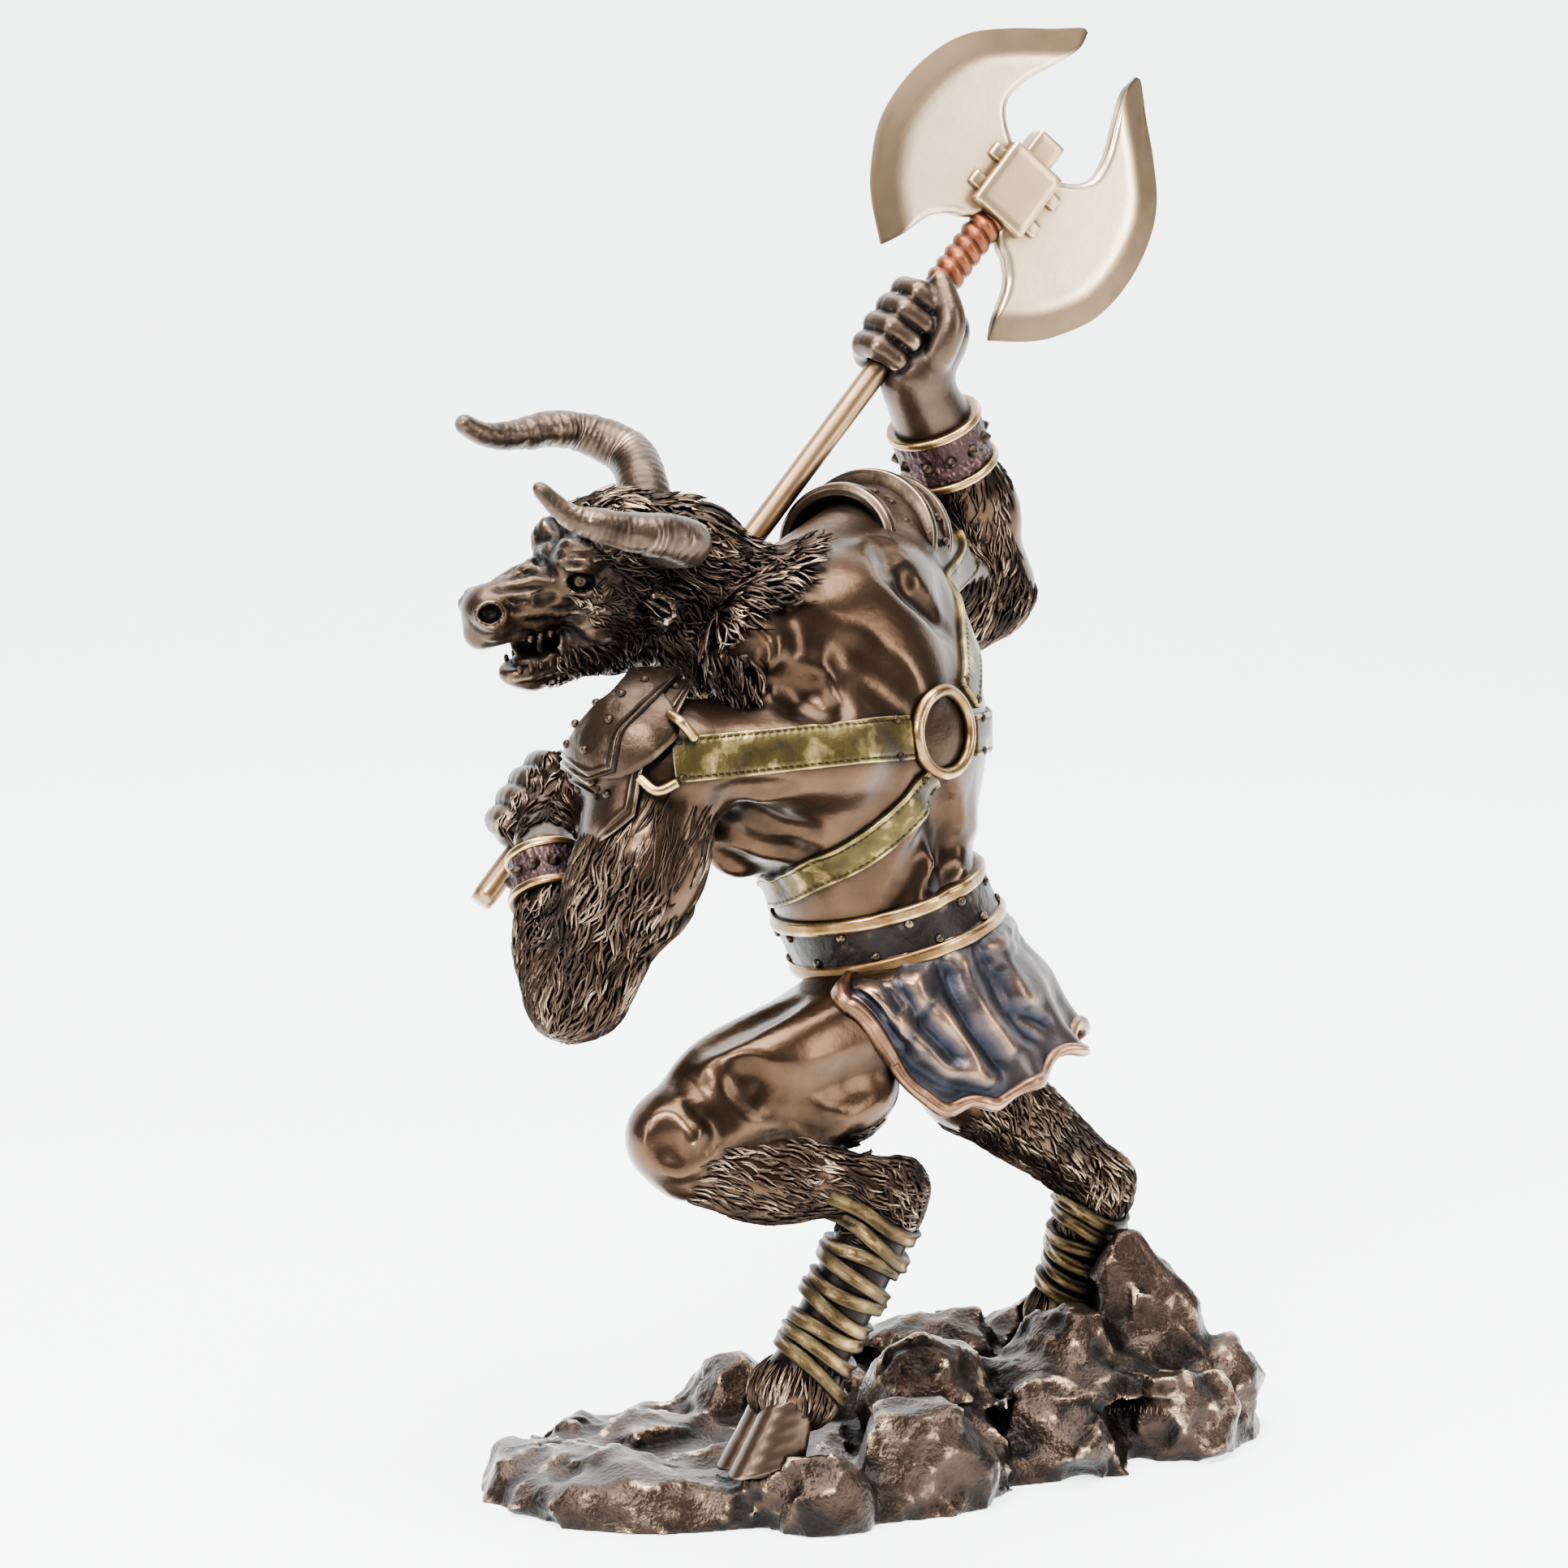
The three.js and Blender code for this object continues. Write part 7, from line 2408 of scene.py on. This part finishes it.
        # Painted shade on the bevel, a painted highlight band past its crest, darker by the inner outline.
        painted_light_and_wear = 0.27 + 0.56 * ramp(0.75, 1.1,
                                  share) + 0.1 * np.exp(-(((share - 1.15) / 0.12) ** 2)) - 0.2 * (1 - inside)
        skin = outward(slab(place + axes[1] * half_here[..., None], place - axes[1] * half_here[..., None]))
        return skin, np.tile(painted_light_and_wear, 2)


# The rock


@dataclass
class Rock:
    """The ground under the figure: a slab with worn boulders on it.

    Attributes:
        outline: the slab's outline as x and y.
        slab: its height.
        boulders: for each, its centre, its half sizes and a seed.
    """

    step: float = 0.8
    slab: float = 7.5
    outline: tuple[tuple[float, float], ...] = (
        (-80, -4), (-80, -22), (-72, -34), (-64, -42), (-46, -48), (-26, -45.5), (-4, -40), (16, -35),
        (23, -26),
        (27, -14), (40, -9), (48, 5), (66, 17), (75, 33), (84, 44), (80, 58), (58, 68), (22, 64), (-14, 50),
        (-42, 38),
        (-66, 22),
    )
    boulders: tuple[tuple[Point, Point, int], ...] = (
        ((-63, 14, 2), (8.5, 9, 7.2), 1), ((-69, -12, 2), (9.5, 13, 5), 2), ((-32, 29, 4), (14, 12, 14.4), 3),
        ((-46, 8, 4), (12, 10, 9.5), 4), ((-58, -24, 2), (20, 20, 9), 5), ((-38, -35, 3), (16, 13, 8.5), 19),
        ((-16, -42.5, 4), (13, 7.5, 12.5), 6), ((8, -25, 7), (17, 14, 15), 7),
        ((13, 2, 10), (15, 18, 19.5), 8),
        ((38, -1, 7), (11, 11, 13.5), 9), ((61, 17, 8), (15, 13, 14.5), 10),
        ((75.5, 38, 7), (9.5, 13, 13), 11),
        ((14, 42, 8), (21, 18, 17), 12), ((44, 22, 12), (16, 13, 19), 13),
        ((53.4, 34, 16), (14.6, 12, 27), 14),
        ((62, 39, 12), (12.5, 13, 22), 15), ((40, 56, 6), (20, 12, 17), 16), ((-8, 30, 5), (16, 16, 11), 17),
        ((-16, -12, 4), (20, 20, 8), 18), ((34, 14, 3), (32, 22, 17), 21), ((56, 36, 5), (25, 26, 22), 22),
        ((28, 38, 5), (34, 24, 15), 23),
    )

    def build(self) -> None:
        """Carves the rock, cuts room for the hooves and makes the piece."""
        made = Sculpt((-82, -50.5, -3), (87, 70, 44.5), self.step)
        x, y, z = (made.low[k] + self.step * np.arange(made.field.shape[k],
                                                       dtype=np.float32) for k in range(3))
        made.field = self.slab_distance(x, y, z)
        for centre, half, seed in self.boulders:
            self.boulder(made, np.array(centre, float), np.array(half, float), seed)
        near = np.argwhere(np.abs(made.field) < 3.0)
        places = made.low + near * self.step
        bent = places + 1.0 * np.stack([noise(places, 6.0, 54 + k) for k in range(3)], 1)
        ledges = np.abs(np.mod(bent @ np.array([0.05, -0.03, 0.13]), 1.0) - 0.5)
        crags = chips(bent, 14.0, 0.36, 0.22, 51) + chips(places, 5.5, 0.34, 0.26, 52) + 0.5 * ledges
        crags += 0.12 * noise(places, 1.4, 53)
        made.field[tuple(near.T)] += np.clip(crags - crags.mean() + 0.1, -1.2, 1.8).astype(np.float32)
        for hoof in (NEAR_HOOF, FAR_HOOF):
            made.add(hoof.pockets())
        made.trim(((0, 0, 0), (0, 0, -1)))
        skin = made.skin()
        # A strong painted highlight on the rock's ridges and painted shade in its hollows.
        rock = piece("rock", skin, ROCK, made.painted_light_and_wear(skin, 1.2, 4.0, 0.8), Slot.ROCK)
        if self.step < 1:
            thinned(rock, 0.45)
        self.marks(made)

    def slab_distance(self, x: Array, y: Array, z: Array) -> Array:
        """Distances to the slab: the outline's own distance, and the height over its top."""
        a = np.array(self.outline, np.float32)
        b = np.roll(a, -1, 0)
        gx, gy = np.meshgrid(x, y, indexing="ij")
        nearest = np.full(gx.shape, 1e9, np.float32)
        inside = np.zeros(gx.shape, bool)
        for (ax, ay), (bx, by) in zip(a, b):
            dx, dy = bx - ax, by - ay
            t = np.clip(((gx - ax) * dx + (gy - ay) * dy) / (dx * dx + dy * dy), 0, 1)
            nearest = np.minimum(nearest, np.hypot(gx - ax - t * dx, gy - ay - t * dy))
            crosses = (ay > gy) != (by > gy)
            inside ^= crosses & (gx < (bx - ax) * (gy - ay) / (by - ay + 1e-9) + ax)
        side = np.where(inside, -nearest, nearest)[:, :, None] + 0.22 * np.clip(z, 0, None)[None, None, :]
        roof = (z - self.slab)[None, None, :]
        gap = np.clip(3.0 - np.abs(side - roof), 0, None)
        return np.maximum(side, roof) + gap * gap / 12

    def boulder(self, made: Sculpt, centre: Array, half: Array, seed: int) -> None:
        """Joins one boulder: an ellipsoid cut flat by planes at its own directions and depths."""
        rng = np.random.default_rng(seed)
        ways = units(rng.normal(size=(12, 3)) * (1, 1, 0.9))
        depths = rng.uniform(0.62, 0.92, 12)
        scale = float(half.min())

        def distance(x: Array, y: Array, z: Array) -> Array:
            px, py, pz = (x - centre[0]) / half[0], (y - centre[1]) / half[1], (z - centre[2]) / half[2]
            worst = np.sqrt(px * px + py * py + pz * pz) - 1.06
            for way, depth in zip(ways, depths):
                worst = np.maximum(worst, px * way[0] + py * way[1] + pz * way[2] - depth)
            return worst * scale

        made.merge(centre - half * 1.1, centre + half * 1.1, 2.4, False, distance)

    def marks(self, made: Sculpt) -> None:
        """A short row of shallow strokes low on the front of the rock, with no letters in it."""
        strokes = []
        for number in range(13):
            x = 48.5 + 1.1 * number
            start = np.array([[x, 40.0, 10.4], [x + 0.25 * (number % 3), 40.0, 12.0]])
            ends = made.cast(start, np.tile([0.0, -1.0, 0.0], (2, 1)), 60)
            strokes.append(tube(np.linspace(*ends, 4) + (0, 0.08, 0), np.full(4, 0.2), 6))
        piece("rock_strokes", merged(strokes), DARK, slot=Slot.ROCK)


# The set, the lights and the camera


def build_stage() -> None:
    """A pale floor that curves up behind the statue and glows there, as paper lit from behind does."""
    points = [(-2.6, 0.0), (0.9, 0.0)] + [
        (0.9 + 0.9 * math.sin(a), 0.9 - 0.9 * math.cos(a)) for a in np.linspace(0.1, math.pi / 2, 12)
    ] + [(1.8, 3.4)]
    rows = np.array([[(x, y, z) for x in (-3.4, 3.4)] for y, z in points])
    count = len(points)
    faces = [(2 * i, 2 * i + 1, 2 * i + 3, 2 * i + 2) for i in range(count - 1)]
    mesh = bpy.data.meshes.new("floor")
    mesh.from_pydata(rows.reshape(-1, 3).tolist(), [], faces)
    mesh.polygons.foreach_set("use_smooth", np.ones(len(faces), bool))
    paint = bpy.data.materials.new("floor_paper")
    paint.use_nodes = True
    surface = paint.node_tree.nodes["Principled BSDF"]
    surface.inputs["Base Color"].default_value = (0.8, 0.82, 0.82, 1)
    surface.inputs["Roughness"].default_value = 0.7
    surface.inputs["Emission Color"].default_value = (0.93, 0.97, 0.97, 1)
    place = paint.node_tree.nodes.new("ShaderNodeTexCoord")
    parts = paint.node_tree.nodes.new("ShaderNodeSeparateXYZ")
    glow = paint.node_tree.nodes.new("ShaderNodeMapRange")
    for name, value in (("From Min", -0.22), ("From Max", -0.06), ("To Min", 0.25), ("To Max", 2.7)):
        glow.inputs[name].default_value = value
    paint.node_tree.links.new(place.outputs["Object"], parts.inputs["Vector"])
    paint.node_tree.links.new(parts.outputs["Y"], glow.inputs["Value"])
    paint.node_tree.links.new(glow.outputs["Result"], surface.inputs["Emission Strength"])
    mesh.materials.append(paint)
    floor = bpy.data.objects.new("floor", mesh)
    bpy.context.scene.collection.objects.link(floor)


def area_light(name: str, place: Point, target: Point, size: tuple[float, float], power: float) -> None:
    """A soft box that faces a target."""
    lamp = bpy.data.lights.new(name, "AREA")
    lamp.shape = "RECTANGLE"
    lamp.size, lamp.size_y = size
    lamp.energy = power
    made = bpy.data.objects.new(name, lamp)
    bpy.context.scene.collection.objects.link(made)
    made.location = place
    back = unit(np.asarray(place, float) - target)
    right = unit(np.cross((0, 0, 1), back))
    up = np.cross(back, right)
    made.rotation_euler = Matrix(np.stack([right, up, back], 1).tolist()).to_euler()


def build_lights() -> None:
    """A pale room and five soft boxes: over the statue, in front, to both sides and behind."""
    world = bpy.data.worlds.new("room")
    world.use_nodes = True
    back = world.node_tree.nodes["Background"]
    back.inputs["Color"].default_value = (0.86, 0.92, 1.0, 1)
    back.inputs["Strength"].default_value = 0.1
    bpy.context.scene.world = world
    middle = (-0.01, 0.0, 0.14)
    area_light("top_box", (-0.06, -0.12, 1.05), middle, (1.0, 0.75), 58)
    area_light("front_box", (-0.42, -1.05, 0.95), middle, (0.45, 0.35), 42)
    area_light("left_box", (-1.1, -0.9, 0.45), middle, (0.35, 1.0), 18)
    area_light("right_box", (1.1, -0.55, 0.5), middle, (0.3, 0.9), 16)
    area_light("back_box", (0.2, 0.75, 1.1), middle, (1.5, 0.4), 10)


def build_camera() -> None:
    """The photo's own view: a long lens a little above the statue, level with its left side."""
    lens = bpy.data.cameras.new("camera")
    lens.sensor_width = 36
    lens.lens = 36 * 7800 / 1932
    camera = bpy.data.objects.new("camera", lens)
    camera.location = (-0.0187, -1.284, 0.3491)
    camera.rotation_euler = (math.radians(81), 0, 0)
    bpy.context.scene.collection.objects.link(camera)
    bpy.context.scene.camera = camera


def main() -> None:
    """Builds the statue round its frame, then the set."""
    logging.basicConfig(level=logging.INFO, format="%(message)s")
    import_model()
    trunk, legs, head, rock = Trunk(), Legs(), Head(), Rock()
    body = build_trunk(trunk)
    shins = build_legs(legs)
    build_head(head, trunk)
    build_face()
    for fist in (NEAR_FIST, FAR_FIST):
        fist.build()
    for part in (NEAR_HOOF, FAR_HOOF, FAR_HORN, NEAR_HORN):
        part.build()
    Bracer("near_bracer", (-65.6, -24, 125.5), (-67.3, -17.5, 134), 7.6, 7).build()
    Bracer("far_bracer", (16.8, 60, 204), (12.8, 55.5, 215.5), 9.6, 9.2).build()
    Wraps("near_wraps", *SHINS[0], (0.12, 0.3, 0.02, 0.34, 0.1, 0.28, 0.0, 0.2, 0.46)).build(shins)
    Wraps("far_wraps", *SHINS[1], (0.2, 0.35, 0.1, 0.3, 0.2, 0.1), seed=33).build(shins)
    Belt().build(body)
    Kilt().build((body, shins))
    Harness().build(body)
    NearPauldron().build(body)
    FarPauldron().build()
    Axe().build()
    rock.build()
    build_stage()
    build_lights()
    build_camera()


if __name__ == "__main__":
    main()
